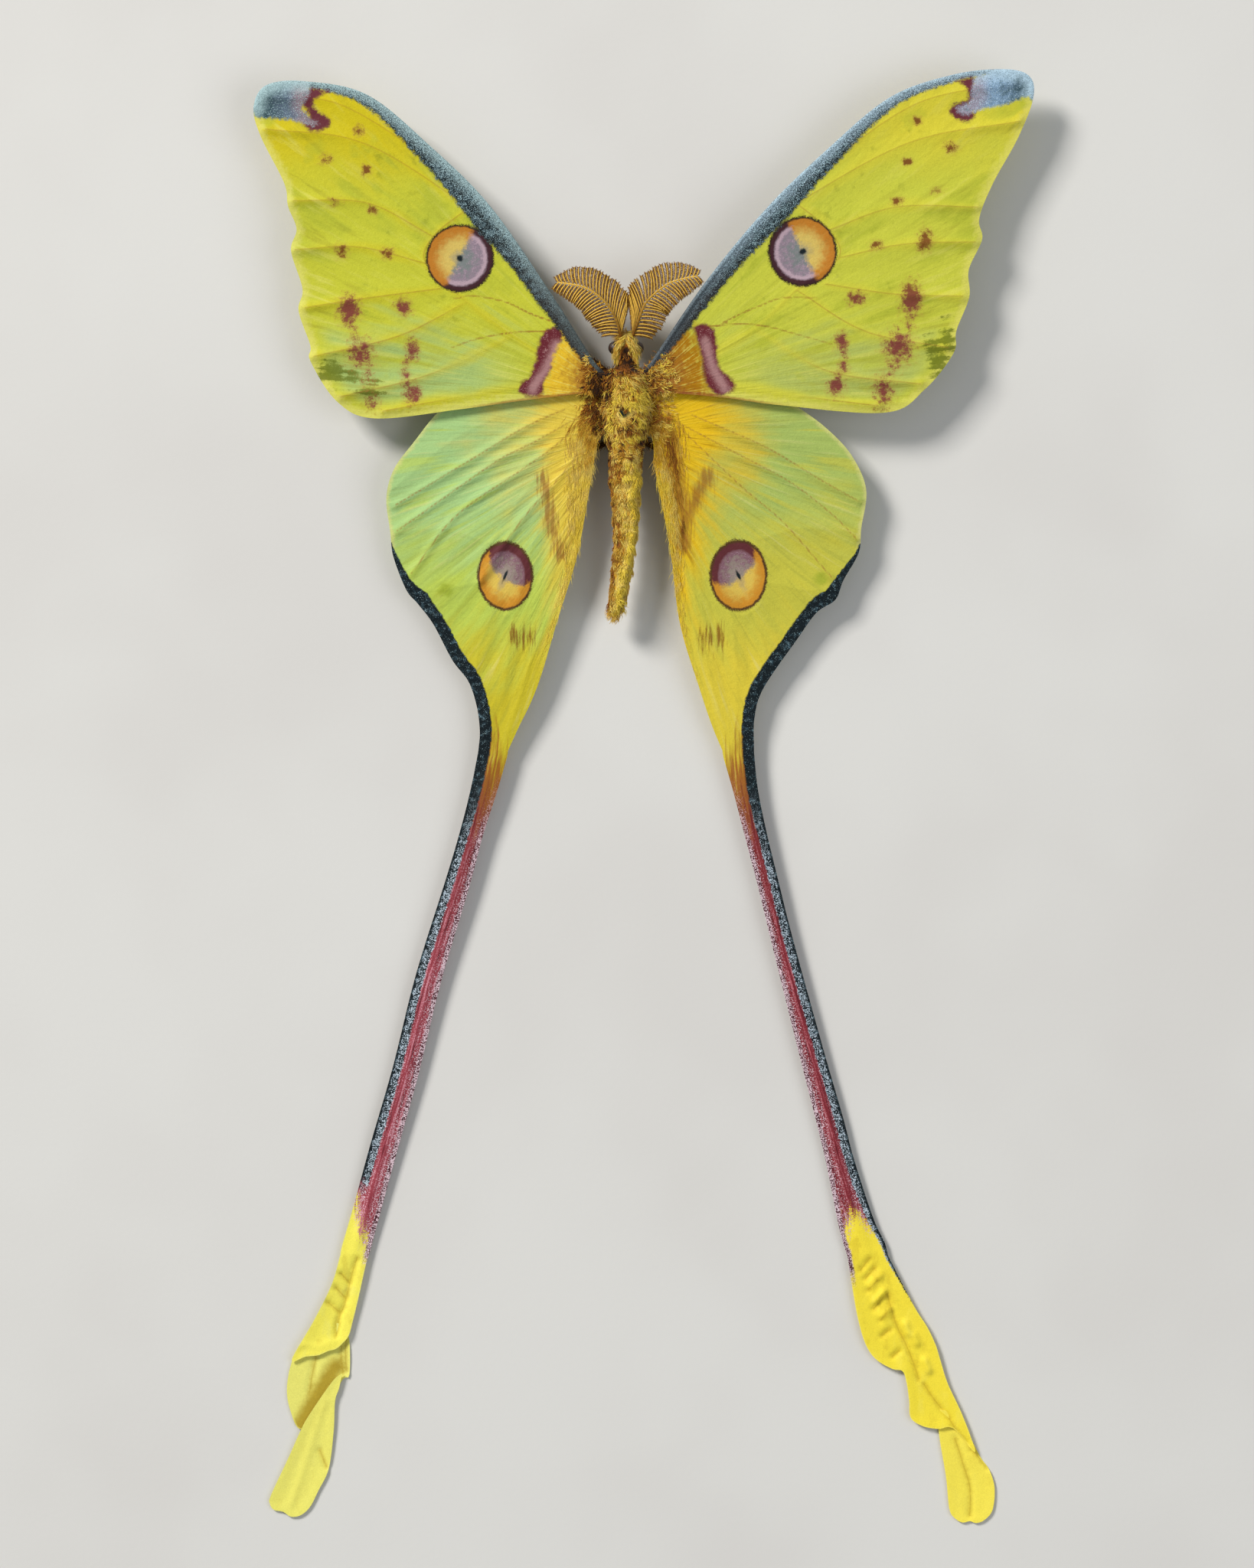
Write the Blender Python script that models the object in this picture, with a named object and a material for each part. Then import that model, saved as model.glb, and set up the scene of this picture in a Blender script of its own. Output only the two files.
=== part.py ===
"""Comet moth: a dried, spread male at life size, with its long twisted tails.

The head points to +Y and the back faces +Z. Six feet and the two tail ends stand on the
floor at z = 0, and the origin is the middle of the outline on that floor. Lengths and
places are millimetres, which become metres where a mesh is made.
"""

import math
import random

import bmesh
import bpy
from mathutils import Vector
from mathutils.geometry import delaunay_2d_cdt

MM = 0.001

# Clear space between two nodes that meet
GAP = 0.3

# Membrane of wings and tails, and the veins raised on it
MEMBRANE = 0.56
VEIN_ABOVE = 0.26
VEIN_BELOW = 0.12
VEIN_HALF_WIDTH = 0.5
RIM_STEP = 2.8
VEIN_STEP = 5.0
VEIN_FROM_RIM = 0.4
FIELD_STEP = 6.5
TIP_FIELD_STEP = 4.0
FIELD_CLEAR_SHARE = 0.35

# Middle line of the body, and how the wings lie over the floor
BODY_X = -3.6
FORE_ROOT_Z = 9.8
HIND_ROOT_Z = 8.3
WING_DROOP = 0.03
FORE_RISE = 0.012
FORE_HINGE_Y = 82.0
HIND_FALL = 0.062
HIND_HINGE_Y = 78.0

# Tails sink evenly from the hindwings to the floor
TAIL_ROOT_Y = 9.3
TAIL_TIP_Y = -92.5
TAIL_TIP_Z = 1.05
TIP_ON_FLOOR_Z = MEMBRANE / 2
TIP_LAYER = 0.46
TIP_SLOPE_SHARE = 0.6
TAIL_RIM_STEP = 4.5

# Woolly thorax: an oval core with flat tapered locks over it
THORAX_SECTIONS = (
    (87.7, 2.1, 2.2, 7.9),
    (86.6, 3.9, 3.6, 7.9),
    (84.6, 5.2, 4.6, 7.8),
    (81.6, 5.9, 5.1, 7.8),
    (78.0, 6.1, 5.2, 7.8),
    (74.0, 5.7, 5.0, 7.7),
    (70.4, 4.8, 4.4, 7.4),
    (67.8, 4.1, 3.8, 7.1),
    (66.9, 3.7, 3.5, 7.0),
)
THORAX_SIDES = 20
LOCK_ROWS = (85.6, 83.2, 80.6, 78.0, 75.4, 72.8)
LOCK_ANGLES = (-46, -27, -9, 9, 27, 46)
FRONT_ROW_NARROWING = 0.7
LOCK_SUNK = 0.55

# A lock's width and thickness, and the share of each from root to end
LOCK_WIDTH = 1.9
LOCK_WIDTH_SHARES = (0.8, 1.0, 0.75, 0.2)
LOCK_THICKNESS = 0.55
LOCK_THICKNESS_SHARES = (1.2, 1.1, 0.9, 0.45)

# How a lock lies: each pair is its value on the ridge of the back and its change towards the side
LOCK_SPREAD = 1.5
LOCK_BACKWARDS = (-1.0, 0.55)
LOCK_LIFT = (0.24, -0.27)
LOCK_LENGTH = (3.9, 1.6)
LAST_ROW_LENGTH = 3.6
LOCK_SAG = 0.35
FLANK_ROWS = LOCK_ROWS[:5]
FLANK_ANGLE = 112
FLANK_LIE = (0.9, -0.8, -0.35)
FLANK_LENGTH = 3.4

# Head: flat behind, where it meets the thorax
HEAD_SECTIONS = (
    (88.0, 2.0, 2.1, 7.9),
    (89.0, 2.45, 2.5, 7.9),
    (90.6, 2.55, 2.6, 7.8),
    (92.2, 2.3, 2.3, 7.7),
    (93.4, 1.7, 1.7, 7.5),
    (94.1, 0.9, 0.9, 7.3),
)
BODY_SIDES = 16
EYE_RADIUS = 1.4
EYE_OUT = 2.2
EYE_Y = 91.2
EYE_Z = 7.3

# Palps under the face and the parted tuft over it, as distance from the middle line, y and z
PALP = ((0.7, 92.6, 6.6), (0.9, 94.2, 6.0), (0.8, 95.2, 6.2))
PALP_WIDTHS = (1.1, 1.0, 0.6)
PALP_THICKNESSES = (1.0, 0.9, 0.5)
BROW_START = (0.5, 91.6, 9.4)
BROW_LIE = (0.55, -1.0, 0.02)
BROW_LENGTH = 4.3
BROW_SAG = 0.2

# Abdomen: shrunken, bent towards -X, in eight rings
ABDOMEN_SECTIONS = (
    (-3.7, 66.6, 3.6, 3.4, 7.0),
    (-3.7, 64.0, 3.75, 3.5, 6.9),
    (-3.7, 60.0, 3.15, 3.1, 6.7),
    (-3.8, 52.4, 2.6, 2.7, 6.3),
    (-4.5, 45.9, 2.3, 2.4, 6.0),
    (-5.1, 41.5, 2.05, 2.1, 5.8),
    (-5.6, 38.6, 1.5, 1.6, 5.6),
    (-5.9, 37.0, 0.8, 0.9, 5.5),
)
ABDOMEN_RINGS = 8
ABDOMEN_STEP = 1.5
RING_GROOVE = 0.14

# Ring of tufts at the abdomen's end
TUFTS = 6
TUFT_CENTRE = (-5.4, 39.4, 5.6)
TUFT_RING = 0.7
TUFT_FLARE = 0.25
TUFT_BEND = -0.2
TUFT_LENGTH = 3.6

# Feathery antennae
RAMI_PER_SIDE = 14
FIRST_RAMUS = 0.07
LAST_RAMUS = 0.97
RAMUS_BEND = 0.55
RAMUS_WIDTHS = (0.56, 0.5, 0.3)
RAMUS_DROOP = 0.1
SHAFT_STEP = 0.9
SHAFT_ROOT_RADIUS = 0.5
SHAFT_TIP_RADIUS = 0.26

# Radii along a leg, from hip over thigh and shin to foot
LEG_RADII = (0.75, 0.75, 0.6, 0.45, 0.45, 0.34, 0.34)
LEG_STEP = 1.3

WINGS = {
    "forewing_left": {
        "edges": (
            ((-6.0, 86.2), (-9.4, 87.6), (-18.7, 102.0), (-31.1, 119.8), (-43.5, 132.2), (-55.9, 142.3),
             (-68.3, 145.1), (-76.3, 144.4), (-79.0, 140.0)),
            ((-79.0, 140.0), (-77.6, 134.1), (-72.8, 124.5), (-72.0, 119.8), (-70.3, 115.2), (-71.4, 110.8),
             (-69.1, 103.1), (-69.9, 98.7), (-67.5, 91.6), (-67.5, 88.5), (-62.1, 80.3), (-54.4, 76.9)),
            ((-54.4, 76.9), (-37.3, 78.7), (-24.9, 80.4), (-9.6, 82.2), (-6.0, 82.4)),
        ),
        "veins": (
            ((-8.4, 86.0), (-21.8, 103.5), (-31.1, 116.7), (-40.4, 126.8), (-60.6, 140.0), (-76.0, 142.0)),
            ((-31.1, 116.7), (-55.9, 132.2), (-77.0, 135.5)),
            ((-42.6, 113.6), (-55.9, 120.4), (-71.4, 120.9)),
            ((-44.1, 108.2), (-57.5, 111.5), (-70.6, 111.0)),
            ((-41.2, 103.1), (-55.9, 101.2), (-69.0, 99.2)),
            ((-35.8, 100.4), (-49.7, 93.5), (-66.8, 89.4)),
            ((-26.5, 93.5), (-43.5, 85.7), (-61.4, 81.2)),
            ((-8.4, 84.4), (-18.7, 88.8), (-26.5, 93.5), (-35.8, 100.4), (-44.1, 108.2), (-42.6, 113.6),
             (-36.0, 119.0)),
            ((-8.4, 83.3), (-21.8, 83.4), (-37.3, 81.1), (-52.8, 78.3)),
        ),
    },
    "forewing_right": {
        "edges": (
            ((-1.2, 86.2), (0.9, 87.6), (12.3, 104.2), (24.7, 119.2), (36.8, 131.0), (49.6, 141.7),
             (61.9, 146.3), (72.0, 147.6), (77.8, 146.4), (78.9, 142.0)),
            ((78.9, 142.0), (75.8, 133.8), (70.7, 124.5), (67.9, 117.4), (68.5, 113.2), (65.8, 107.0),
             (65.9, 101.5), (63.3, 94.7), (62.7, 90.1), (56.9, 82.8), (49.0, 78.1)),
            ((49.0, 78.1), (27.9, 79.5), (15.7, 81.1), (2.4, 82.2), (-1.2, 82.4)),
        ),
        "veins": (
            ((1.2, 86.0), (11.5, 102.0), (21.6, 113.6), (30.9, 122.9), (54.1, 140.0), (75.5, 144.8)),
            ((24.7, 116.7), (52.6, 132.2), (76.0, 137.0)),
            ((37.4, 114.9), (51.0, 119.6), (68.0, 119.6)),
            ((39.4, 109.3), (52.6, 112.1), (67.6, 112.6)),
            ((36.8, 104.0), (51.0, 102.0), (65.0, 101.6)),
            ((30.9, 102.8), (44.8, 94.5), (62.1, 91.1)),
            ((22.4, 95.0), (37.1, 86.5), (56.0, 83.8)),
            ((1.2, 84.4), (11.5, 88.8), (22.4, 95.0), (30.9, 102.8), (39.4, 109.3), (37.4, 114.9),
             (30.0, 121.0)),
            ((1.2, 83.3), (15.4, 83.4), (30.9, 81.4), (47.4, 79.4)),
        ),
    },
    "hindwing_left": {
        "edges": (
            ((-6.0, 80.6), (-13.0, 83.4), (-21.8, 85.4), (-34.2, 83.6), (-41.2, 78.7), (-46.6, 72.2),
             (-50.6, 66.8), (-52.2, 60.9), (-51.4, 53.9), (-50.8, 49.0), (-48.2, 42.3), (-45.8, 39.4),
             (-42.7, 35.3), (-38.9, 28.1), (-35.6, 23.7), (-33.9, 18.6), (-33.3, 13.6), (-33.6, 9.6)),
            ((-27.6, 9.6), (-25.4, 14.4), (-22.9, 19.5), (-20.7, 25.3), (-17.5, 36.1), (-13.4, 49.6),
             (-10.5, 65.6), (-8.9, 73.4), (-6.0, 75.6)),
        ),
        "veins": (
            ((-8.6, 80.0), (-23.4, 79.0), (-37.3, 73.5), (-51.4, 62.4)),
            ((-31.1, 51.6), (-41.2, 54.7), (-51.0, 53.4)),
            ((-32.7, 43.9), (-41.2, 42.3), (-47.0, 42.6)),
            ((-30.3, 38.1), (-34.0, 28.0), (-32.4, 17.5), (-32.2, 10.2)),
            ((-26.2, 38.4), (-28.0, 25.3), (-29.8, 10.2)),
            ((-8.6, 77.4), (-14.8, 65.6), (-21.8, 53.2), (-26.2, 38.4), (-30.3, 38.1), (-32.7, 43.9),
             (-31.1, 51.6), (-18.7, 68.7), (-8.6, 78.8)),
            ((-14.8, 65.6), (-17.9, 50.1), (-21.8, 33.0), (-27.4, 13.4)),
        ),
    },
    "hindwing_right": {
        "edges": (
            ((-1.2, 80.6), (5.8, 83.2), (13.8, 85.0), (24.7, 83.6), (31.3, 79.2), (37.1, 74.9),
             (42.2, 69.4), (45.1, 62.5), (44.1, 54.7), (43.6, 49.8), (40.5, 44.2), (38.9, 40.3),
             (35.1, 37.7), (31.3, 32.5), (24.4, 22.5), (22.5, 16.4), (22.4, 9.6)),
            ((16.0, 9.6), (13.8, 14.9), (11.2, 22.6), (7.3, 35.6), (5.3, 51.1), (2.4, 66.0), (1.6, 73.4),
             (-1.2, 75.6)),
        ),
        "veins": (
            ((1.4, 80.0), (16.9, 79.4), (30.9, 74.3), (44.4, 62.8)),
            ((22.4, 52.4), (32.4, 54.7), (43.4, 54.0)),
            ((24.7, 43.9), (32.4, 42.3), (39.2, 42.4)),
            ((22.4, 38.1), (24.7, 28.0), (21.9, 17.5), (20.9, 10.2)),
            ((17.7, 38.4), (18.8, 25.3), (18.8, 10.2)),
            ((1.4, 77.4), (6.9, 65.6), (12.3, 53.2), (17.7, 38.4), (22.4, 38.1), (24.7, 43.9),
             (22.4, 52.4), (10.7, 68.7), (1.4, 78.8)),
            ((6.9, 65.6), (9.2, 50.1), (11.5, 33.0), (16.4, 13.4)),
        ),
    },
}

# Middle, y and width of each tail from the hindwing down to where its end twists
TAILS = {
    "tail_left": (
        (-30.6, 9.3, 6.0), (-32.5, 1.6, 5.3), (-35.0, -7.1, 4.7), (-37.9, -17.4, 5.0), (-43.8, -36.7, 5.3),
        (-48.4, -55.3, 5.4), (-52.8, -70.8, 5.6), (-56.2, -83.2, 5.6), (-58.8, -92.5, 5.8),
    ),
    "tail_right": (
        (19.2, 9.3, 6.4), (20.7, 1.6, 5.0), (22.7, -7.1, 4.5), (25.3, -17.4, 4.3), (28.1, -28.8, 4.4),
        (34.0, -51.3, 5.0), (37.9, -65.7, 5.5), (40.0, -74.1, 5.7), (43.2, -86.3, 7.2), (45.5, -92.5, 8.2),
    ),
}

# Layers of each twisted tail end, as outline, level at the tail's side and at the far side
TAIL_TIPS = {
    "tail_tip_left": (
        (((-61.7, -92.8), (-63.5, -98.9), (-67.1, -106.2), (-71.6, -114.1), (-67.1, -113.6), (-63.7, -112.5),
          (-60.6, -109.6), (-59.4, -106.3), (-58.0, -101.5), (-56.6, -95.2), (-55.9, -92.8)),
         TAIL_TIP_Z, TIP_ON_FLOOR_Z + TIP_LAYER),
        (((-67.6, -108.4), (-71.2, -113.6), (-72.7, -119.7), (-71.6, -125.7), (-69.4, -128.7), (-64.4, -123.5),
          (-60.3, -118.0), (-59.8, -108.8), (-62.7, -106.3)),
         TIP_ON_FLOOR_Z, TIP_ON_FLOOR_Z),
        (((-61.0, -115.9), (-65.2, -122.8), (-71.6, -131.6), (-75.9, -141.7), (-75.4, -144.2), (-73.4, -145.2),
          (-71.6, -146.2), (-69.9, -145.7), (-67.5, -143.4), (-64.1, -136.1), (-63.0, -127.1), (-60.4, -117.4)),
         TIP_ON_FLOOR_Z + TIP_LAYER, TIP_ON_FLOOR_Z),
    ),
    "tail_tip_right": (
        (((41.4, -92.8), (43.1, -102.0), (43.7, -106.5), (45.1, -111.0), (47.2, -114.1), (52.4, -116.5),
          (53.8, -121.1), (54.1, -126.0), (57.7, -128.2), (62.7, -127.4), (68.3, -133.6), (65.3, -124.6),
          (61.3, -116.6), (59.9, -111.4), (58.0, -107.9), (53.5, -100.1), (49.6, -92.8)),
         TAIL_TIP_Z, TIP_ON_FLOOR_Z + TIP_LAYER),
        (((59.7, -124.3), (59.9, -130.2), (61.3, -139.2), (62.2, -144.3), (63.6, -146.8), (65.3, -147.7),
          (67.0, -147.3), (69.0, -147.4), (70.9, -145.1), (71.5, -142.0), (71.0, -138.3), (69.9, -135.6),
          (68.2, -132.6), (65.3, -125.1)),
         TIP_ON_FLOOR_Z, TIP_ON_FLOOR_Z),
    ),
}

# Shaft of each antenna from head to end, and the side its upper branches stand on
ANTENNAE = {
    "antenna_left": (((-4.5, 92.9, 8.9), (-5.4, 96.3, 9.8), (-7.1, 99.4, 10.3), (-9.4, 101.7, 10.6),
                      (-11.9, 103.2, 10.7), (-14.7, 103.9, 10.5), (-17.5, 104.3, 10.2)), -1),
    "antenna_right": (((-2.5, 92.9, 8.9), (-1.2, 96.3, 9.8), (0.2, 99.8, 10.3), (1.9, 101.7, 10.6),
                       (5.0, 104.0, 10.7), (8.0, 105.0, 10.5), (10.9, 105.6, 10.2)), 1),
}
UPPER_RAMI = (7.6, 6.6, 5.6, 4.8, 4.0, 2.2)
LOWER_RAMI = (3.6, 5.2, 5.2, 4.6, 3.6, 1.8)
UPPER_LEAN = (25, 36, 47, 62, 74, 70)
LOWER_LEAN = (78, 80, 80, 78, 70, 60)
ANTENNA_PARTING_X = -3.3
ANTENNA_CLEAR = 0.36

# Legs, as distance from the middle line, y and z: hip, knee, ankle and toe
LEGS = {
    "leg_fore": ((2.6, 85.2, 3.9), (2.9, 85.8, 3.0), (7.2, 89.2, 4.6), (10.6, 91.2, 1.1), (13.6, 93.0, 0.28)),
    "leg_mid": ((3.3, 79.4, 3.1), (3.8, 79.2, 2.1), (9.0, 78.6, 4.4), (12.6, 78.2, 1.1), (15.8, 78.8, 0.28)),
    "leg_hind": ((2.9, 73.0, 3.3), (3.4, 72.6, 2.4), (8.0, 69.6, 4.2), (10.6, 65.6, 1.1), (12.2, 61.6, 0.28)),
}


def clear_scene():
    for obj in list(bpy.data.objects):
        bpy.data.objects.remove(obj, do_unlink=True)


def new_collection(name):
    collection = bpy.data.collections.new(name)
    bpy.context.scene.collection.children.link(collection)
    return collection


def new_finish(name, colour, roughness):
    finish = bpy.data.materials.new(name)
    finish.use_nodes = True
    shader = finish.node_tree.nodes["Principled BSDF"]
    shader.inputs["Base Color"].default_value = (*colour, 1.0)
    shader.inputs["Roughness"].default_value = roughness
    shader.inputs["Metallic"].default_value = 0.0
    return finish


def new_solid(name, points, faces, finish):
    """A mesh object from points in millimetres, with its faces turned outwards."""
    mesh = bpy.data.meshes.new(name)
    mesh.from_pydata([Vector(point) * MM for point in points], [], faces)
    mesh.materials.append(finish)
    shape = bmesh.new()
    shape.from_mesh(mesh)
    bmesh.ops.recalc_face_normals(shape, faces=shape.faces)
    shape.to_mesh(mesh)
    shape.free()
    obj = bpy.data.objects.new(name, mesh)
    moth.objects.link(obj)
    return obj


def replace_mesh(obj):
    """Puts what the modifiers make of an object in place of its mesh."""
    bpy.context.view_layer.update()
    graph = bpy.context.evaluated_depsgraph_get()
    mesh = bpy.data.meshes.new_from_object(obj.evaluated_get(graph))
    old = obj.data
    obj.modifiers.clear()
    obj.data = mesh
    bpy.data.meshes.remove(old)


def keep_largest_surface(obj):
    """Drops loose scraps and the walls of sealed hollows."""
    shape = bmesh.new()
    shape.from_mesh(obj.data)
    left = set(shape.verts)
    surfaces = []
    while left:
        found = {left.pop()}
        front = list(found)
        while front:
            point = front.pop()
            for edge in point.link_edges:
                other = edge.other_vert(point)
                if other not in found:
                    found.add(other)
                    front.append(other)
        left -= found
        surfaces.append(found)
    biggest = max(surfaces, key=len)
    bmesh.ops.delete(shape, geom=[v for v in shape.verts if v not in biggest], context="VERTS")
    shape.to_mesh(obj.data)
    shape.free()


def join(body, pieces):
    """Fuses pieces into a body by one union, and removes them."""
    group = bpy.data.collections.new(body.name + "_pieces")
    bpy.context.scene.collection.children.link(group)
    for piece in pieces:
        moth.objects.unlink(piece)
        group.objects.link(piece)
    union = body.modifiers.new("join", "BOOLEAN")
    union.operation = "UNION"
    union.operand_type = "COLLECTION"
    union.collection = group
    union.solver = "EXACT"
    replace_mesh(body)
    for piece in pieces:
        bpy.data.objects.remove(piece, do_unlink=True)
    bpy.data.collections.remove(group)
    keep_largest_surface(body)


def cut(body, cutter):
    """Takes a cutter's space out of a body, and removes the cutter."""
    difference = body.modifiers.new("cut", "BOOLEAN")
    difference.operation = "DIFFERENCE"
    difference.object = cutter
    difference.solver = "EXACT"
    replace_mesh(body)
    bpy.data.objects.remove(cutter, do_unlink=True)
    keep_largest_surface(body)


def shade_smooth(obj, sharp_above):
    obj.data.shade_smooth()
    obj.data.set_sharp_from_angle(angle=math.radians(sharp_above))


def mix(first, second, share):
    return first + (second - first) * share


def read_along(values, share):
    """The value at a share of the way through a row of values."""
    place = share * (len(values) - 1)
    index = min(int(place), len(values) - 2)
    return mix(values[index], values[index + 1], place - index)


def smooth_line(points, step):
    """Points about one step apart on a smooth curve through the given ones."""
    points = [Vector(point) for point in points]
    row = [points[0] * 2 - points[1], *points, points[-1] * 2 - points[-2]]
    line = []
    for before, start, end, after in zip(row, row[1:], row[2:], row[3:]):
        count = max(1, round((end - start).length / step))
        leave = (end - before) * 0.5
        arrive = (after - start) * 0.5
        for index in range(count):
            t = index / count
            line.append(
                start * (2 * t**3 - 3 * t**2 + 1)
                + leave * (t**3 - 2 * t**2 + t)
                + end * (3 * t**2 - 2 * t**3)
                + arrive * (t**3 - t**2)
            )
    line.append(points[-1])
    return line


def distance_to_line(point, line):
    nearest = math.inf
    for start, end in zip(line, line[1:]):
        along = end - start
        share = max(0.0, min(1.0, (point - start).dot(along) / along.length_squared))
        nearest = min(nearest, (point - start - along * share).length)
    return nearest


def is_inside(point, rim):
    """Whether a flat point lies within a closed outline."""
    inside = False
    for start, end in zip(rim, rim[1:] + rim[:1]):
        if (start.y > point.y) != (end.y > point.y):
            crossing = start.x + (point.y - start.y) * (end.x - start.x) / (end.y - start.y)
            if point.x < crossing:
                inside = not inside
    return inside


def beside(line, offset):
    """The line moved sideways by an offset."""
    moved = []
    for index, point in enumerate(line):
        along = (line[min(index + 1, len(line) - 1)] - line[max(index - 1, 0)]).normalized()
        moved.append(point + Vector((-along.y, along.x)) * offset)
    return moved


def field_points(rim, veins, step):
    """Points spread over a membrane, clear of its rim and veins, that let it follow its level."""
    low_x = min(point.x for point in rim)
    high_x = max(point.x for point in rim)
    low_y = min(point.y for point in rim)
    high_y = max(point.y for point in rim)
    found = []
    for row in range(int((high_y - low_y) / step) + 1):
        shift = step / 2 if row % 2 else 0.0
        for column in range(int((high_x - low_x) / step) + 1):
            point = Vector((low_x + shift + column * step, low_y + row * step))
            clear = step * FIELD_CLEAR_SHARE
            if not is_inside(point, rim) or distance_to_line(point, rim + rim[:1]) < clear:
                continue
            if all(distance_to_line(point, vein) > clear for vein in veins):
                found.append(point)
    return found


def new_membrane(name, rim, veins, level, finish, step=FIELD_STEP):
    """A thin sheet within a rim, split alike on both faces, with its veins raised in them."""
    rim = [Vector(point) for point in rim]
    veins = [smooth_line(vein, VEIN_STEP) for vein in veins]
    places = list(rim)
    edges = []
    for vein in veins:
        for offset in (-VEIN_HALF_WIDTH, 0.0, VEIN_HALF_WIDTH):
            last = None
            for point in beside(vein, offset):
                from_rim = distance_to_line(point, rim + rim[:1])
                if not is_inside(point, rim) or from_rim <= VEIN_FROM_RIM:
                    last = None
                    continue
                if last is not None:
                    edges.append((last, len(places)))
                last = len(places)
                places.append(point)
    places.extend(field_points(rim, veins, step))
    face = list(range(len(rim)))
    found = delaunay_2d_cdt(places, edges, [face], 1, 1e-3)
    flat, triangles = found[0], found[2]
    upper = []
    lower = []
    for place in flat:
        point = Vector(place)
        near = min((distance_to_line(point, vein) for vein in veins), default=VEIN_HALF_WIDTH)
        ridge = max(0.0, 1.0 - near / VEIN_HALF_WIDTH)
        middle = level(point.x, point.y)
        upper.append((point.x, point.y, middle + MEMBRANE / 2 + VEIN_ABOVE * ridge))
        lower.append((point.x, point.y, middle - MEMBRANE / 2 - VEIN_BELOW * ridge))
    count = len(flat)
    faces = [tuple(face) for face in triangles]
    faces += [tuple(index + count for index in reversed(face)) for face in triangles]
    sides = {}
    for a, b, c in triangles:
        for edge in ((a, b), (b, c), (c, a)):
            sides[edge] = True
    for start, end in sides:
        if (end, start) not in sides:
            faces.append((end, start, start + count, end + count))
    return new_solid(name, upper + lower, faces, finish)


def new_loft(name, rings, finish):
    """A closed solid through rings of equally many points."""
    sides = len(rings[0])
    points = [point for ring in rings for point in ring]
    faces = []
    for index in range(len(rings) - 1):
        for side in range(sides):
            following = (side + 1) % sides
            low = index * sides
            faces.append((low + side, low + following, low + sides + following, low + sides + side))
    faces.append(tuple(range(sides)))
    faces.append(tuple(range(len(points) - sides, len(points))))
    return new_solid(name, points, faces, finish)


def oval(x, y, z, half_width, half_height, sides):
    """A ring of points across the body."""
    turns = [2 * math.pi * index / sides for index in range(sides)]
    return [(x + half_width * math.cos(turn), y, z + half_height * math.sin(turn)) for turn in turns]


def new_strand(name, path, widths, thicknesses, up, finish):
    """A flat tapered strand of four sides along a path."""
    rings = []
    for index, place in enumerate(path):
        along = path[min(index + 1, len(path) - 1)] - path[max(index - 1, 0)]
        across = along.cross(up).normalized()
        lift = across.cross(along).normalized()
        half_width = across * widths[index] / 2
        half_thickness = lift * thicknesses[index] / 2
        rings.append([place + half_width, place + half_thickness, place - half_width, place - half_thickness])
    return new_loft(name, rings, finish)


def new_tube(name, path, radii, finish, resolution):
    """A round tube along a path, made by a bevelled curve and turned into a mesh."""
    curve = bpy.data.curves.new(name, "CURVE")
    curve.dimensions = "3D"
    curve.bevel_depth = MM
    curve.bevel_resolution = resolution
    curve.use_fill_caps = True
    spline = curve.splines.new("POLY")
    spline.points.add(len(path) - 1)
    for point, place, radius in zip(spline.points, path, radii):
        point.co = (*(place * MM), 1.0)
        point.radius = radius
    guide = bpy.data.objects.new(name + "_guide", curve)
    moth.objects.link(guide)
    bpy.context.view_layer.update()
    graph = bpy.context.evaluated_depsgraph_get()
    mesh = bpy.data.meshes.new_from_object(guide.evaluated_get(graph))
    bpy.data.objects.remove(guide, do_unlink=True)
    bpy.data.curves.remove(curve)
    shape = bmesh.new()
    shape.from_mesh(mesh)
    bmesh.ops.remove_doubles(shape, verts=shape.verts, dist=1e-6)
    bmesh.ops.recalc_face_normals(shape, faces=shape.faces)
    shape.to_mesh(mesh)
    shape.free()
    mesh.materials.clear()
    mesh.materials.append(finish)
    mesh.name = name
    tube = bpy.data.objects.new(name, mesh)
    moth.objects.link(tube)
    return tube


def fore_level(x, y):
    """Middle height of a forewing's membrane."""
    return FORE_ROOT_Z - WING_DROOP * abs(x - BODY_X) + FORE_RISE * (y - FORE_HINGE_Y)


def hind_level(x, y):
    """Middle height of a hindwing's membrane, which falls towards its tail."""
    return HIND_ROOT_Z - WING_DROOP * abs(x - BODY_X) - HIND_FALL * max(0.0, HIND_HINGE_Y - y)


def tail_level(root_z, y):
    """Middle height of a tail at y, from its root down to its twisted end."""
    return mix(TAIL_TIP_Z, root_z, (y - TAIL_TIP_Y) / (TAIL_ROOT_Y - TAIL_TIP_Y))


def thorax_core(name, grown):
    rings = []
    for y, half_width, half_height, z in THORAX_SECTIONS:
        rings.append(oval(BODY_X, y, z, half_width + grown, half_height + grown, THORAX_SIDES))
    return new_loft(name, rings, fur)


def wing_rim(edges):
    """The closed outline from its edges, each smooth, with a corner between two of them."""
    rim = []
    for edge in edges:
        line = smooth_line(edge, RIM_STEP)
        if rim and (rim[-1] - line[0]).length < 0.1:
            line = line[1:]
        rim.extend(line)
    return rim


def make_wings():
    for name, wing in WINGS.items():
        level = fore_level if name.startswith("fore") else hind_level
        finish = yellow_wing if name.startswith("fore") else green_wing
        body = new_membrane(name, wing_rim(wing["edges"]), wing["veins"], level, finish)
        cut(body, thorax_core(name + "_cutter", GAP))
        shade_smooth(body, 40)


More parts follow.
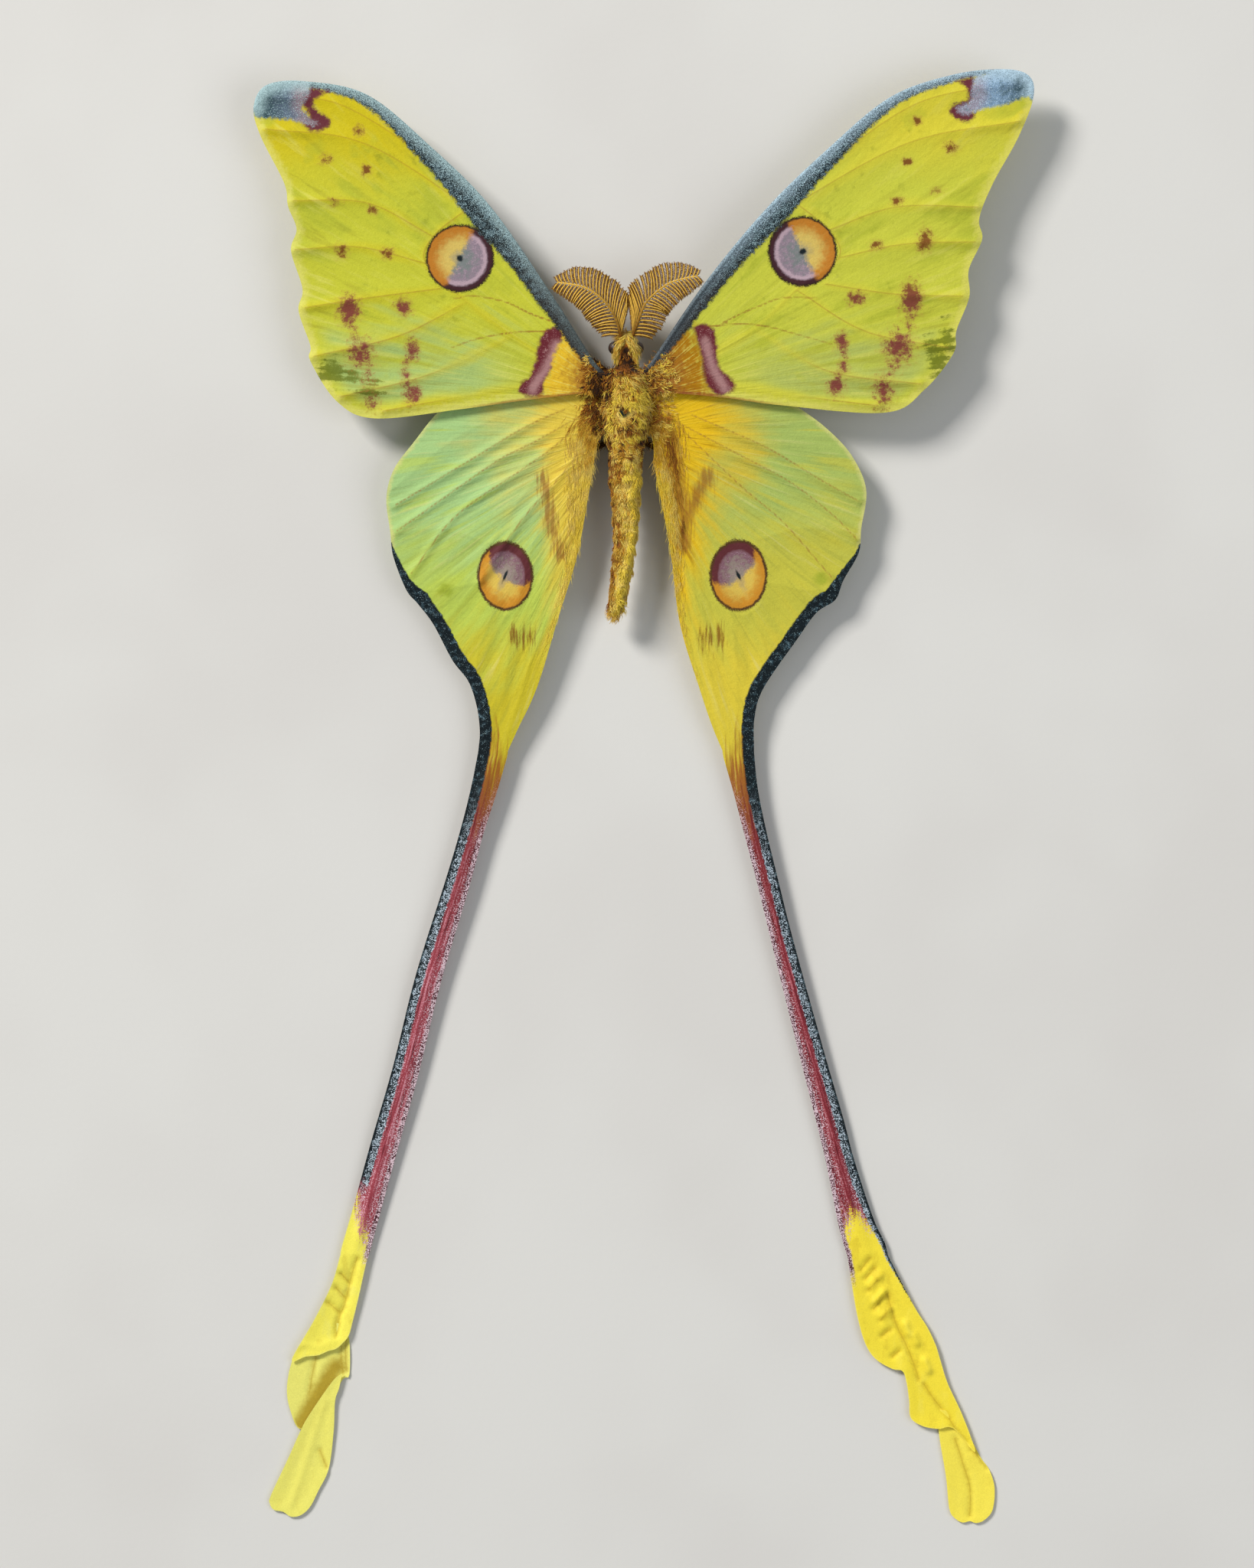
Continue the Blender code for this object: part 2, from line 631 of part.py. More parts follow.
def tail_edges(stations, step):
    """The two edges of a tail, square across its path at each station."""
    middle = smooth_line([(x, y, width) for x, y, width in stations], step)
    left = []
    right = []
    for index, place in enumerate(middle):
        along = middle[min(index + 1, len(middle) - 1)] - middle[max(index - 1, 0)]
        across = Vector((-along.y, along.x)).normalized() * place.z / 2
        if index in (0, len(middle) - 1):
            across = Vector((place.z / 2, 0.0))
        left.append(Vector((place.x, place.y)) - across)
        right.append(Vector((place.x, place.y)) + across)
    return left, right


def make_tails():
    for name, stations in TAILS.items():
        left, right = tail_edges(stations, TAIL_RIM_STEP)
        middle = [((a + b) / 2).to_tuple() for a, b in zip(left, right)]
        root_z = hind_level(middle[0][0], TAIL_ROOT_Y)

        def level(x, y, root_z=root_z):
            return tail_level(root_z, y)

        body = new_membrane(name, left + right[::-1], [middle], level, tail_red)
        shade_smooth(body, 40)


def make_tail_tips():
    for name, layers in TAIL_TIPS.items():
        sheets = []
        for index, (outline, near_z, far_z) in enumerate(layers):
            rim = smooth_line(outline, RIM_STEP)
            near_y = max(point.y for point in rim)
            far_y = min(point.y for point in rim)
            reach = (near_y - far_y) * TIP_SLOPE_SHARE

            def level(x, y, near_z=near_z, far_z=far_z, near_y=near_y, reach=reach):
                return mix(near_z, far_z, min(1.0, (near_y - y) / reach))

            sheets.append(new_membrane(f"{name}_{index}", rim, [], level, tail_yellow, TIP_FIELD_STEP))
        body = sheets[0]
        body.name = name
        body.data.name = name
        join(body, sheets[1:])
        shade_smooth(body, 40)


def lock_path(start, lie, length, sag):
    """A bent path that leaves a surface and lies down along it."""
    lie = lie.normalized()
    down = Vector((0.0, 0.0, -1.0))
    return [
        start,
        start + lie * length * 0.35 + down * sag * 0.1,
        start + lie * length * 0.7 + down * sag * 0.45,
        start + lie * length + down * sag,
    ]


def new_lock(name, start, lie, length, sag, up):
    path = lock_path(start, lie, length, sag)
    widths = [LOCK_WIDTH * share for share in LOCK_WIDTH_SHARES]
    thicknesses = [LOCK_THICKNESS * share for share in LOCK_THICKNESS_SHARES]
    return new_strand(name, path, widths, thicknesses, up, fur)


def thorax_surface(y, angle, depth):
    """A point of the thorax's core at an angle from straight up, sunk by a depth."""
    ys = [section[0] for section in THORAX_SECTIONS]
    index = next(i for i in range(len(ys) - 1) if ys[i + 1] <= y)
    share = (ys[index] - y) / (ys[index] - ys[index + 1])
    half_width, half_height, z = (
        mix(THORAX_SECTIONS[index][k], THORAX_SECTIONS[index + 1][k], share) for k in (1, 2, 3)
    )
    turn = math.radians(angle)
    return Vector((
        BODY_X + (half_width - depth) * math.sin(turn),
        y,
        z + (half_height - depth) * math.cos(turn),
    ))


def make_thorax():
    body = thorax_core("thorax", 0.0)
    draw = random.Random(5)
    locks = []
    for row, y in enumerate(LOCK_ROWS):
        for column, angle in enumerate(LOCK_ANGLES):
            jitter = draw.uniform(-1.0, 1.0)
            lean = angle * (FRONT_ROW_NARROWING if row == 0 else 1.0)
            start = thorax_surface(y + 0.5 * jitter, lean + 2 * jitter, LOCK_SUNK)
            out = math.sin(math.radians(angle))
            aside = abs(out)
            lie = Vector((
                out * LOCK_SPREAD + 0.08 * jitter,
                LOCK_BACKWARDS[0] + LOCK_BACKWARDS[1] * aside,
                LOCK_LIFT[0] + LOCK_LIFT[1] * aside,
            ))
            length = LOCK_LENGTH[0] + LOCK_LENGTH[1] * aside + 0.4 * jitter
            if row == len(LOCK_ROWS) - 1:
                length = LAST_ROW_LENGTH
            locks.append(new_lock(f"lock_{row}_{column}", start, lie, length, LOCK_SAG, Vector((0, 0, 1))))
    for row, y in enumerate(FLANK_ROWS):
        for side in (-1, 1):
            start = thorax_surface(y, FLANK_ANGLE * side, LOCK_SUNK)
            out, back, down = FLANK_LIE
            lie = Vector((side * out, back, down))
            up = Vector((side, 0, 0.4))
            locks.append(new_lock(f"flank_{row}_{side}", start, lie, FLANK_LENGTH, LOCK_SAG, up))
    join(body, locks)
    shade_smooth(body, 50)


def mirrored(side, places):
    """Places given as distance from the middle line, y and z, on one side of the body."""
    return [Vector((BODY_X + side * out, y, z)) for out, y, z in places]


def make_head():
    rings = [oval(BODY_X, y, z, a, b, BODY_SIDES) for y, a, b, z in HEAD_SECTIONS]
    body = new_loft("head", rings, fur)
    up = Vector((0, 0, 1))
    pieces = []
    for side in (-1, 1):
        palp = mirrored(side, PALP)
        pieces.append(new_strand(f"palp_{side}", palp, PALP_WIDTHS, PALP_THICKNESSES, up, fur))
        start = mirrored(side, (BROW_START,))[0]
        out, back, down = BROW_LIE
        lie = Vector((side * out, back, down))
        pieces.append(new_lock(f"brow_{side}", start, lie, BROW_LENGTH, BROW_SAG, up))
    join(body, pieces)
    for side, name in ((-1, "left"), (1, "right")):
        place = Vector((BODY_X + side * EYE_OUT, EYE_Y, EYE_Z))
        cut(body, new_ball(f"socket_{name}", place, EYE_RADIUS + GAP, black_eye))
        eye = new_ball(f"eye_{name}", place, EYE_RADIUS, black_eye)
        shade_smooth(eye, 80)
        route = smooth_line(ANTENNAE[f"antenna_{name}"][0], SHAFT_STEP)[:4]
        widths = [SHAFT_ROOT_RADIUS + GAP] * len(route)
        cut(body, new_tube(f"antenna_socket_{name}", route, widths, fur, 2))
        cut(body, new_ball(f"antenna_pit_{name}", route[0], SHAFT_ROOT_RADIUS + GAP, fur))
    shade_smooth(body, 50)


def new_ball(name, place, radius, finish):
    mesh = bpy.data.meshes.new(name)
    shape = bmesh.new()
    bmesh.ops.create_uvsphere(shape, u_segments=14, v_segments=9, radius=radius * MM)
    bmesh.ops.translate(shape, verts=shape.verts, vec=place * MM)
    shape.to_mesh(mesh)
    shape.free()
    mesh.materials.append(finish)
    ball = bpy.data.objects.new(name, mesh)
    moth.objects.link(ball)
    return ball


def make_abdomen():
    stations = smooth_line([(x, y, z) for x, y, _, _, z in ABDOMEN_SECTIONS], ABDOMEN_STEP)
    sizes = smooth_line([(a, b, y) for _, y, a, b, _ in ABDOMEN_SECTIONS], ABDOMEN_STEP)
    length = stations[0].y - stations[-1].y
    rings = []
    for place in stations:
        share = (stations[0].y - place.y) / length
        size = min(sizes, key=lambda entry: abs(entry.z - place.y))
        groove = RING_GROOVE * (0.5 - 0.5 * math.cos(2 * math.pi * share * ABDOMEN_RINGS))
        rings.append(oval(place.x, place.y, place.z, size.x - groove, size.y - groove, BODY_SIDES))
    body = new_loft("abdomen", rings, fur)
    tufts = []
    for index in range(TUFTS):
        turn = 2 * math.pi * index / TUFTS
        outwards = Vector((math.cos(turn), 0.0, math.sin(turn)))
        start = Vector(TUFT_CENTRE) + outwards * TUFT_RING
        lie = Vector((TUFT_BEND, -1.0, 0.0)) + outwards * TUFT_FLARE
        tufts.append(new_lock(f"tuft_{index}", start, lie, TUFT_LENGTH, BROW_SAG, outwards))
    join(body, tufts)
    shade_smooth(body, 50)


def make_antennae():
    for name, (route, side) in ANTENNAE.items():
        shaft = smooth_line(route, SHAFT_STEP)
        count = len(shaft)
        radii = [mix(SHAFT_ROOT_RADIUS, SHAFT_TIP_RADIUS, index / (count - 1)) for index in range(count)]
        body = new_tube(name, shaft, radii, antenna_brown, 1)
        up = Vector((0.0, 0.0, 1.0))
        branches = []
        for index in range(RAMI_PER_SIDE):
            share = mix(FIRST_RAMUS, LAST_RAMUS, index / (RAMI_PER_SIDE - 1))
            place = read_along(shaft, share)
            ahead = read_along(shaft, min(1.0, share + 0.05))
            behind = read_along(shaft, share - 0.05)
            along = (ahead - behind).normalized()
            square = Vector((along.y, -along.x, 0.0)) * -side
            for row, (lengths, leans) in enumerate(((UPPER_RAMI, UPPER_LEAN), (LOWER_RAMI, LOWER_LEAN))):
                turn = math.radians(read_along(leans, share))
                out = square if row == 0 else -square
                aim = (along * math.cos(turn) + out * math.sin(turn)).normalized()
                length = read_along(lengths, share)
                path = [place, place + aim * length * RAMUS_BEND, place + aim * length]
                path[2].z -= RAMUS_DROOP * length
                for point in path[1:]:
                    out_by = max(ANTENNA_CLEAR, side * (point.x - ANTENNA_PARTING_X))
                    point.x = ANTENNA_PARTING_X + side * out_by
                ramus = f"ramus_{index}_{row}"
                branches.append(new_strand(ramus, path, RAMUS_WIDTHS, RAMUS_WIDTHS, up, antenna_brown))
        join(body, branches)
        shade_smooth(body, 40)


def make_legs():
    for kind, joints in LEGS.items():
        for side, hand in ((-1, "left"), (1, "right")):
            path = smooth_line(mirrored(side, joints), LEG_STEP)
            radii = [read_along(LEG_RADII, index / (len(path) - 1)) for index in range(len(path))]
            body = new_tube(f"{kind}_{hand}", path, radii, leg_brown, 2)
            for vertex in body.data.vertices:
                vertex.co.z = max(0.0, vertex.co.z)
            shade_smooth(body, 60)


clear_scene()
moth = new_collection("comet_moth")
fur = new_finish("wool", (0.62, 0.47, 0.16), 0.9)
yellow_wing = new_finish("forewing", (0.80, 0.72, 0.14), 0.7)
green_wing = new_finish("hindwing", (0.66, 0.74, 0.28), 0.7)
tail_red = new_finish("tail_stem", (0.42, 0.12, 0.13), 0.75)
tail_yellow = new_finish("tail_end", (0.86, 0.76, 0.20), 0.7)
antenna_brown = new_finish("antenna", (0.48, 0.28, 0.08), 0.8)
leg_brown = new_finish("leg", (0.30, 0.18, 0.08), 0.8)
black_eye = new_finish("eye", (0.03, 0.02, 0.02), 0.25)
make_thorax()
make_head()
make_abdomen()
make_antennae()
make_wings()
make_tails()
make_tail_tips()
make_legs()
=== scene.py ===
"""Comet moth model: wing scales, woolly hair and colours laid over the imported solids.

Lengths and places are millimetres in the model's own frame and become metres where a mesh
is made. The head points to +Y, the back faces +Z and the model stands on the floor at z = 0.
"""

import logging
import math
from collections.abc import Callable, Sequence
from dataclasses import dataclass, field
from enum import IntEnum, StrEnum
from typing import ClassVar

import bpy
import numpy as np
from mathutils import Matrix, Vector
from mathutils.geometry import delaunay_2d_cdt
from mathutils.kdtree import KDTree

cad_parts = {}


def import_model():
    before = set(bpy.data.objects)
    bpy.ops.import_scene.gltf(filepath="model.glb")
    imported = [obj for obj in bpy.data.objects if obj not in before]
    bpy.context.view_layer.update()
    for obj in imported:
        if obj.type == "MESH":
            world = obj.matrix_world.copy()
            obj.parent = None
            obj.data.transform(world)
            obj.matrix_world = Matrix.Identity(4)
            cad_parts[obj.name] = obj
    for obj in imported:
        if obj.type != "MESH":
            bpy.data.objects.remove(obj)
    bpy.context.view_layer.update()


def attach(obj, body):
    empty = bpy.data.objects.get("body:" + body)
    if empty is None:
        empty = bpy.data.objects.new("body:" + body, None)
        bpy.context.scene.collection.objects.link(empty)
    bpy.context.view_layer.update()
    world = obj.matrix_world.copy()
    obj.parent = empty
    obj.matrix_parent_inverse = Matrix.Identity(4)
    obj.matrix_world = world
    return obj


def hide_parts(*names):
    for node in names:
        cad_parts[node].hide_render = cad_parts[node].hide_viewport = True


MM = 0.001
SEED = 7
FOLD_SEED = 11
Array = np.ndarray
Colour = tuple[float, float, float, float]
Point = tuple[float, float]
Place = tuple[float, float, float]
Line = tuple[Point, ...]
Spots = tuple[tuple[float, float, float, float, float], ...]

# Middle line of the body, and how the wings lie over the floor, as in the solids: heights at
# their roots, and how far they sink or rise for each millimetre outwards or along y
BODY_X = -3.6
FORE_ROOT_Z = 9.8
HIND_ROOT_Z = 8.3
WING_DROOP = 0.03
FORE_RISE = 0.012
FORE_HINGE_Y = 82.0
HIND_FALL = 0.062
HIND_HINGE_Y = 78.0

# Seams of the tails as in the solids, height at the lower one, and heights in the folded end
TAIL_ROOT_Y = 9.45
TAIL_TIP_Y = -92.65
TAIL_TIP_Z = 1.05
TIP_ON_FLOOR_Z = 0.28
TIP_LAYER = 0.46

# Thickness of the wing membrane and of the forewing's front edge over it, and its width
MEMBRANE = 0.16
EDGE_THICKNESS = 0.75
EDGE_WIDTH = 0.95

# Spacing of the points in the wings' meshes, on rims and veins, and on the tail end's creases;
# half the width of a vein, and the shortest edge of a rim
WING_CELL = 0.52
RIM_STEP = 0.5
CREASE_STEP = 0.5
VEIN_HALF_WIDTH = 0.3
LEAST_EDGE = 0.05

# Gaps in those meshes as shares of the spacing: between rows, between points and the rim,
# between points and inner lines, and between inner lines and the rim
ROW_SHARE = 0.866
RIM_SHARE = 0.45
LINE_SHARE = 0.4
GUIDE_SHARE = 0.3

# Fine folds round a wing's root: how many in a full turn and half the height of each, and the
# radius at which angles round the root count as millimetres
FOLDS = ((34, 0.10), (62, 0.07), (97, 0.045))
FAN_RADIUS = 40

# Spacing of the points on the smoothed lines of fine markings and of broader ones
MARK_STEP = 0.6
STREAK_STEP = 0.8

# What a finish reads where a marking is far away, or absent
FAR = 9.0
ABSENT = -1.0
NO_BAND = -2.0

# Straight up, and the least gap between any piece and the floor
UP = np.array([[0.0, 0.0, 1.0]])
FLOOR_GAP = 0.02

# Unwraps of the hair: size of a tuft's patch, margin, and the part of the model that each shows
TUFT_PATCH = 0.003
UNWRAP_MARGIN = 0.02
SKIN_FROM_Y = 36.5
SKIN_LENGTH = 58.5
WINGS_FROM = (-85.0, -150.0)
WINGS_SIZE = (170.0, 300.0)

# Eyes: distance from the middle line, y, z and radius
EYE_OUT = 2.2
EYE_Y = 91.2
EYE_Z = 7.3
EYE_RADIUS = 1.4

# Rings of the abdomen: where they begin, and how they follow one another
ABDOMEN_TOP_Y = 66.0
RING_PACE = 1.72

# Constants of the shaders: roughness of the noises, gloss of dry skin, relief of the scales
NOISE_ROUGHNESS = 0.55
DRY_GLOSS = 0.12
SCALE_RELIEF = 0.07


class Side(IntEnum):
    """A side of the moth, as the sign of x there."""

    LEFT = -1
    RIGHT = 1

    @property
    def word(self) -> str:
        """The side's word in the names of pieces."""
        return self.name.lower()


class Slot(StrEnum):
    """The record's finishes."""

    WOOL = "wool"
    ANTENNA = "antenna"
    EYE = "eye"
    FOREWING = "forewing"
    HINDWING = "hindwing"
    TAIL_STEM = "tail_stem"
    TAIL_END = "tail_end"
    LEG = "leg"


@dataclass(frozen=True)
class WingPlan:
    """Outline of a wing, as its front, outer and hind edges, and its veins."""

    edges: tuple[Line, ...]
    veins: tuple[Line, ...]


WINGS = {
    "forewing_left": WingPlan(
        edges=(
            ((-6.0, 86.2), (-9.4, 87.6), (-18.7, 102.0), (-31.1, 119.8), (-43.5, 132.2), (-55.9, 142.3),
             (-68.3, 145.1), (-76.3, 144.4), (-79.0, 140.0)),
            ((-79.0, 140.0), (-77.6, 134.1), (-72.8, 124.5), (-72.0, 119.8), (-70.3, 115.2), (-71.4, 110.8),
             (-69.1, 103.1), (-69.9, 98.7), (-67.5, 91.6), (-67.5, 88.5), (-62.1, 80.3), (-54.4, 76.9)),
            ((-54.4, 76.9), (-37.3, 78.7), (-24.9, 80.4), (-9.6, 82.2), (-6.0, 82.4)),
        ),
        veins=(
            ((-8.4, 86.0), (-21.8, 103.5), (-31.1, 116.7), (-40.4, 126.8), (-60.6, 140.0), (-76.0, 142.0)),
            ((-31.1, 116.7), (-55.9, 132.2), (-77.0, 135.5)),
            ((-42.6, 113.6), (-55.9, 120.4), (-71.4, 120.9)),
            ((-44.1, 108.2), (-57.5, 111.5), (-70.6, 111.0)),
            ((-41.2, 103.1), (-55.9, 101.2), (-69.0, 99.2)),
            ((-35.8, 100.4), (-49.7, 93.5), (-66.8, 89.4)),
            ((-26.5, 93.5), (-43.5, 85.7), (-61.4, 81.2)),
            ((-8.4, 84.4), (-18.7, 88.8), (-26.5, 93.5), (-35.8, 100.4), (-44.1, 108.2), (-42.6, 113.6),
             (-36.0, 119.0)),
            ((-8.4, 83.3), (-21.8, 83.4), (-37.3, 81.1), (-52.8, 78.3)),
        ),
    ),
    "forewing_right": WingPlan(
        edges=(
            ((-1.2, 86.2), (0.9, 87.6), (12.3, 104.2), (24.7, 119.2), (36.8, 131.0), (49.6, 141.7),
             (61.9, 146.3), (72.0, 147.6), (77.8, 146.4), (78.9, 142.0)),
            ((78.9, 142.0), (75.8, 133.8), (70.7, 124.5), (67.9, 117.4), (68.5, 113.2), (65.8, 107.0),
             (65.9, 101.5), (63.3, 94.7), (62.7, 90.1), (56.9, 82.8), (49.0, 78.1)),
            ((49.0, 78.1), (27.9, 79.5), (15.7, 81.1), (2.4, 82.2), (-1.2, 82.4)),
        ),
        veins=(
            ((1.2, 86.0), (11.5, 102.0), (21.6, 113.6), (30.9, 122.9), (54.1, 140.0), (75.5, 144.8)),
            ((24.7, 116.7), (52.6, 132.2), (76.0, 137.0)),
            ((37.4, 114.9), (51.0, 119.6), (68.0, 119.6)),
            ((39.4, 109.3), (52.6, 112.1), (67.6, 112.6)),
            ((36.8, 104.0), (51.0, 102.0), (65.0, 101.6)),
            ((30.9, 102.8), (44.8, 94.5), (62.1, 91.1)),
            ((22.4, 95.0), (37.1, 86.5), (56.0, 83.8)),
            ((1.2, 84.4), (11.5, 88.8), (22.4, 95.0), (30.9, 102.8), (39.4, 109.3), (37.4, 114.9),
             (30.0, 121.0)),
            ((1.2, 83.3), (15.4, 83.4), (30.9, 81.4), (47.4, 79.4)),
        ),
    ),
    "hindwing_left": WingPlan(
        edges=(
            ((-6.0, 80.6), (-13.0, 83.4), (-21.8, 85.4), (-34.2, 83.6), (-41.2, 78.7), (-46.6, 72.2),
             (-50.6, 66.8), (-52.2, 60.9), (-51.4, 53.9), (-50.8, 49.0), (-48.2, 42.3), (-45.8, 39.4),
             (-42.7, 35.3), (-38.9, 28.1), (-35.6, 23.7), (-33.9, 18.6), (-33.3, 13.6), (-33.6, 9.6)),
            ((-27.6, 9.6), (-25.4, 14.4), (-22.9, 19.5), (-20.7, 25.3), (-17.5, 36.1), (-13.4, 49.6),
             (-10.5, 65.6), (-8.9, 73.4), (-6.0, 75.6)),
        ),
        veins=(
            ((-8.6, 80.0), (-23.4, 79.0), (-37.3, 73.5), (-51.4, 62.4)),
            ((-31.1, 51.6), (-41.2, 54.7), (-51.0, 53.4)),
            ((-32.7, 43.9), (-41.2, 42.3), (-47.0, 42.6)),
            ((-30.3, 38.1), (-34.0, 28.0), (-32.4, 17.5), (-32.2, 10.2)),
            ((-26.2, 38.4), (-28.0, 25.3), (-29.8, 10.2)),
            ((-8.6, 77.4), (-14.8, 65.6), (-21.8, 53.2), (-26.2, 38.4), (-30.3, 38.1), (-32.7, 43.9),
             (-31.1, 51.6), (-18.7, 68.7), (-8.6, 78.8)),
            ((-14.8, 65.6), (-17.9, 50.1), (-21.8, 33.0), (-27.4, 13.4)),
        ),
    ),
    "hindwing_right": WingPlan(
        edges=(
            ((-1.2, 80.6), (5.8, 83.2), (13.8, 85.0), (24.7, 83.6), (31.3, 79.2), (37.1, 74.9),
             (42.2, 69.4), (45.1, 62.5), (44.1, 54.7), (43.6, 49.8), (40.5, 44.2), (38.9, 40.3),
             (35.1, 37.7), (31.3, 32.5), (24.4, 22.5), (22.5, 16.4), (22.4, 9.6)),
            ((16.0, 9.6), (13.8, 14.9), (11.2, 22.6), (7.3, 35.6), (5.3, 51.1), (2.4, 66.0), (1.6, 73.4),
             (-1.2, 75.6)),
        ),
        veins=(
            ((1.4, 80.0), (16.9, 79.4), (30.9, 74.3), (44.4, 62.8)),
            ((22.4, 52.4), (32.4, 54.7), (43.4, 54.0)),
            ((24.7, 43.9), (32.4, 42.3), (39.2, 42.4)),
            ((22.4, 38.1), (24.7, 28.0), (21.9, 17.5), (20.9, 10.2)),
            ((17.7, 38.4), (18.8, 25.3), (18.8, 10.2)),
            ((1.4, 77.4), (6.9, 65.6), (12.3, 53.2), (17.7, 38.4), (22.4, 38.1), (24.7, 43.9),
             (22.4, 52.4), (10.7, 68.7), (1.4, 78.8)),
            ((6.9, 65.6), (9.2, 50.1), (11.5, 33.0), (16.4, 13.4)),
        ),
    ),
}

# Middle, y and width of each tail from the hindwing down to where its end twists
TAILS = {
    "tail_left": (
        (-30.6, 9.3, 6.0), (-32.5, 1.6, 5.3), (-35.0, -7.1, 4.7), (-37.9, -17.4, 5.0), (-43.8, -36.7, 5.3),
        (-48.4, -55.3, 5.4), (-52.8, -70.8, 5.6), (-56.2, -83.2, 5.6), (-58.8, -92.5, 5.8),
    ),
    "tail_right": (
        (19.2, 9.3, 6.4), (20.7, 1.6, 5.0), (22.7, -7.1, 4.5), (25.3, -17.4, 4.3), (28.1, -28.8, 4.4),
        (34.0, -51.3, 5.0), (37.9, -65.7, 5.5), (40.0, -74.1, 5.7), (43.2, -86.3, 7.2), (45.5, -92.5, 8.2),
    ),
}

# Shaft of each antenna from head to end, and the side its upper branches stand on
ANTENNAE = {
    "antenna_left": (((-4.5, 92.9, 8.9), (-5.4, 96.3, 9.8), (-7.1, 99.4, 10.3), (-9.4, 101.7, 10.6),
                      (-11.9, 103.2, 10.7), (-14.7, 103.9, 10.5), (-17.5, 104.3, 10.2)), Side.LEFT),
    "antenna_right": (((-2.5, 92.9, 8.9), (-1.2, 96.3, 9.8), (0.2, 99.8, 10.3), (1.9, 101.7, 10.6),
                       (5.0, 104.0, 10.7), (8.0, 105.0, 10.5), (10.9, 105.6, 10.2)), Side.RIGHT),
}

# Length of an antenna's branches from its root to its end, their lean off the shaft in
# degrees, and the line that no branch crosses
UPPER_RAMI = (7.6, 6.6, 5.6, 4.8, 3.7, 1.3)
LOWER_RAMI = (3.6, 5.2, 5.2, 4.6, 3.6, 1.8)
UPPER_LEAN = (25, 36, 47, 62, 70, 56)
LOWER_LEAN = (78, 80, 80, 78, 70, 60)
ANTENNA_PARTING_X = -3.3

# Legs, as distance from the middle line, y and z: hip, knee, ankle and toe
LEGS = {
    "leg_fore": ((2.6, 85.2, 3.9), (2.9, 85.8, 3.0), (7.2, 89.2, 4.6), (10.6, 91.2, 1.1), (13.6, 93.0, 0.28)),
    "leg_mid": ((3.3, 79.4, 3.1), (3.8, 79.2, 2.1), (9.0, 78.6, 4.4), (12.6, 78.2, 1.1), (15.8, 78.8, 0.28)),
    "leg_hind": ((2.9, 73.0, 3.3), (3.4, 72.6, 2.4), (8.0, 69.6, 4.2), (10.6, 65.6, 1.1), (12.2, 61.6, 0.28)),
}

# Width of the hindwing's dark outer band at each y, from its upper end down
BAND_WIDTHS = ((52.0, 0.1), (48.5, 1.0), (44.5, 1.7), (41.6, 2.9), (39.0, 2.5), (28.0, 2.6), (16.0, 2.5),
               (0.0, 2.2), (-8.0, 1.9), (-78.0, 1.9), (-86.0, 1.3), (-93.0, 0.7), (-99.0, 0.3), (-104.0, 0.0))

# How far the hair reaches out from a hindwing's inner edge: y, and the reach there
INNER_HAIR = ((20, 35, 45, 54, 63, 72), (1.0, 1.7, 2.6, 4.0, 6.0, 8.5))

# Cream hair: the crooked ridge along the abdomen and the parted tuft over the head
ABDOMEN_RIDGE = ((-0.9, 75.1), (-2.3, 71.8), (-3.4, 68.4), (-2.1, 66.2), (-1.2, 63.5), (-2.6, 60.7),
                 (-1.5, 57.4), (-2.1, 52.9), (-2.9, 48.5), (-4.0, 44.1), (-5.1, 39.1))
BROWS = (((-3.7, 93.4), (-5.1, 91.1), (-6.2, 88.4), (-6.8, 86.2)),
         ((-3.5, 93.4), (-2.3, 91.7), (-1.2, 88.4), (-0.7, 86.2)))

# Markings: spots as x, y, radius across, radius along the wing and strength
SPOTS_LEFT = (
    (-57.7, 135.1, 1.1, 1.1, 1.0), (-64.2, 129.4, 1.5, 1.3, 0.75), (-56.2, 127.0, 1.0, 1.1, 1.0),
    (-62.5, 120.8, 1.2, 1.0, 0.6), (-54.8, 119.0, 1.1, 0.9, 1.0), (-61.2, 110.7, 1.4, 1.5, 0.9),
    (-51.8, 110.3, 1.3, 1.2, 0.95), (-59.6, 98.8, 2.2, 3.2, 1.15), (-48.8, 99.4, 1.8, 1.9, 1.0),
    (-57.4, 90.0, 2.7, 3.2, 0.9), (-46.8, 90.9, 1.5, 2.3, 1.05), (-48.2, 85.8, 1.1, 1.6, 0.8),
    (-46.8, 81.7, 1.8, 2.3, 1.0), (-54.9, 80.1, 1.8, 1.9, 0.75), (-58.9, 94.6, 1.3, 2.4, 0.5),
    (-56.0, 85.2, 1.4, 2.4, 0.55), (-48.0, 88.2, 0.9, 1.8, 0.75), (-48.0, 83.8, 1.0, 1.4, 0.8),
)
SPOTS_RIGHT = (
    (55.3, 137.2, 1.1, 0.9, 1.0), (62.2, 131.7, 1.4, 1.2, 0.85), (53.4, 128.8, 1.2, 0.8, 1.0),
    (59.3, 123.0, 1.3, 0.9, 0.8), (51.3, 120.9, 1.2, 1.0, 0.95), (56.9, 112.9, 1.6, 2.2, 1.05),
    (47.0, 112.0, 1.5, 1.1, 0.95), (43.0, 101.1, 1.9, 1.5, 1.0), (54.2, 101.0, 2.2, 3.6, 1.15),
    (40.0, 92.4, 1.5, 1.9, 1.05), (51.5, 91.3, 3.0, 3.3, 1.05), (40.4, 87.3, 1.1, 1.7, 0.85),
    (38.9, 83.2, 1.9, 2.0, 1.0), (48.6, 82.2, 2.1, 3.3, 0.85), (53.6, 96.0, 1.3, 2.4, 0.55),
    (50.2, 87.0, 1.4, 2.2, 0.6), (40.6, 89.6, 0.9, 1.6, 0.75), (39.2, 85.2, 1.0, 1.4, 0.8),
)


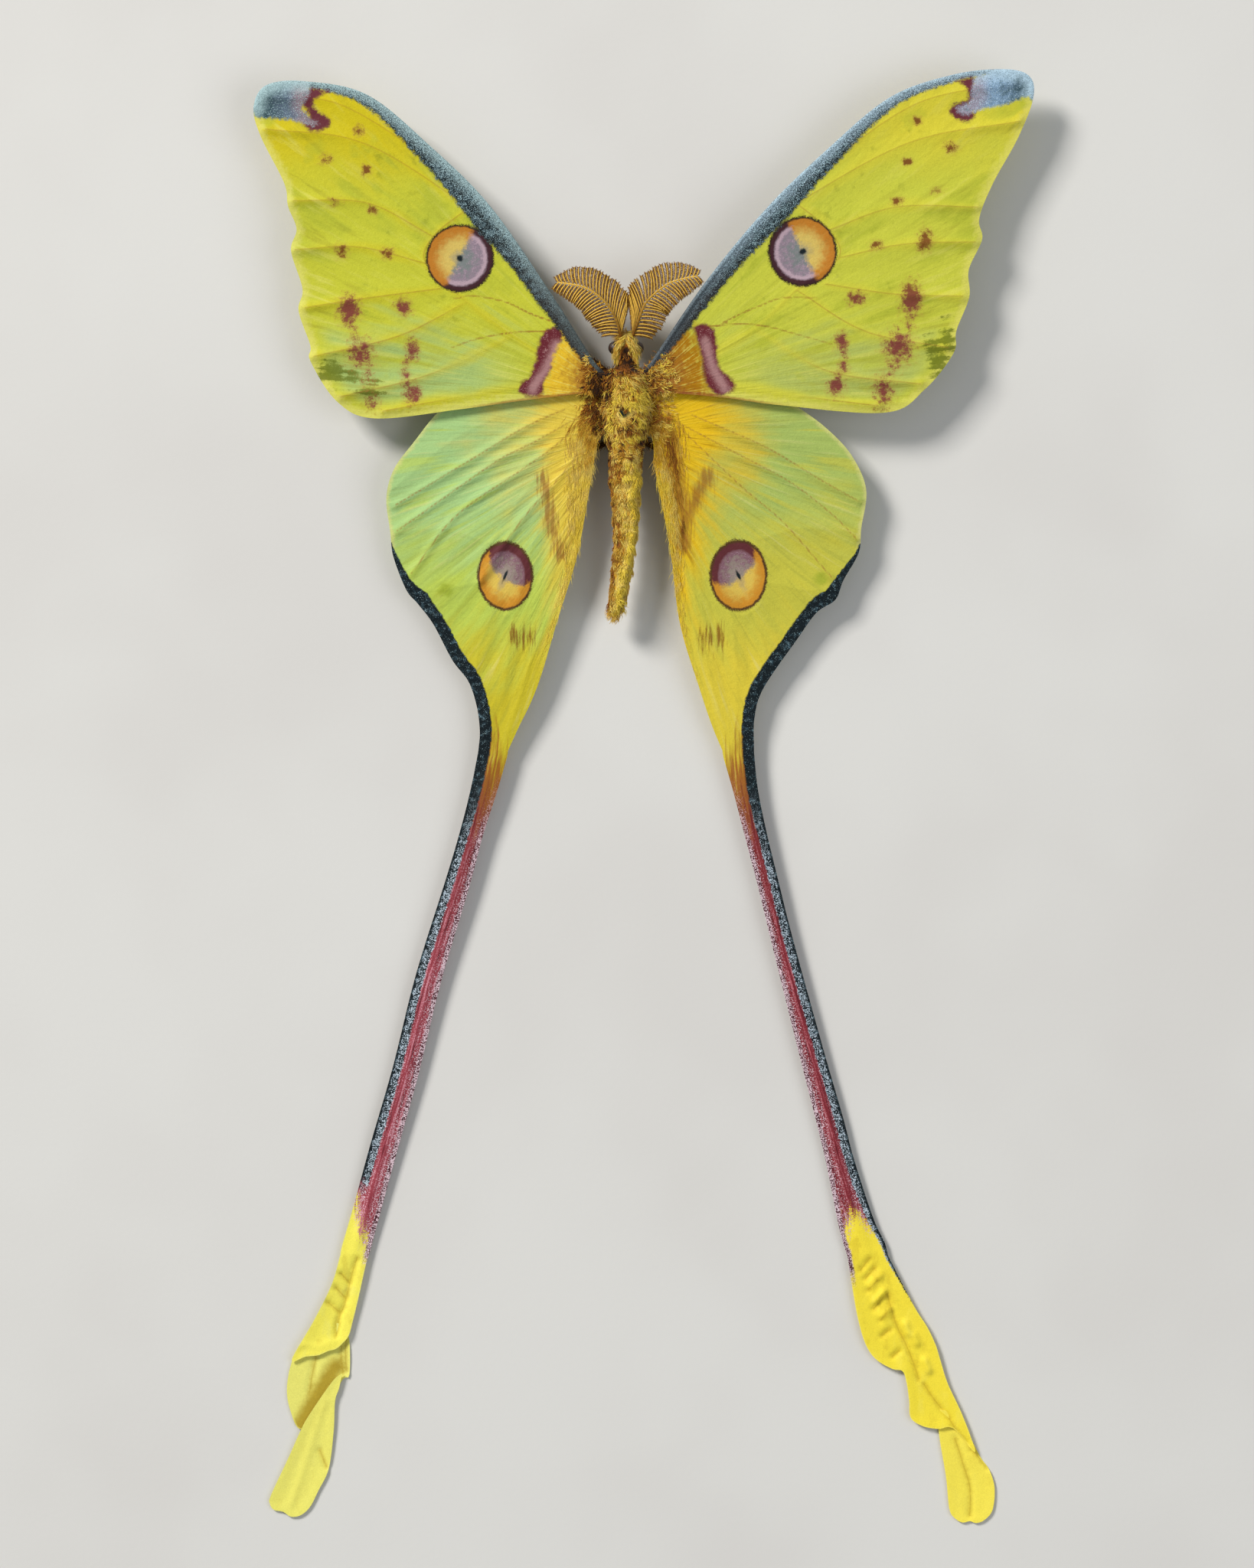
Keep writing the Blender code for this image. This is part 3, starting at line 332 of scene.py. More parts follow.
def screen(red: float, green: float, blue: float) -> Colour:
    """Linear colour for screen parts that run from 0 to 255."""
    parts = [part / 255 for part in (red, green, blue)]
    return (*(p / 12.92 if p <= 0.04045 else ((p + 0.055) / 1.055) ** 2.4 for p in parts), 1.0)


def unit(vectors: Array) -> Array:
    """The vectors, each at length one."""
    return vectors / np.maximum(np.linalg.norm(vectors, axis=-1, keepdims=True), 1e-9)


def fade(values: Array, start: float, end: float) -> Array:
    """A smooth rise from 0 at the start to 1 at the end, also where the end is the lower one."""
    share = np.clip((values - start) / (end - start), 0.0, 1.0)
    return share * share * (3 - 2 * share)


def hump(reach: Array, width: float) -> Array:
    """A rounded ridge over a line, 1 on it and gone beyond about twice the width."""
    return np.exp(-((reach / width) ** 2))


def smooth_line(points: Sequence[Sequence[float]] | Array, step: float) -> Array:
    """Points about one step apart on a smooth curve through the given ones.

    Args:
        points: places in two or more dimensions.
        step: distance between the points of the result.

    Returns:
        The curve's points, the given ends included.
    """
    given = np.asarray(points, float)
    row = np.vstack((2 * given[0] - given[1], given, 2 * given[-1] - given[-2]))
    runs = []
    for before, start, end, after in zip(row, row[1:], row[2:], row[3:]):
        count = max(1, round(float(np.linalg.norm(end - start)) / step))
        t = (np.arange(count) / count)[:, None]
        runs.append(
            start * (2 * t**3 - 3 * t**2 + 1)
            + (end - before) / 2 * (t**3 - 2 * t**2 + t)
            + end * (3 * t**2 - 2 * t**3)
            + (after - start) / 2 * (t**3 - t**2)
        )
    return np.vstack((*runs, given[-1:]))


def measure(places: Array, line: Array) -> tuple[Array, Array]:
    """How far flat places are from a line.

    Args:
        places: the places, as rows of x and y.
        line: the line's points, as rows of x and y.

    Returns:
        The distance of each place, and how far along the line, from 0 to 1, its nearest point is.
    """
    spans = np.diff(line, axis=0)
    lengths = np.maximum(np.linalg.norm(spans, axis=1), 1e-9)
    runs = np.concatenate(([0.0], np.cumsum(lengths)))
    nearest = np.full(len(places), np.inf)
    along = np.zeros(len(places))
    for start, span, length, run in zip(line, spans, lengths, runs):
        offset = places - start
        share = np.clip(offset @ span / length**2, 0.0, 1.0)
        gap = np.hypot(offset[:, 0] - share * span[0], offset[:, 1] - share * span[1])
        closer = gap < nearest
        nearest[closer] = gap[closer]
        along[closer] = run + share[closer] * length
    return nearest, along / runs[-1]


def distance(places: Array, line: Array) -> Array:
    """Distance from each flat place to a line."""
    return measure(places, line)[0]


def rim_distance(places: Array, rim: Array) -> Array:
    """Distance from each flat place to an outline that closes on itself."""
    return distance(places, np.vstack((rim, rim[:1])))


def distance_to(places: Array, lines: Sequence[Line], step: float) -> Array:
    """Distance from each flat place to the nearest of some lines, smoothed with the given step."""
    return np.min([distance(places, smooth_line(line, step)) for line in lines], axis=0)


def along_line(line: Array, shares: Array | Sequence[float]) -> Array:
    """Places on a line at shares of its points, from 0 to 1."""
    run = np.linspace(0, 1, len(line))
    return np.column_stack([np.interp(shares, run, column) for column in line.T])


def inside(places: Array, rim: Array) -> Array:
    """Whether each flat place lies within a closed outline.

    Args:
        places: rows of x and y.
        rim: the outline's points in order.

    Returns:
        True for each place inside.
    """
    found = np.zeros(len(places), bool)
    x, y = places[:, 0], places[:, 1]
    for (x0, y0), (x1, y1) in zip(rim, np.roll(rim, -1, axis=0)):
        if y0 != y1:
            crosses = (y0 > y) != (y1 > y)
            found ^= crosses & (x < x0 + (y - y0) * (x1 - x0) / (y1 - y0))
    return found


def patch_depth(places: Array, corners: Sequence[Sequence[float]]) -> Array:
    """How deep each place lies in a patch with smooth edges, below zero outside it.

    Args:
        places: rows of x and y.
        corners: points of the patch's outline.

    Returns:
        The depth in millimetres.
    """
    rim = smooth_line([*corners, corners[0]], 0.8)
    reach = distance(places, rim)
    return np.where(inside(places, rim[:-1]), reach, -reach)


def beside(line: Array, offset: float) -> Array:
    """The line moved sideways by an offset."""
    along = unit(np.gradient(line, axis=0))
    return line + np.column_stack((-along[:, 1], along[:, 0])) * offset


def cleared(line: Array, rim: Array, clear: float) -> list[Array]:
    """The runs of a line that lie within a rim and clear of it.

    Args:
        line: the line's points.
        rim: the closed outline.
        clear: the least distance from it.

    Returns:
        The runs, each of two points or more.
    """
    good = inside(line, rim) & (rim_distance(line, rim) > clear)
    cuts = np.flatnonzero(np.diff(good)) + 1
    runs = zip(np.split(line, cuts), np.split(good, cuts))
    return [run for run, kept in runs if kept[0] and len(run) > 1]


@dataclass
class Shell:
    """A closed surface: points in millimetres, triangles, values of each point, flat triangles."""

    points: Array
    triangles: Array
    values: dict[str, Array] = field(default_factory=dict)
    flat: Array | None = None

    def __post_init__(self) -> None:
        """Makes every triangle smooth where nothing else is said."""
        if self.flat is None:
            self.flat = np.zeros(len(self.triangles), bool)

    @staticmethod
    def joined(shells: Sequence["Shell"]) -> "Shell":
        """Joins several surfaces.

        Args:
            shells: the surfaces.

        Returns:
            The whole, with nought for a value that a surface lacks.
        """
        starts = np.cumsum([0, *(len(shell.points) for shell in shells)])
        values = {}
        for name in sorted({name for shell in shells for name in shell.values}):
            numbers = [shell.values.get(name, np.zeros(len(shell.points))) for shell in shells]
            values[name] = np.concatenate(numbers)
        return Shell(
            np.vstack([shell.points for shell in shells]),
            np.vstack([shell.triangles + start for shell, start in zip(shells, starts)]),
            values,
            np.concatenate([shell.flat for shell in shells]),
        )

    def build(self, name: str, finish: bpy.types.Material, slot: Slot, nodes: Sequence[str] = ()) -> None:
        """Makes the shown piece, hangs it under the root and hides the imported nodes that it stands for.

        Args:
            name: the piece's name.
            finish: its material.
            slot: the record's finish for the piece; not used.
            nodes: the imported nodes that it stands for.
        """
        mesh = bpy.data.meshes.new(name)
        count = len(self.triangles)
        mesh.vertices.add(len(self.points))
        mesh.vertices.foreach_set("co", (self.points * MM).ravel())
        mesh.loops.add(count * 3)
        mesh.loops.foreach_set("vertex_index", self.triangles.ravel().astype(np.int32))
        mesh.polygons.add(count)
        mesh.polygons.foreach_set("loop_start", np.arange(0, count * 3, 3, dtype=np.int32))
        mesh.update(calc_edges=True)
        mesh.polygons.foreach_set("use_smooth", ~self.flat)
        edges = np.empty(count * 3, np.int32)
        mesh.loops.foreach_get("edge_index", edges)
        sharp = np.zeros(len(mesh.edges), bool)
        sharp[edges[np.repeat(self.flat, 3)]] = True
        mesh.edges.foreach_set("use_edge_sharp", sharp)
        values = dict(self.values)
        if "patch_u" in values:
            places = np.column_stack((values.pop("patch_u"), values.pop("patch_v")))
            layer = mesh.uv_layers.new(name="OFBake")
            layer.uv.foreach_set("vector", places[self.triangles.ravel()].ravel())
        for key, numbers in values.items():
            mesh.attributes.new(key, "FLOAT", "POINT").data.foreach_set("value", numbers)
        mesh.materials.append(finish)
        mesh.validate()
        mesh.update()
        piece = bpy.data.objects.new(name, mesh)
        bpy.context.scene.collection.objects.link(piece)
        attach(piece, "root")
        if nodes:
            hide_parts(*nodes)
        logging.info("%s: %d triangles", name, count)


@dataclass
class Sheet:
    """A flat net of triangles that becomes a thin membrane."""

    places: Array
    triangles: Array

    @classmethod
    def within(cls, rim: Array, guides: Sequence[Array], cell: float) -> "Sheet":
        """An even net inside a rim.

        Args:
            rim: the closed outline.
            guides: lines that the net's edges follow, such as veins.
            cell: spacing of the net's points.

        Returns:
            The net.
        """
        low, high = rim.min(axis=0), rim.max(axis=0)
        rows = np.arange(low[1], high[1], cell * ROW_SHARE)
        columns = np.arange(low[0], high[0], cell)
        x, y = np.meshgrid(columns, rows)
        x = x + np.where(np.arange(len(rows)) % 2, cell / 2, 0.0)[:, None]
        spread = np.column_stack((x.ravel(), y.ravel()))
        spread = spread[inside(spread, rim)]
        spread = spread[rim_distance(spread, rim) > cell * RIM_SHARE]
        lines = [run for guide in guides for run in cleared(guide, rim, cell * GUIDE_SHARE)]
        for line in lines:
            spread = spread[distance(spread, line) > cell * LINE_SHARE]
        edges, start = [], len(rim)
        for line in lines:
            edges += [(start + i, start + i + 1) for i in range(len(line) - 1)]
            start += len(line)
        corners = [Vector(place) for place in np.vstack((rim, *lines, spread))]
        found = delaunay_2d_cdt(corners, edges, [list(range(len(rim)))], 1, 1e-4)
        return cls(np.array([tuple(place) for place in found[0]]), np.array(found[2]))

    def part(self, keep: Array) -> "Sheet":
        """Cuts the net down.

        Args:
            keep: whether each triangle stays.

        Returns:
            The smaller net.
        """
        triangles = self.triangles[keep]
        used, numbers = np.unique(triangles, return_inverse=True)
        return Sheet(self.places[used], numbers.reshape(-1, 3))

    def middles(self) -> Array:
        """The middle of each triangle."""
        return self.places[self.triangles].mean(axis=1)

    def closed(self, level: Array, thickness: Array | float, values: dict[str, Array]) -> Shell:
        """A membrane that stays clear of the floor.

        Args:
            level: height of the membrane's middle at each point.
            thickness: its thickness, at each point or everywhere.
            values: what the finish reads at each point.

        Returns:
            The closed surface, with its side walls flat.
        """
        count, half = len(self.places), thickness / 2
        level = np.maximum(level, half + FLOOR_GAP)
        top = np.column_stack((self.places, level + half))
        bottom = np.column_stack((self.places, level - half))
        sides = np.vstack([self.triangles[:, pair] for pair in ((0, 1), (1, 2), (2, 0))])
        one_way = sides[:, 0].astype(np.int64) * count + sides[:, 1]
        other_way = sides[:, 1].astype(np.int64) * count + sides[:, 0]
        a, b = sides[~np.isin(one_way, other_way)].T
        walls = np.vstack((np.column_stack((b, a, a + count)), np.column_stack((b, a + count, b + count))))
        triangles = np.vstack((self.triangles, self.triangles[:, ::-1] + count, walls))
        flat = np.zeros(len(triangles), bool)
        flat[2 * len(self.triangles):] = True
        return Shell(np.vstack((top, bottom)), triangles, {k: np.tile(v, 2) for k, v in values.items()}, flat)


def strands(paths: Array, widths: Array, thicknesses: Array, ups: Array, sides: int) -> Shell:
    """Closed tapered strands, each along its own path.

    Args:
        paths: places of each strand's rings, as strand, ring and x, y, z.
        widths: full width at each ring, as strand and ring, or one row for all strands.
        thicknesses: full thickness at each ring, likewise.
        ups: the way that each strand's flat side faces, or one row for all.
        sides: corners of a ring.

    Returns:
        All strands as one surface, with the value "tip" from 0 at a root to 1 at an end.
    """
    count, rings = paths.shape[:2]
    along = np.gradient(paths, axis=1)
    across = unit(np.cross(along, ups[:, None, :]))
    lift = unit(np.cross(across, along))
    turns = 2 * math.pi * (np.arange(sides) + 0.25) / sides
    out = across[:, :, None, :] * (np.cos(turns)[:, None] * widths[:, :, None, None] / 2)
    out = out + lift[:, :, None, :] * (np.sin(turns)[:, None] * thicknesses[:, :, None, None] / 2)
    points = (paths[:, :, None, :] + out).reshape(-1, 3)
    one = []
    for ring in range(rings - 1):
        for side in range(sides):
            low, next_low = ring * sides + side, ring * sides + (side + 1) % sides
            one += [(low, next_low, next_low + sides), (low, next_low + sides, low + sides)]
    last = (rings - 1) * sides
    for side in range(1, sides - 1):
        one += [(0, side + 1, side), (last, last + side, last + side + 1)]
    one = np.array(one)[:, ::-1]
    triangles = (one[None] + (np.arange(count) * rings * sides)[:, None, None]).reshape(-1, 3)
    tip = np.tile(np.repeat(np.linspace(0, 1, rings), sides), count)
    return Shell(points, triangles, {"tip": tip})


def tube(path: Array, radii: Array, sides: int) -> Shell:
    """A round closed tube along one path."""
    size = 2 * radii[None]
    return strands(path[None], size, size, UP, sides)


class Value:
    """A shader socket that takes part in Python expressions."""

    def __init__(self, graph: "Graph", socket: bpy.types.NodeSocket) -> None:
        """Keeps the socket and the graph that it belongs to."""
        self.graph = graph
        self.socket = socket

    def math(self, operation: str, *terms: "Value | float") -> "Value":
        """The result of a Math node on the terms."""
        made = self.graph.node("ShaderNodeMath", {"operation": operation}, dict(enumerate(terms)))
        return Value(self.graph, made.outputs[0])

    def __add__(self, other: "Value | float") -> "Value":
        """This plus the other."""
        return self.math("ADD", self, other)

    def __sub__(self, other: "Value | float") -> "Value":
        """This minus the other."""
        return self.math("SUBTRACT", self, other)

    def __rsub__(self, other: float) -> "Value":
        """The other minus this."""
        return self.math("SUBTRACT", other, self)

    def __mul__(self, other: "Value | float") -> "Value":
        """This times the other."""
        return self.math("MULTIPLY", self, other)

    def __truediv__(self, other: "Value | float") -> "Value":
        """This divided by the other."""
        return self.math("DIVIDE", self, other)

    def __pow__(self, other: float) -> "Value":
        """This to the power of the other."""
        return self.math("POWER", self, other)

    def __abs__(self) -> "Value":
        """This without its sign."""
        return self.math("ABSOLUTE", self)

    def at_most(self, other: "Value | float") -> "Value":
        """The smaller of this and the other."""
        return self.math("MINIMUM", self, other)

    __radd__ = __add__
    __rmul__ = __mul__


Paint = Colour | bpy.types.NodeSocket


class Graph:
    """The node tree of one finish, written as Python expressions."""

    def __init__(self, name: str, sheen: float = 0.0) -> None:
        """Starts a finish with one shader.

        Args:
            name: the material's name.
            sheen: the shader's sheen, the same all over.
        """
        self.material = bpy.data.materials.new(name)
        self.material.use_nodes = True
        self.shader = self.material.node_tree.nodes["Principled BSDF"]
        self.shader.inputs["Sheen Weight"].default_value = sheen
        self.shader.inputs["Specular IOR Level"].default_value = DRY_GLOSS
        spot = self.node("ShaderNodeTexCoord").outputs["Object"]
        self.spot = self.node("ShaderNodeVectorMath", {"operation": "SCALE"}, {0: spot, "Scale": 1 / MM})
        split = self.node("ShaderNodeSeparateXYZ", {}, {0: self.spot.outputs[0]})
        self.x, self.y, self.z = (Value(self, socket) for socket in split.outputs)
        self.noises: dict[tuple[float, float, Place | None], Value] = {}
        self.fields: dict[str, Value] = {}

    def node(self, kind: str, settings: dict[str, object] | None = None,
             sockets: dict[str | int, object] | None = None) -> bpy.types.Node:
        """Adds a node.

        Args:
            kind: the node's type.
            settings: its settings, set first; "stops" are a ramp's places and colours.
            sockets: values or links for its inputs, by name or number.

        Returns:
            The node.
        """
        made = self.material.node_tree.nodes.new(kind)
        for key, setting in (settings or {}).items():
            if key != "stops":
                setattr(made, key, setting)
                continue
            ramp = made.color_ramp
            while len(ramp.elements) < len(setting):
                ramp.elements.new(1.0)
            for element, (place, colour) in zip(ramp.elements, setting):
                element.position = place
                element.color = colour
        for key, content in (sockets or {}).items():
            self.feed(made.inputs[key], content)
        return made

    def feed(self, socket: bpy.types.NodeSocket, content: "Value | Paint | float") -> None:
        """Links a value or colour to a socket, or sets it there when it is fixed.

        Args:
            socket: the input.
            content: what it takes.
        """
        if isinstance(content, Value):
            content = content.socket
        if isinstance(content, bpy.types.NodeSocket):
            self.material.node_tree.links.new(content, socket)
        else:
            socket.default_value = content

    def read(self, name: str) -> Value:
        """Reads a value of the mesh's points.

        Args:
            name: the name under which the mesh carries it.

        Returns:
            The value.
        """
        if name not in self.fields:
            made = self.node("ShaderNodeAttribute", {"attribute_name": name})
            self.fields[name] = Value(self, made.outputs["Fac"])
        return self.fields[name]

    def noise(self, scale: float, detail: float = 2.0, stretch: Place | None = None) -> Value:
        """Soft noise about 0.5.

        Args:
            scale: spots for each millimetre.
            detail: finer layers on top.
            stretch: factors for x, y and z that draw the spots out into streaks.

        Returns:
            The noise.
        """
        key = (scale, detail, stretch)
        if key not in self.noises:
            place = self.spot.outputs[0]
            if stretch is not None:
                settings = {"operation": "MULTIPLY"}
                place = self.node("ShaderNodeVectorMath", settings, {0: place, 1: stretch}).outputs[0]
            self.noises[key] = self.cloud(place, scale, detail)
        return self.noises[key]

    def cloud(self, place: bpy.types.NodeSocket, scale: float, detail: float) -> Value:
        """Soft noise about 0.5 over the places that a socket gives."""
        sockets = {"Vector": place, "Scale": scale, "Detail": detail, "Roughness": NOISE_ROUGHNESS}
        return Value(self, self.node("ShaderNodeTexNoise", {}, sockets).outputs[0])

    def grain(self, across: Value, along: Value, scale: float, detail: float) -> Value:
        """Soft noise about 0.5 in the plane of two values."""
        plane = self.node("ShaderNodeCombineXYZ", {}, {0: across, 1: along})
        return self.cloud(plane.outputs[0], scale, detail)

    def fibres(self, scale: float, detail: float = 3.0, stretch: float = 14.0) -> Value:
        """Soft noise about 0.5 drawn out along the wing's rays, from the values sweep and root."""
        return self.grain(self.read("sweep"), self.read("root") / stretch, scale, detail)

    def step(self, value: Value, start: float, end: float) -> Value:
        """A smooth change between two places of a value.

        Args:
            value: what changes.
            start: where the result is 0.
            end: where it is 1.

        Returns:
            The result, from 0 to 1.
        """
        sockets = {"Value": value, "From Min": start, "From Max": end}
        made = self.node("ShaderNodeMapRange", {"interpolation_type": "SMOOTHSTEP"}, sockets)
        return Value(self, made.outputs[0])

    def paint(self, below: Paint, above: Paint, mask: Value | float) -> bpy.types.NodeSocket:
        """One colour laid over another where the mask is 1."""
        return self.node("ShaderNodeMix", {"data_type": "RGBA"}, {0: mask, 6: below, 7: above}).outputs[2]

    def layers(self, colour: Paint, *above: tuple[Paint, "Value | float"]) -> Paint:
        """Lays colours over one another.

        Args:
            colour: the lowest colour.
            above: each further colour with its mask, from the lowest to the highest.

        Returns:
            The colour of the whole.
        """
        for layer, mask in above:
            colour = self.paint(colour, layer, mask)
        return colour

    def shade(self, colour: Paint, light: Value) -> bpy.types.NodeSocket:
        """A colour made lighter or darker by a factor."""
        settings = {"operation": "SCALE"}
        return self.node("ShaderNodeVectorMath", settings, {0: colour, "Scale": light}).outputs[0]

    def ramp(self, value: Value, stops: Sequence[tuple[float, Colour]]) -> bpy.types.NodeSocket:
        """The colour at a value's place on a ramp."""
        return self.node("ShaderNodeValToRGB", {"stops": stops}, {0: value}).outputs[0]

    @property
    def ragged(self) -> Value:
        """Noise about nought that breaks the edges of markings."""
        return self.noise(1.0, 3.0) - 0.5

    @property
    def scales(self) -> Value:
        """Finer noise about nought, from scale to scale."""
        return self.noise(4.2, 2.0) - 0.5

    def scaled(self, colour: Paint) -> bpy.types.NodeSocket:
        """A wing's colour, a little lighter or darker from scale to scale."""
        return self.shade(colour, 1.0 + self.scales * 0.32 + self.ragged * 0.08)

    def finish(self, colour: Paint, roughness: Value | float, height: Value,
               depth: float) -> bpy.types.Material:
        """Feeds the shader.

        Args:
            colour: the surface's colour.
            roughness: its roughness.
            height: relief from 0 to 1.
            depth: how high 1 stands, in millimetres.

        Returns:
            The finished material.
        """
        self.feed(self.shader.inputs["Base Color"], colour)
        self.feed(self.shader.inputs["Roughness"], roughness)
        bump = self.node("ShaderNodeBump", {}, {"Strength": 1.0, "Distance": depth * MM, "Height": height})
        self.feed(self.shader.inputs["Normal"], bump.outputs[0])
        return self.material


@dataclass(frozen=True)
class EyespotFinish:
    """Colours of a ringed eyespot, half bright and half dull."""

    outline: Colour = screen(52, 34, 26)
    orange: Colour = screen(190, 122, 40)
    yellow: Colour = screen(214, 186, 96)
    maroon: Colour = screen(66, 36, 42)
    arc: Colour = screen(186, 160, 170)
    mauve: Colour = screen(146, 128, 140)
    grey: Colour = screen(124, 130, 128)
    pupil: Colour = screen(24, 34, 38)
    pupil_length: float = 0.11
    pupil_width: float = 0.09
    split: float = 0.02
    wrap: float = 0.0
    arc_share: float = 0.9
    rim: float = 0.9
    ring: float = 0.14

    def lay(self, g: Graph, colour: Paint) -> Paint:
        """Lays the eyespot over a colour, from the values eye_ahead and eye_aside.

        Args:
            g: the graph to build in.
            colour: the wing's colour.

        Returns:
            The colour with the eyespot.
        """
        ahead, aside, ragged, scales = g.read("eye_ahead"), g.read("eye_aside"), g.ragged, g.scales
        edge = (ahead * ahead + aside * aside) ** 0.5 + ragged * 0.10 + scales * 0.05
        ring = self.rim - self.ring
        bright = g.paint(self.yellow, self.orange, g.step(edge + ragged * 0.3, 0.4, 0.84))
        front = ahead + edge**3 * self.wrap + ragged * 0.3 + scales * 0.14
        slit = ((ahead / self.pupil_length) ** 2 + (aside / self.pupil_width) ** 2) ** 0.5
        spot = g.layers(
            self.grey,
            (self.mauve, g.step(edge + ragged * 1.2, 0.1, 0.7)),
            (self.arc, g.step(scales + ragged, 0.05, 0.3) * 0.5),
            (self.arc, g.step(abs(edge - 0.75), 0.10, 0.02) * self.arc_share),
            (self.maroon, g.step(edge, ring, ring + 0.1)),
            (bright, g.step(front, self.split - 0.1, self.split + 0.1)),
            (self.grey, g.step(slit + ragged * 3, 3.4, 1.0) * 0.5),
            (self.pupil, g.step(slit + ragged * 1.2, 1.3, 0.5)),
            (self.outline, g.step(edge, self.rim, self.rim + 0.06)),
        )
        return g.paint(colour, spot, g.step(edge + scales * 0.1, 1.04, 0.96))


@dataclass(frozen=True)
class ScaleBand:
    """Blue-black edge band with pale speckles, as on costa, hindwing margin and tails."""

    dark: Colour = screen(18, 28, 32)
    slate: Colour = screen(52, 74, 84)
    pale: Colour = screen(176, 204, 208)

    def mix(self, g: Graph, share: float) -> Paint:
        """The band's speckled colour.

        Args:
            g: the graph to build in.
            share: how much of it the pale scales take up, from 0 to 1.

        Returns:
            The colour.
        """
        middle = 0.5 + (0.5 - share) * 0.36
        cloud = g.noise(1.0, 3.0)
        grain = g.noise(6.0, 1.0) + (cloud - 0.5) * 0.3
        return g.layers(
            self.dark,
            (self.slate, g.step(cloud, middle - 0.08, middle + 0.16)),
            (self.pale, g.step(grain, middle + 0.06, middle + 0.2) * 0.8),
        )


@dataclass(frozen=True)
class ForewingFinish:
    """Yellow scales with spots, costa band, basal band and the hooked grey patch at the apex."""

    deep: Colour = screen(208, 190, 26)
    lemon: Colour = screen(197, 198, 56)
    leaf: Colour = screen(178, 184, 54)
    mint: Colour = screen(162, 190, 116)
    cream: Colour = screen(226, 220, 118)
    shade: Colour = screen(150, 142, 38)
    base: Colour = screen(230, 188, 44)
    vein: Colour = screen(150, 84, 44)
    spot: Colour = screen(128, 58, 56)
    spot_brown: Colour = screen(122, 72, 30)
    haze: Colour = screen(168, 122, 62)
    olive: Colour = screen(100, 110, 22)
    basal: Colour = screen(104, 38, 46)
    lavender: Colour = screen(186, 142, 140)
    fringe: Colour = screen(146, 84, 40)
    root: Colour = screen(40, 28, 20)
    apex: Colour = screen(108, 122, 142)
    apex_dark: Colour = screen(44, 72, 76)
    hook: Colour = screen(104, 48, 56)
    # Pale scales, and the painted highlight along the front edge
    costa_light: Colour = screen(190, 220, 222)
    eyespot: EyespotFinish = EyespotFinish()
    band: ScaleBand = ScaleBand()

    def field(self, g: Graph, fold: Value) -> Paint:
        """Colour of the wing before its markings, with painted highlight and shade along the folds.

        Args:
            g: the graph to build in.
            fold: noise about 0.5 drawn out along the folds.

        Returns:
            The colour.
        """
        drift = g.noise(0.07, 3.0) - 0.5
        broad = g.fibres(0.32, 3.0, 10.0) - 0.5
        root, margin, vein = g.read("root"), g.read("margin"), g.read("vein")
        minty = g.step(g.y + drift * 16 + broad * 34, 99, 84) * g.step(root, 15, 30)
        minty = minty * g.step(margin + drift * 6, 1.0, 5.0)
        cloud = g.step(g.noise(0.14, 3.0) + broad * 0.3, 0.56, 0.68) * g.step(vein, 0.2, 1.4)
        smudge = g.step(g.noise(0.42, 3.0) + broad * 0.4, 0.6, 0.78) * g.step(margin, 8, 18)
        calm = 0.16 + g.step(margin, 16, 3) * 0.2
        return g.layers(
            self.lemon,
            (self.deep, g.step(g.y + drift * 22 + broad * 10, 118, 138)),
            (self.leaf, g.step(broad + drift * 0.5, 0.02, 0.16) * 0.75),
            (self.mint, minty * 0.85),
            (self.leaf, cloud * 0.4),
            (self.olive, smudge * 0.3),
            (self.deep, g.step(vein + drift * 4, 1.6, 0.0) * 0.4),
            # Painted highlight on the folds' crests in cream and painted shade in their troughs
            (self.cream, g.step(fold, 0.54, 0.7) * calm),
            (self.shade, g.step(fold, 0.46, 0.32) * calm),
            (self.cream, g.step(margin + g.ragged * 2.5, 2.2, 0.3) * 0.6),
        )

    def markings(self, g: Graph, fold: Value) -> Paint:
        """Colour of the wing with the markings that the front edge then overlaps.

        Args:
            g: the graph to build in.
            fold: noise about 0.5 drawn out along the folds.

        Returns:
            The colour.
        """
        ragged, scales, root, vein = g.ragged, g.scales, g.read("root"), g.read("vein")
        darkest = g.step(g.read("olive") + ragged * 1.4 + scales + (fold - 0.5) * 4, 0.1, 0.9)
        dots = g.step(ragged + scales, -0.1, 0.14) * g.step(root, 66, 26)
        base = g.layers(
            self.base,
            # Painted highlight on the golden base's folds; between them brown, partly the base's own speckle
            # and partly painted shade
            (self.cream, g.step(fold + ragged * 0.4, 0.5, 0.66) * 0.5),
            (self.fringe, g.step(fold + ragged * 0.3, 0.45, 0.28) * 0.35),
        )
        hem = g.step(g.read("margin") + ragged * 0.6, 0.7, 0.1) * g.step(root, 34, 22)
        basal = g.read("basal") + ragged * 1.6 + scales * 0.5
        band = g.layers(
            self.basal,
            (self.lavender, g.step(scales + ragged * 0.8 + basal * 0.05, 0.12, 0.36) * 0.6),
            (self.lavender, g.step(g.read("lavender") + ragged * 2 + scales * 2, 1.7, 0.0) * 0.75),
        )
        line = g.step(g.read("line") + ragged * 0.3, 0.3, 0.08) * (1.0 - root * 0.016)
        spot = g.read("spot") + ragged * 2.2
        dye = g.paint(self.spot, self.spot_brown, g.step(g.y + scales * 12, 98, 108))
        return g.layers(
            self.field(g, fold),
            (self.olive, darkest * 0.85),
            (self.vein, g.step(vein, 0.24, 0.05) * (0.25 + dots * 0.3) * g.step(root, 30, 42)),
            (base, g.step(root + ragged * 6, 17.5, 12)),
            (self.fringe, g.step(root + ragged * 9, 12, 5) * 0.8),
            (self.fringe, hem * 0.7),
            (band, g.step(basal, -0.5, 0.5)),
            (self.fringe, line),
            (self.haze, g.step(spot + scales * 1.8, 0.0, 0.9) * 0.5),
            (dye, g.step(spot + scales * 1.2, 0.45, 1.25) * 0.95),
        )

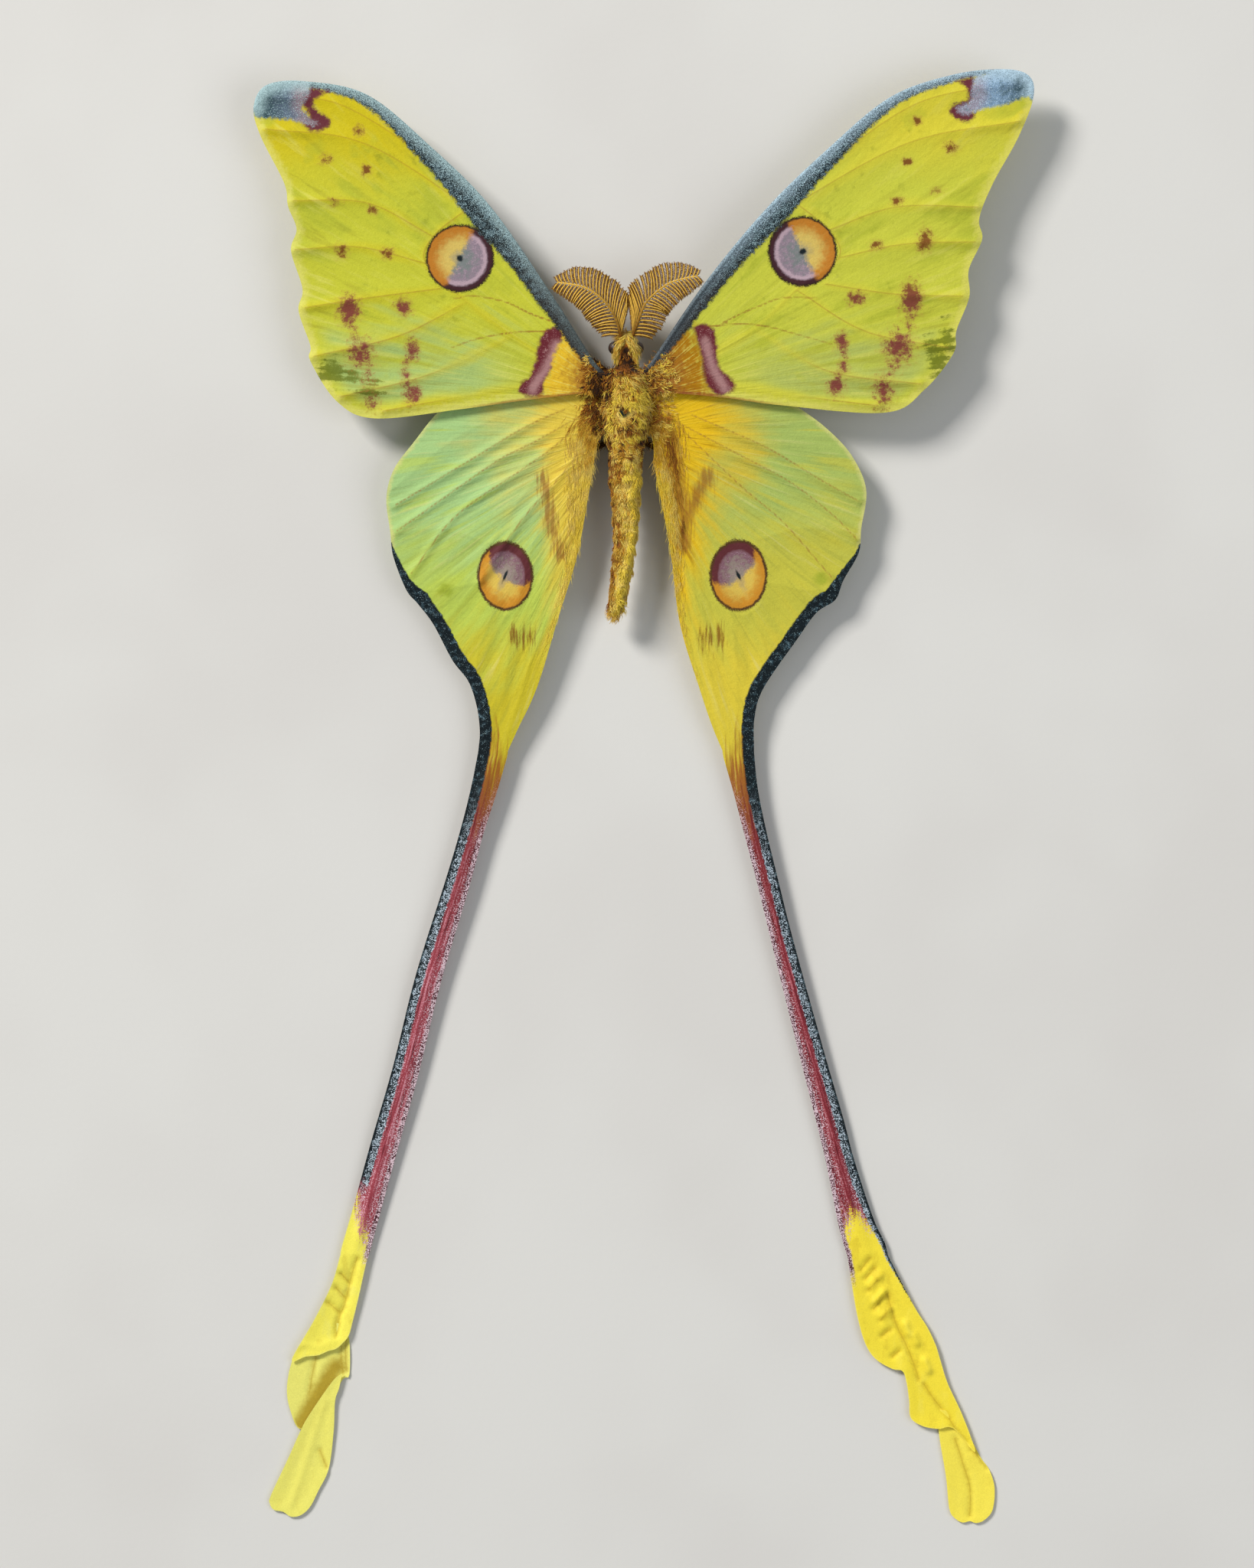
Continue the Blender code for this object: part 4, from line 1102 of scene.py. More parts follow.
    def front_edge(self, g: Graph, colour: Paint) -> Paint:
        """Lays the speckled front edge, with a painted highlight along it, and the hooked patch at the apex
        over the wing.

        Args:
            g: the graph to build in.
            colour: the wing's colour.

        Returns:
            The colour with both.
        """
        ragged, scales, root = g.ragged, g.scales, g.read("root")
        costa, front, hook = g.read("costa"), g.read("front"), g.read("hook")
        specks = g.step(g.noise(6.0, 1.0), 0.5, 0.4)
        edge = g.layers(
            self.band.mix(g, 0.62),
            (self.band.dark, g.step(costa + ragged * 2, 1.4, 0.2) * 0.5),
            # Painted highlight along the very front edge
            (self.costa_light, g.step(front + ragged * 2 + scales * 5, 2.6, 0.0) * 0.7),
            (self.band.dark, specks * 0.65),
            (self.root, g.step(root + ragged * 14 + scales * 14, 46, 10) * 0.8),
        )
        apex = g.layers(
            self.apex,
            (self.lavender, g.step(hook + ragged * 2 + scales * 2, -3.4, -0.6) * 0.5),
            (self.apex_dark, g.step(abs(g.x) + ragged * 6 + scales * 3, 70.0, 78.0) * 0.9),
            (self.apex_dark, g.step(ragged + scales, 0.0, 0.25) * 0.5),
            # Painted highlight along the front edge at the apex, then pale speckles of scales
            (self.costa_light, g.step(front + ragged * 2 + scales * 2, 3.4, 0.2) * 0.8),
            (self.costa_light, g.step(scales, 0.02, 0.18) * 0.6),
            (self.apex_dark, specks * 0.45),
        )
        return g.layers(
            colour,
            (edge, g.step(costa + ragged * 1.6 + scales, -0.4, 0.4)),
            (self.hook, g.step(hook + ragged * 1.6 + scales, -0.5, 0.5)),
            (apex, g.step(g.read("apex") + ragged * 1.6 + scales, -0.4, 0.6)),
            (self.root, g.step(root + ragged * 3, 4.5, 2)),
        )

    def make(self, name: str) -> bpy.types.Material:
        """Builds the finish.

        Args:
            name: the material's name.

        Returns:
            The material.
        """
        g = Graph(name)
        ragged, scales, fold = g.ragged, g.scales, g.fibres(1.1, 3.0, 16.0)
        colour = self.front_edge(g, self.eyespot.lay(g, self.markings(g, fold)))
        pleats = (fold - 0.5) * (1.2 + g.step(g.read("margin"), 18, 4))
        relief = scales * 0.6 + pleats + ragged * 1.4
        return g.finish(g.scaled(colour), 0.56 + scales * 0.2, relief, SCALE_RELIEF)


@dataclass(frozen=True)
class TailedWingFinish:
    """Green and gold scales of a hindwing, its red tail and the tail's yellow end."""

    mint: Colour = screen(168, 203, 130)
    leaf: Colour = screen(186, 204, 84)
    gold: Colour = screen(206, 190, 44)
    inner: Colour = screen(228, 198, 68)
    # Painted highlight and shade of the crumpled folds beside the inner edge
    inner_pale: Colour = screen(240, 216, 104)
    inner_dark: Colour = screen(170, 122, 38)
    cream: Colour = screen(222, 216, 138)
    shade: Colour = screen(134, 142, 60)
    vein: Colour = screen(156, 108, 50)
    olive: Colour = screen(150, 166, 44)
    streak: Colour = screen(142, 82, 40)
    spot: Colour = screen(122, 62, 20)
    rust: Colour = screen(150, 78, 34)
    ember: Colour = screen(112, 42, 34)
    red: Colour = screen(158, 66, 76)
    rose: Colour = screen(220, 150, 162)
    midrib: Colour = screen(76, 26, 34)
    tail_end: Colour = screen(255, 240, 76)
    tail_pale: Colour = screen(238, 232, 116)
    tail_shadow: Colour = screen(190, 156, 36)
    # Painted shade at the creases' cores and in the shadow band
    tail_deep: Colour = screen(170, 138, 22)
    speck: Colour = screen(222, 196, 204)
    fleck: Colour = screen(196, 210, 222)
    mint_below: float = 52.0
    streak_width: float = 1.9
    yellow_lean: float = 0.6
    yellow_core: float = 0.0
    yellow_from: float = -82.0
    outer_end: float = -82.0
    inner_end: float = -95.0
    eyespot: EyespotFinish = EyespotFinish(
        outline=screen(84, 56, 30), orange=screen(204, 140, 42), yellow=screen(222, 190, 84),
        mauve=screen(130, 92, 102), maroon=screen(98, 46, 50), grey=screen(152, 138, 126),
        pupil_length=0.2, pupil_width=0.055, split=0.1, wrap=0.6, arc_share=0.25, rim=0.88, ring=0.24,
    )
    band: ScaleBand = ScaleBand()

    def field(self, g: Graph, fold: Value) -> Paint:
        """Colour of the wing before its markings, with painted highlight and shade along its folds and
        crumples.

        Args:
            g: the graph to build in.
            fold: noise about 0.5 drawn out along the folds.

        Returns:
            The colour.
        """
        drift = g.noise(0.08, 3.0) - 0.5
        broad = g.fibres(0.4, 3.0, 10.0) - 0.5
        creased = g.fibres(0.62, 3.0, 7.0)
        low = g.y + drift * 20 + broad * 30
        haired = g.step(g.read("inner") - (g.y - 45) * 0.3 + broad * 8 + drift * 6, 7, 1)
        haired = haired * g.step(g.y, 14, 34)
        calm = 1 - haired * 0.7
        return g.layers(
            self.mint,
            (self.leaf, g.step(low, self.mint_below + 10, self.mint_below - 12)),
            (self.leaf, g.step(broad, 0.03, 0.15) * 0.6),
            (self.gold, g.step(low, 42, 22)),
            (self.inner, g.step(g.read("root") + broad * 26 + drift * 34, 34, 10) * 0.8),
            (self.inner, haired * 0.9),
            # Painted highlight and shade on the crumples, over the same creases that the relief raises
            (self.inner_pale, g.step(creased, 0.53, 0.68) * haired * 0.7),
            (self.inner_dark, g.step(creased, 0.45, 0.31) * haired * 0.55),
            # Painted highlight on the folds' crests in cream and painted shade in their troughs
            (self.cream, g.step(fold, 0.54, 0.72) * calm * 0.32),
            (self.shade, g.step(fold, 0.46, 0.30) * calm * 0.22),
            (self.cream, g.step(g.read("top") + g.ragged * 1.5, 1.1, 0.1) * 0.6),
        )

    def end(self, g: Graph) -> Paint:
        """Colour of the tail's yellow end, with painted shade along its creases and in a shadow band, and a
        painted highlight along its rim.

        Args:
            g: the graph to build in.

        Returns:
            The colour.
        """
        ragged, pale, crease = g.ragged, g.read("pale"), g.read("crease")
        patches = g.noise(0.35, 3.0, (1.0, 0.45, 1.0))
        rim = g.read("outer").at_most(g.read("inner"))
        return g.layers(
            self.tail_end,
            (self.tail_pale, pale),
            (self.tail_pale, g.step(patches, 0.52, 0.7) * 0.4),
            (self.tail_shadow, g.step(patches + ragged * 0.2, 0.46, 0.28) * (0.32 - pale * 0.28)),
            # Painted shade along the creases, deepest at their cores
            (self.tail_shadow, g.step(crease + ragged * 0.9, 0.9, 0.0) * 0.4),
            (self.tail_deep, g.step(crease + ragged * 0.3, 0.24, 0.0) * 0.3),
            # Painted shadow beside the edge of the lobe that lies over this one
            (self.tail_deep, g.step(g.read("shadow") + ragged * 0.8, 2.8, 0.4) * 0.85),
            # Painted highlight along the rim
            (self.tail_pale, g.step(rim + ragged * 0.2, 0.32, 0.12) * 0.6),
        )

    def tail(self, g: Graph, colour: Paint, streaks: Value) -> Paint:
        """Lays the tail's red middle, pale inner edge, yellow end and dark outer band.

        Args:
            g: the graph to build in.
            colour: the wing's colour.
            streaks: noise about nought drawn out along the tail.

        Returns:
            The colour with the tail.
        """
        ragged, scales, outer, inner = g.ragged, g.scales, g.read("outer"), g.read("inner")
        lines = g.grain(outer * 2.0, g.y * 0.1, 1.0, 4.0) - 0.5
        start = g.y + (outer - 3) * 1.6 + lines * 30 + streaks * 8
        red = g.layers(
            self.red,
            (self.rose, g.step(lines + scales * 0.5, 0.0, 0.16) * 0.8),
            (self.midrib, g.step(lines + scales * 0.1, -0.04, -0.16) * 0.7),
            (self.ember, g.step(g.y + streaks * 24, -38, 2) * 0.6),
        )
        past = g.step(g.y, 6, -14)
        speckled = g.step(scales + ragged * 0.2 + g.step(g.y, 0, -60) * 0.05, 0.09, 0.16)
        speckled = speckled * past * g.step(abs(outer - inner), 0.3, 2.4)
        end = g.y - (inner - outer) * self.yellow_lean - outer.at_most(inner) * self.yellow_core
        end = end + streaks * 9 + scales * 12 + ragged * 5
        ended = g.step(end, self.yellow_from, self.yellow_from - 3) * g.step(g.y, -78, -81)
        edge = g.paint(self.midrib, self.speck, g.step(scales + ragged * 0.3, -0.06, 0.06))
        until = g.step(g.y + ragged * 6, self.inner_end, self.inner_end + 4)
        strip = g.step(inner + ragged * 1.0, 1.2, 0.6) * past * until
        flecks = g.step(scales + ragged * 0.3, 0.0, 0.08) * g.step(g.y, 4, -16)
        flecks = flecks * g.step(outer + ragged * 0.8, 0.25, 0.7)
        dark = g.paint(self.band.mix(g, 0.3), self.fleck, flecks * 0.9)
        broken = scales * (0.3 + g.step(g.y, -70, -90))
        band = g.step(g.read("band") + ragged * 0.7 + broken, -0.15, 0.2)
        band = band * g.step(g.y + ragged * 7, self.outer_end, self.outer_end + 4)
        return g.layers(
            colour,
            (self.rust, g.step(start, 17, 5) * 0.9),
            (red, g.step(start + ragged * 4, 6, -10)),
            (self.speck, speckled * 0.85),
            (self.end(g), ended),
            (edge, strip),
            (dark, band),
        )

    def make(self, name: str) -> bpy.types.Material:
        """Builds the finish.

        Args:
            name: the material's name.

        Returns:
            The material.
        """
        g = Graph(name)
        ragged, scales, fold = g.ragged, g.scales, g.fibres(1.0, 4.0, 18.0)
        streaks = g.noise(1.0, 3.0, (2.2, 0.22, 1.0)) - 0.5
        streak = g.step(g.read("streak") + streaks * 5 + ragged, self.streak_width, 0.0)
        colour = g.layers(
            self.field(g, fold),
            (self.olive, g.step(g.read("olive") + ragged * 1.2, 0.0, 1.0) * 0.7),
            (self.vein, g.step(g.read("crest") + ragged * 0.2, 0.3, 0.04) * 0.6),
            (self.streak, streak * 0.7),
            (self.spot, g.step(g.read("spot") + streaks * 4 + scales, 0.1, 1.4) * 0.8),
        )
        colour = self.tail(g, self.eyespot.lay(g, colour), streaks)
        crumple = (g.fibres(0.62, 3.0, 7.0) - 0.5) * g.step(g.read("inner"), 12, 2)
        crumple = crumple * g.step(g.y, 12, 30)
        rough = ragged * g.step(g.y, -94, -80) * 1.4
        relief = scales * 0.6 + (fold - 0.5) * 2.4 + rough + crumple * 7
        return g.finish(g.scaled(colour), 0.58 + scales * 0.2, relief, SCALE_RELIEF)


@dataclass(frozen=True)
class WoolFinish:
    """Hair and the skin under it, from yellow over cream and gold to dark brown."""

    stops: tuple[tuple[float, Colour], ...] = (
        (0.0, screen(250, 220, 76)),
        (0.2, screen(246, 216, 112)),
        (0.42, screen(222, 172, 52)),
        (0.68, screen(166, 98, 26)),
        (1.0, screen(50, 28, 12)),
    )
    bare: Colour = screen(30, 40, 32)

    def make(self, name: str) -> bpy.types.Material:
        """Builds the finish.

        Args:
            name: the material's name.

        Returns:
            The material.
        """
        g = Graph(name, sheen=0.08)
        fine = g.noise(3.0, 3.0)
        patch = g.noise(0.5, 2.0) - 0.5
        hue = g.read("hue") + patch * 0.45 + (fine - 0.5) * 0.12
        colour = g.ramp(hue, self.stops)
        # Each tuft darker towards its root: painted shade deep in the coat
        colour = g.shade(colour, 0.74 + g.read("tip") * 0.44 + (fine - 0.5) * 0.2)
        colour = g.paint(colour, self.bare, g.read("bare"))
        rough = 0.75 - g.read("bare") * 0.5
        return g.finish(colour, rough, fine, 0.04)


@dataclass(frozen=True)
class HornFinish:
    """Dry brown skin of antennae and legs, darker at the root and paler at the tips."""

    root: Colour
    tip: Colour
    roughness: float = 0.5

    def make(self, name: str) -> bpy.types.Material:
        """Builds the finish.

        Args:
            name: the material's name.

        Returns:
            The material.
        """
        g = Graph(name)
        fine = g.noise(2.4, 3.0)
        colour = g.paint(self.root, self.tip, g.read("tip") + (fine - 0.5) * 0.5)
        colour = g.shade(colour, 0.8 + fine * 0.4)
        return g.finish(colour, self.roughness + fine * 0.2, fine, 0.03)


@dataclass(frozen=True)
class FacetFinish:
    """Glossy dark eye of many small facets."""

    dark: Colour = screen(26, 16, 12)
    warm: Colour = screen(74, 44, 26)
    facets: float = 9.0
    gloss: float = 0.6

    def make(self, name: str) -> bpy.types.Material:
        """Builds the finish.

        Args:
            name: the material's name.

        Returns:
            The material.
        """
        g = Graph(name)
        sockets = {"Vector": g.spot.outputs[0], "Scale": self.facets}
        cells = Value(g, g.node("ShaderNodeTexVoronoi", {}, sockets).outputs["Distance"])
        g.shader.inputs["Specular IOR Level"].default_value = self.gloss
        colour = g.paint(self.dark, self.warm, g.step(g.noise(1.2, 2.0), 0.4, 0.7) * 0.6 + cells * 0.3)
        return g.finish(colour, 0.18 + cells * 0.3, 1 - cells, 0.03)


@dataclass(frozen=True)
class FloorFinish:
    """Pale matt studio floor with a faint mottle."""

    light: Colour = screen(224, 222, 217)
    dim: Colour = screen(219, 216, 211)

    def make(self, name: str) -> bpy.types.Material:
        """Builds the finish.

        Args:
            name: the material's name.

        Returns:
            The material.
        """
        g = Graph(name)
        cloud = g.noise(0.012, 3.0)
        colour = g.paint(self.light, self.dim, g.step(cloud, 0.35, 0.7))
        return g.finish(colour, 0.9, g.noise(0.9, 3.0), 0.02)


@dataclass
class Wing:
    """A wing's outline, veins and relief; each kind of wing adds its own markings."""

    name: str
    side: Side
    root: Point
    round_corners: ClassVar[bool] = False

    def __post_init__(self) -> None:
        """Draws the wing's lines from its plan."""
        plan = WINGS[self.name]
        self.edges = [smooth_line(edge, RIM_STEP) for edge in plan.edges]
        if self.round_corners:
            first, *others = plan.edges
            whole = smooth_line([*first, *(place for edge in others for place in edge[1:])], RIM_STEP)
            ends = [int(np.argmin(np.hypot(*(whole - edge[-1]).T))) for edge in plan.edges]
            self.edges = [whole[start: end + 1] for start, end in zip([0, *ends], ends)]
        self.veins = [smooth_line(vein, RIM_STEP) for vein in plan.veins]

    def vein_distance(self, places: Array) -> Array:
        """Distance from each place to the nearest vein."""
        return np.min([distance(places, vein[::2]) for vein in self.veins], axis=0)

    def root_distance(self, places: Array) -> Array:
        """Distance from each place to the wing's root."""
        return np.hypot(places[:, 0] - self.root[0], places[:, 1] - self.root[1])

    def sweep(self, places: Array) -> Array:
        """Angle of each place round the wing's root, as millimetres on the fan's radius."""
        away = (places - np.array(self.root)) * (self.side, 1.0) + (2.0, 4.0)
        return FAN_RADIUS * np.arctan2(away[:, 1], away[:, 0])

    def folds(self, places: Array) -> Array:
        """Height of the fine folds that fan out from the root, each coming and going on its way.

        Args:
            places: rows of x and y.

        Returns:
            The height at each place.
        """
        draw = np.random.default_rng(FOLD_SEED + self.side)
        angle, root = self.sweep(places) / FAN_RADIUS, self.root_distance(places)
        height = np.zeros(len(places))
        for count, size in FOLDS:
            phase, beat = draw.uniform(0, 2 * math.pi, 2)
            wander = count * angle + phase + 1.2 * np.sin(4 * angle + beat + root / 17)
            life = 0.5 + 0.5 * np.sin(root / 8 + 6 * angle + beat)
            height += size * (0.64 - np.abs(np.sin(wander / 2))) * 2 * (0.3 + 0.7 * life)
        return height

    def guides(self) -> list[Array]:
        """Rows of points along the veins that carry their ridges.

        Returns:
            The rows, three for each vein.
        """
        rows = []
        for vein in self.veins:
            rows += [beside(vein, offset) for offset in (-VEIN_HALF_WIDTH, 0.0, VEIN_HALF_WIDTH)]
        return rows

    def eye_values(self, places: Array, eye: "Eyespot") -> dict[str, Array]:
        """Where places lie in an eyespot.

        Args:
            places: rows of x and y.
            eye: the eyespot.

        Returns:
            How far each place lies ahead, towards the bright half, and aside; 1 is the rim.
        """
        offset = (places - np.array(eye.centre)) / np.array(eye.half_size)
        ahead = np.array(eye.bright) / math.hypot(*eye.bright)
        return {"eye_ahead": offset @ ahead, "eye_aside": offset @ np.array((-ahead[1], ahead[0]))}


@dataclass(frozen=True)
class Eyespot:
    """Place and half size of an eyespot, and the way its bright half faces."""

    centre: Point
    half_size: Point
    bright: Point


@dataclass(frozen=True)
class ForewingMarks:
    """Places of a forewing's markings."""

    spots: Spots
    olive: Spots
    eyespot: Eyespot
    basal: Line
    lavender: Line
    lines: tuple[Line, ...]
    apex: Line
    hook: Line
    costa_widths: tuple[float, ...]


def spot_strength(places: Array, spots: Spots) -> Array:
    """How strongly spots cover each place.

    Args:
        places: rows of x and y.
        spots: the spots.

    Returns:
        The strength at each spot's middle, falling outwards to -1.
    """
    found = np.full(len(places), ABSENT)
    for x, y, across, along, strength in spots:
        reach = np.hypot((places[:, 0] - x) / across, (places[:, 1] - y) / along)
        found = np.maximum(found, strength * (1.5 - reach))
    return found


@dataclass
class Forewing(Wing):
    """A forewing with its thick front edge."""

    round_corners: ClassVar[bool] = True
    marks: ForewingMarks

    def relief(self, places: Array) -> Array:
        """Height of veins, pleats and waves over the wing's level.

        Args:
            places: rows of x and y.

        Returns:
            The height at each place.
        """
        vein, root = self.vein_distance(places), self.root_distance(places)
        margin = distance(places, self.edges[1][::2])
        ridge = 0.07 * hump(vein, 0.3)
        pleat = -0.26 * (1 - hump(vein, 2.6)) * fade(root, 14, 42)
        edge = 0.5 * hump(vein, 1.0) * fade(margin, 22, 1)
        x, y = places[:, 0], places[:, 1]
        wave = 0.16 * np.sin(x * 0.16 + 0.8) * np.sin(y * 0.13 + self.side)
        folds = self.folds(places) * (0.35 + 0.8 * fade(margin, 16, 4)) * fade(root, 10, 30)
        return ridge + pleat + edge + wave + folds

    def level(self, places: Array) -> Array:
        """Middle height of the membrane.

        Args:
            places: rows of x and y.

        Returns:
            The height at each place.
        """
        x, y = places[:, 0], places[:, 1]
        base = FORE_ROOT_Z - WING_DROOP * np.abs(x - BODY_X) + FORE_RISE * (y - FORE_HINGE_Y)
        return base + self.relief(places)

    def thickness(self, places: Array) -> Array:
        """Thickness of the wing, greatest along its front edge.

        Args:
            places: rows of x and y.

        Returns:
            The thickness at each place.
        """
        reach, along = measure(places, self.edges[0])
        rib = np.sin(np.pi * np.clip(reach, 0, EDGE_WIDTH) / EDGE_WIDTH)
        return MEMBRANE + rib * (EDGE_THICKNESS - 0.5 * along)

    def values(self, places: Array) -> dict[str, Array]:
        """What the finish reads at each place.

        Args:
            places: rows of x and y.

        Returns:
            The values by name.
        """
        marks = self.marks
        front, along = measure(places, self.edges[0])
        widths = np.interp(along, np.linspace(0, 1, len(marks.costa_widths)), marks.costa_widths)
        trailing = np.vstack((self.edges[1], self.edges[2]))
        return {
            "front": front,
            "costa": widths - front,
            "margin": distance(places, trailing[::2]),
            "vein": self.vein_distance(places),
            "root": self.root_distance(places),
            "sweep": self.sweep(places),
            "spot": spot_strength(places, marks.spots),
            "olive": spot_strength(places, marks.olive),
            "basal": patch_depth(places, marks.basal),
            "lavender": distance_to(places, [marks.lavender], MARK_STEP),
            "line": distance_to(places, marks.lines, MARK_STEP),
            "apex": patch_depth(places, marks.apex),
            "hook": patch_depth(places, marks.hook),
            **self.eye_values(places, marks.eyespot),
        }

    def rim(self) -> Array:
        """The wing's closed outline."""
        return np.vstack((self.edges[0], self.edges[1][1:], self.edges[2][1:]))

    def build(self, finish: bpy.types.Material) -> None:
        """Makes the wing.

        Args:
            finish: the wing's material.
        """
        ribs = [beside(self.edges[0], -self.side * offset) for offset in (0.18, 0.48, 0.8)]
        sheet = Sheet.within(self.rim(), [*self.guides(), *ribs], WING_CELL)
        places = sheet.places
        shell = sheet.closed(self.level(places), self.thickness(places), self.values(places))
        shell.build(self.name, finish, Slot.FOREWING, [self.name])


@dataclass(frozen=True)
class HindwingMarks:
    """Places of the markings on a hindwing and its tail."""

    spots: Spots
    olive: Spots
    eyespot: Eyespot
    streaks: tuple[Line, ...]
    crests: tuple[Line, ...]


@dataclass(frozen=True)
class Lobe:
    """One sheet of a tail's twisted end."""

    outline: Line
    near_z: float
    far_z: float
    curl: float
    pale: float
    creases: tuple[Line, ...]
    folds: tuple[Line, ...] = ()
    fold_height: float = 0.2
    shadow: Line = ((0.0, 0.0), (0.0, 1.0))

    def guides(self) -> list[Array]:
        """Rows of points along the creases and folds."""
        return [smooth_line(line, CREASE_STEP) for line in (*self.creases, *self.folds)]


@dataclass
class Hindwing(Wing):
    """A hindwing with its tail, cut at the solids' own seams, and the lobes of the tail's end."""

    marks: HindwingMarks
    lobes: tuple[Lobe, ...]

    def __post_init__(self) -> None:
        """Draws the wing's lines and joins the tail's edges to them."""
        super().__post_init__()
        self.tail, self.tip = f"tail_{self.side.word}", f"tail_tip_{self.side.word}"
        stations = np.array(TAILS[self.tail])
        middle = smooth_line(stations, RIM_STEP)
        across = unit(np.gradient(middle[:, :2], axis=0))
        across = np.column_stack((-across[:, 1], across[:, 0])) * middle[:, 2:] / 2
        for end in (0, -1):
            across[end] = (middle[end, 2] / 2, 0.0)
        left, right = middle[:, :2] - across, middle[:, :2] + across
        self.tail_middle = middle[:, :2]
        outer, inner = (left, right) if self.side < 0 else (right, left)
        blade = smooth_line(self.lobes[0].outline, RIM_STEP)
        far = int(np.argmin(blade[:, 1]))
        first, second = blade[: far + 1], blade[far:][::-1]
        if (first[0][0] - second[0][0]) * self.side < 0:
            first, second = second, first
        self.blade_outer, self.blade_inner = first, second
        self.outer = np.vstack((self.edges[0], outer, first))
        self.inner = np.vstack((self.edges[1][::-1], inner, second))
        self.tail_root_z = float(self.hind_level(self.tail_middle[:1])[0])

    @staticmethod
    def hind_level(places: Array) -> Array:
        """Middle height of the hindwing before its relief.

        Args:
            places: rows of x and y.

        Returns:
            The height at each place.
        """
        x, y = places[:, 0], places[:, 1]
        fall = HIND_FALL * np.maximum(0.0, HIND_HINGE_Y - y)
        return HIND_ROOT_Z - WING_DROOP * np.abs(x - BODY_X) - fall

    def level(self, places: Array) -> Array:
        """Middle height of the hindwing, its tail and the first blade of the tail's end.

        Args:
            places: rows of x and y.

        Returns:
            The height at each place.
        """
        y = places[:, 1]
        share = (y - TAIL_TIP_Y) / (TAIL_ROOT_Y - TAIL_TIP_Y)
        tail = TAIL_TIP_Z + (self.tail_root_z - TAIL_TIP_Z) * np.maximum(share, 0.0)
        blade = self.lobes[0]
        reach = 0.6 * (TAIL_TIP_Y - self.outer[:, 1].min())
        tail = tail - (blade.near_z - blade.far_z) * np.clip((TAIL_TIP_Y - y) / reach, 0, 1)
        blend = fade(y, TAIL_ROOT_Y - 5, TAIL_ROOT_Y + 5)
        return tail + (self.hind_level(places) - tail) * blend + self.relief(places)

    def relief(self, places: Array) -> Array:
        """Height of veins, radiating pleats, the tail's keel and the blade's folds.

        Args:
            places: rows of x and y.

        Returns:
            The height at each place.
        """
        y = places[:, 1]
        vein, root = self.vein_distance(places), self.root_distance(places)
        wing = fade(y, 8, 30)
        crest = 0.5 * hump(distance_to(places, self.marks.crests, STREAK_STEP), 0.8) * fade(root, 8, 18)
        rays = self.folds(places) * fade(root, 8, 24)
        pleat = -0.3 * (1 - hump(vein, 2.8)) * fade(root, 12, 40)
        keel = 0.42 * hump(distance(places, self.tail_middle[::2]), 1.3) * fade(y, 12, 2)
        keel = keel * fade(y, -96, -88)
        blade = self.lobe_relief(places, self.lobes[0]) * fade(y, -90, -97)
        return wing * (0.06 * hump(vein, 0.3) + pleat + crest) + rays * fade(y, 2, 12) + keel + blade

    @staticmethod
    def lobe_relief(places: Array, lobe: Lobe) -> Array:
        """Height of a lobe's creases and folds, and of its curled rim.

        Args:
            places: rows of x and y.
            lobe: the lobe.

        Returns:
            The height at each place.
        """
        rim = smooth_line([*lobe.outline, lobe.outline[0]], 0.8)
        height = lobe.curl * hump(distance(places, rim), 1.5)
        for crease in lobe.creases:
            height = height - 0.46 * hump(distance_to(places, [crease], MARK_STEP), 0.6)
        for fold in lobe.folds:
            height = height + lobe.fold_height * hump(distance_to(places, [fold], MARK_STEP), 0.75)
        return height

    def values(self, places: Array) -> dict[str, Array]:
        """What the finish reads at each place.

        Args:
            places: rows of x and y.

        Returns:
            The values by name.
        """
        marks = self.marks
        outer = distance(places, self.outer[::2])
        y = places[:, 1]
        rows = np.array(BAND_WIDTHS)[::-1]
        band = np.interp(y, rows[:, 0], rows[:, 1]) - outer
        blade = self.lobes[0]
        return {
            "outer": outer,
            "inner": distance(places, self.inner[::2]),
            "top": np.where(y > 50, outer, FAR),
            "band": np.where(y < BAND_WIDTHS[0][0], band, NO_BAND),
            "vein": self.vein_distance(places),
            "root": self.root_distance(places),
            "spot": spot_strength(places, marks.spots),
            "olive": spot_strength(places, marks.olive),
            "streak": distance_to(places, marks.streaks, STREAK_STEP),
            "crest": distance_to(places, marks.crests, STREAK_STEP),
            "sweep": self.sweep(places),
            "crease": self.crease_distance(places, blade),
            "shadow": distance(places, np.array(blade.shadow)),
            "pale": np.full(len(places), blade.pale),
            **self.eye_values(places, marks.eyespot),
        }

    def rim(self) -> Array:
        """Closed outline of the wing, its tail and the first blade of the tail's end."""
        return np.vstack((self.outer, self.inner[::-1]))

    @staticmethod
    def crease_distance(places: Array, lobe: Lobe) -> Array:
        """Distance to the lobe's nearest crease."""
        return np.minimum(FAR, distance_to(places, lobe.creases, MARK_STEP))

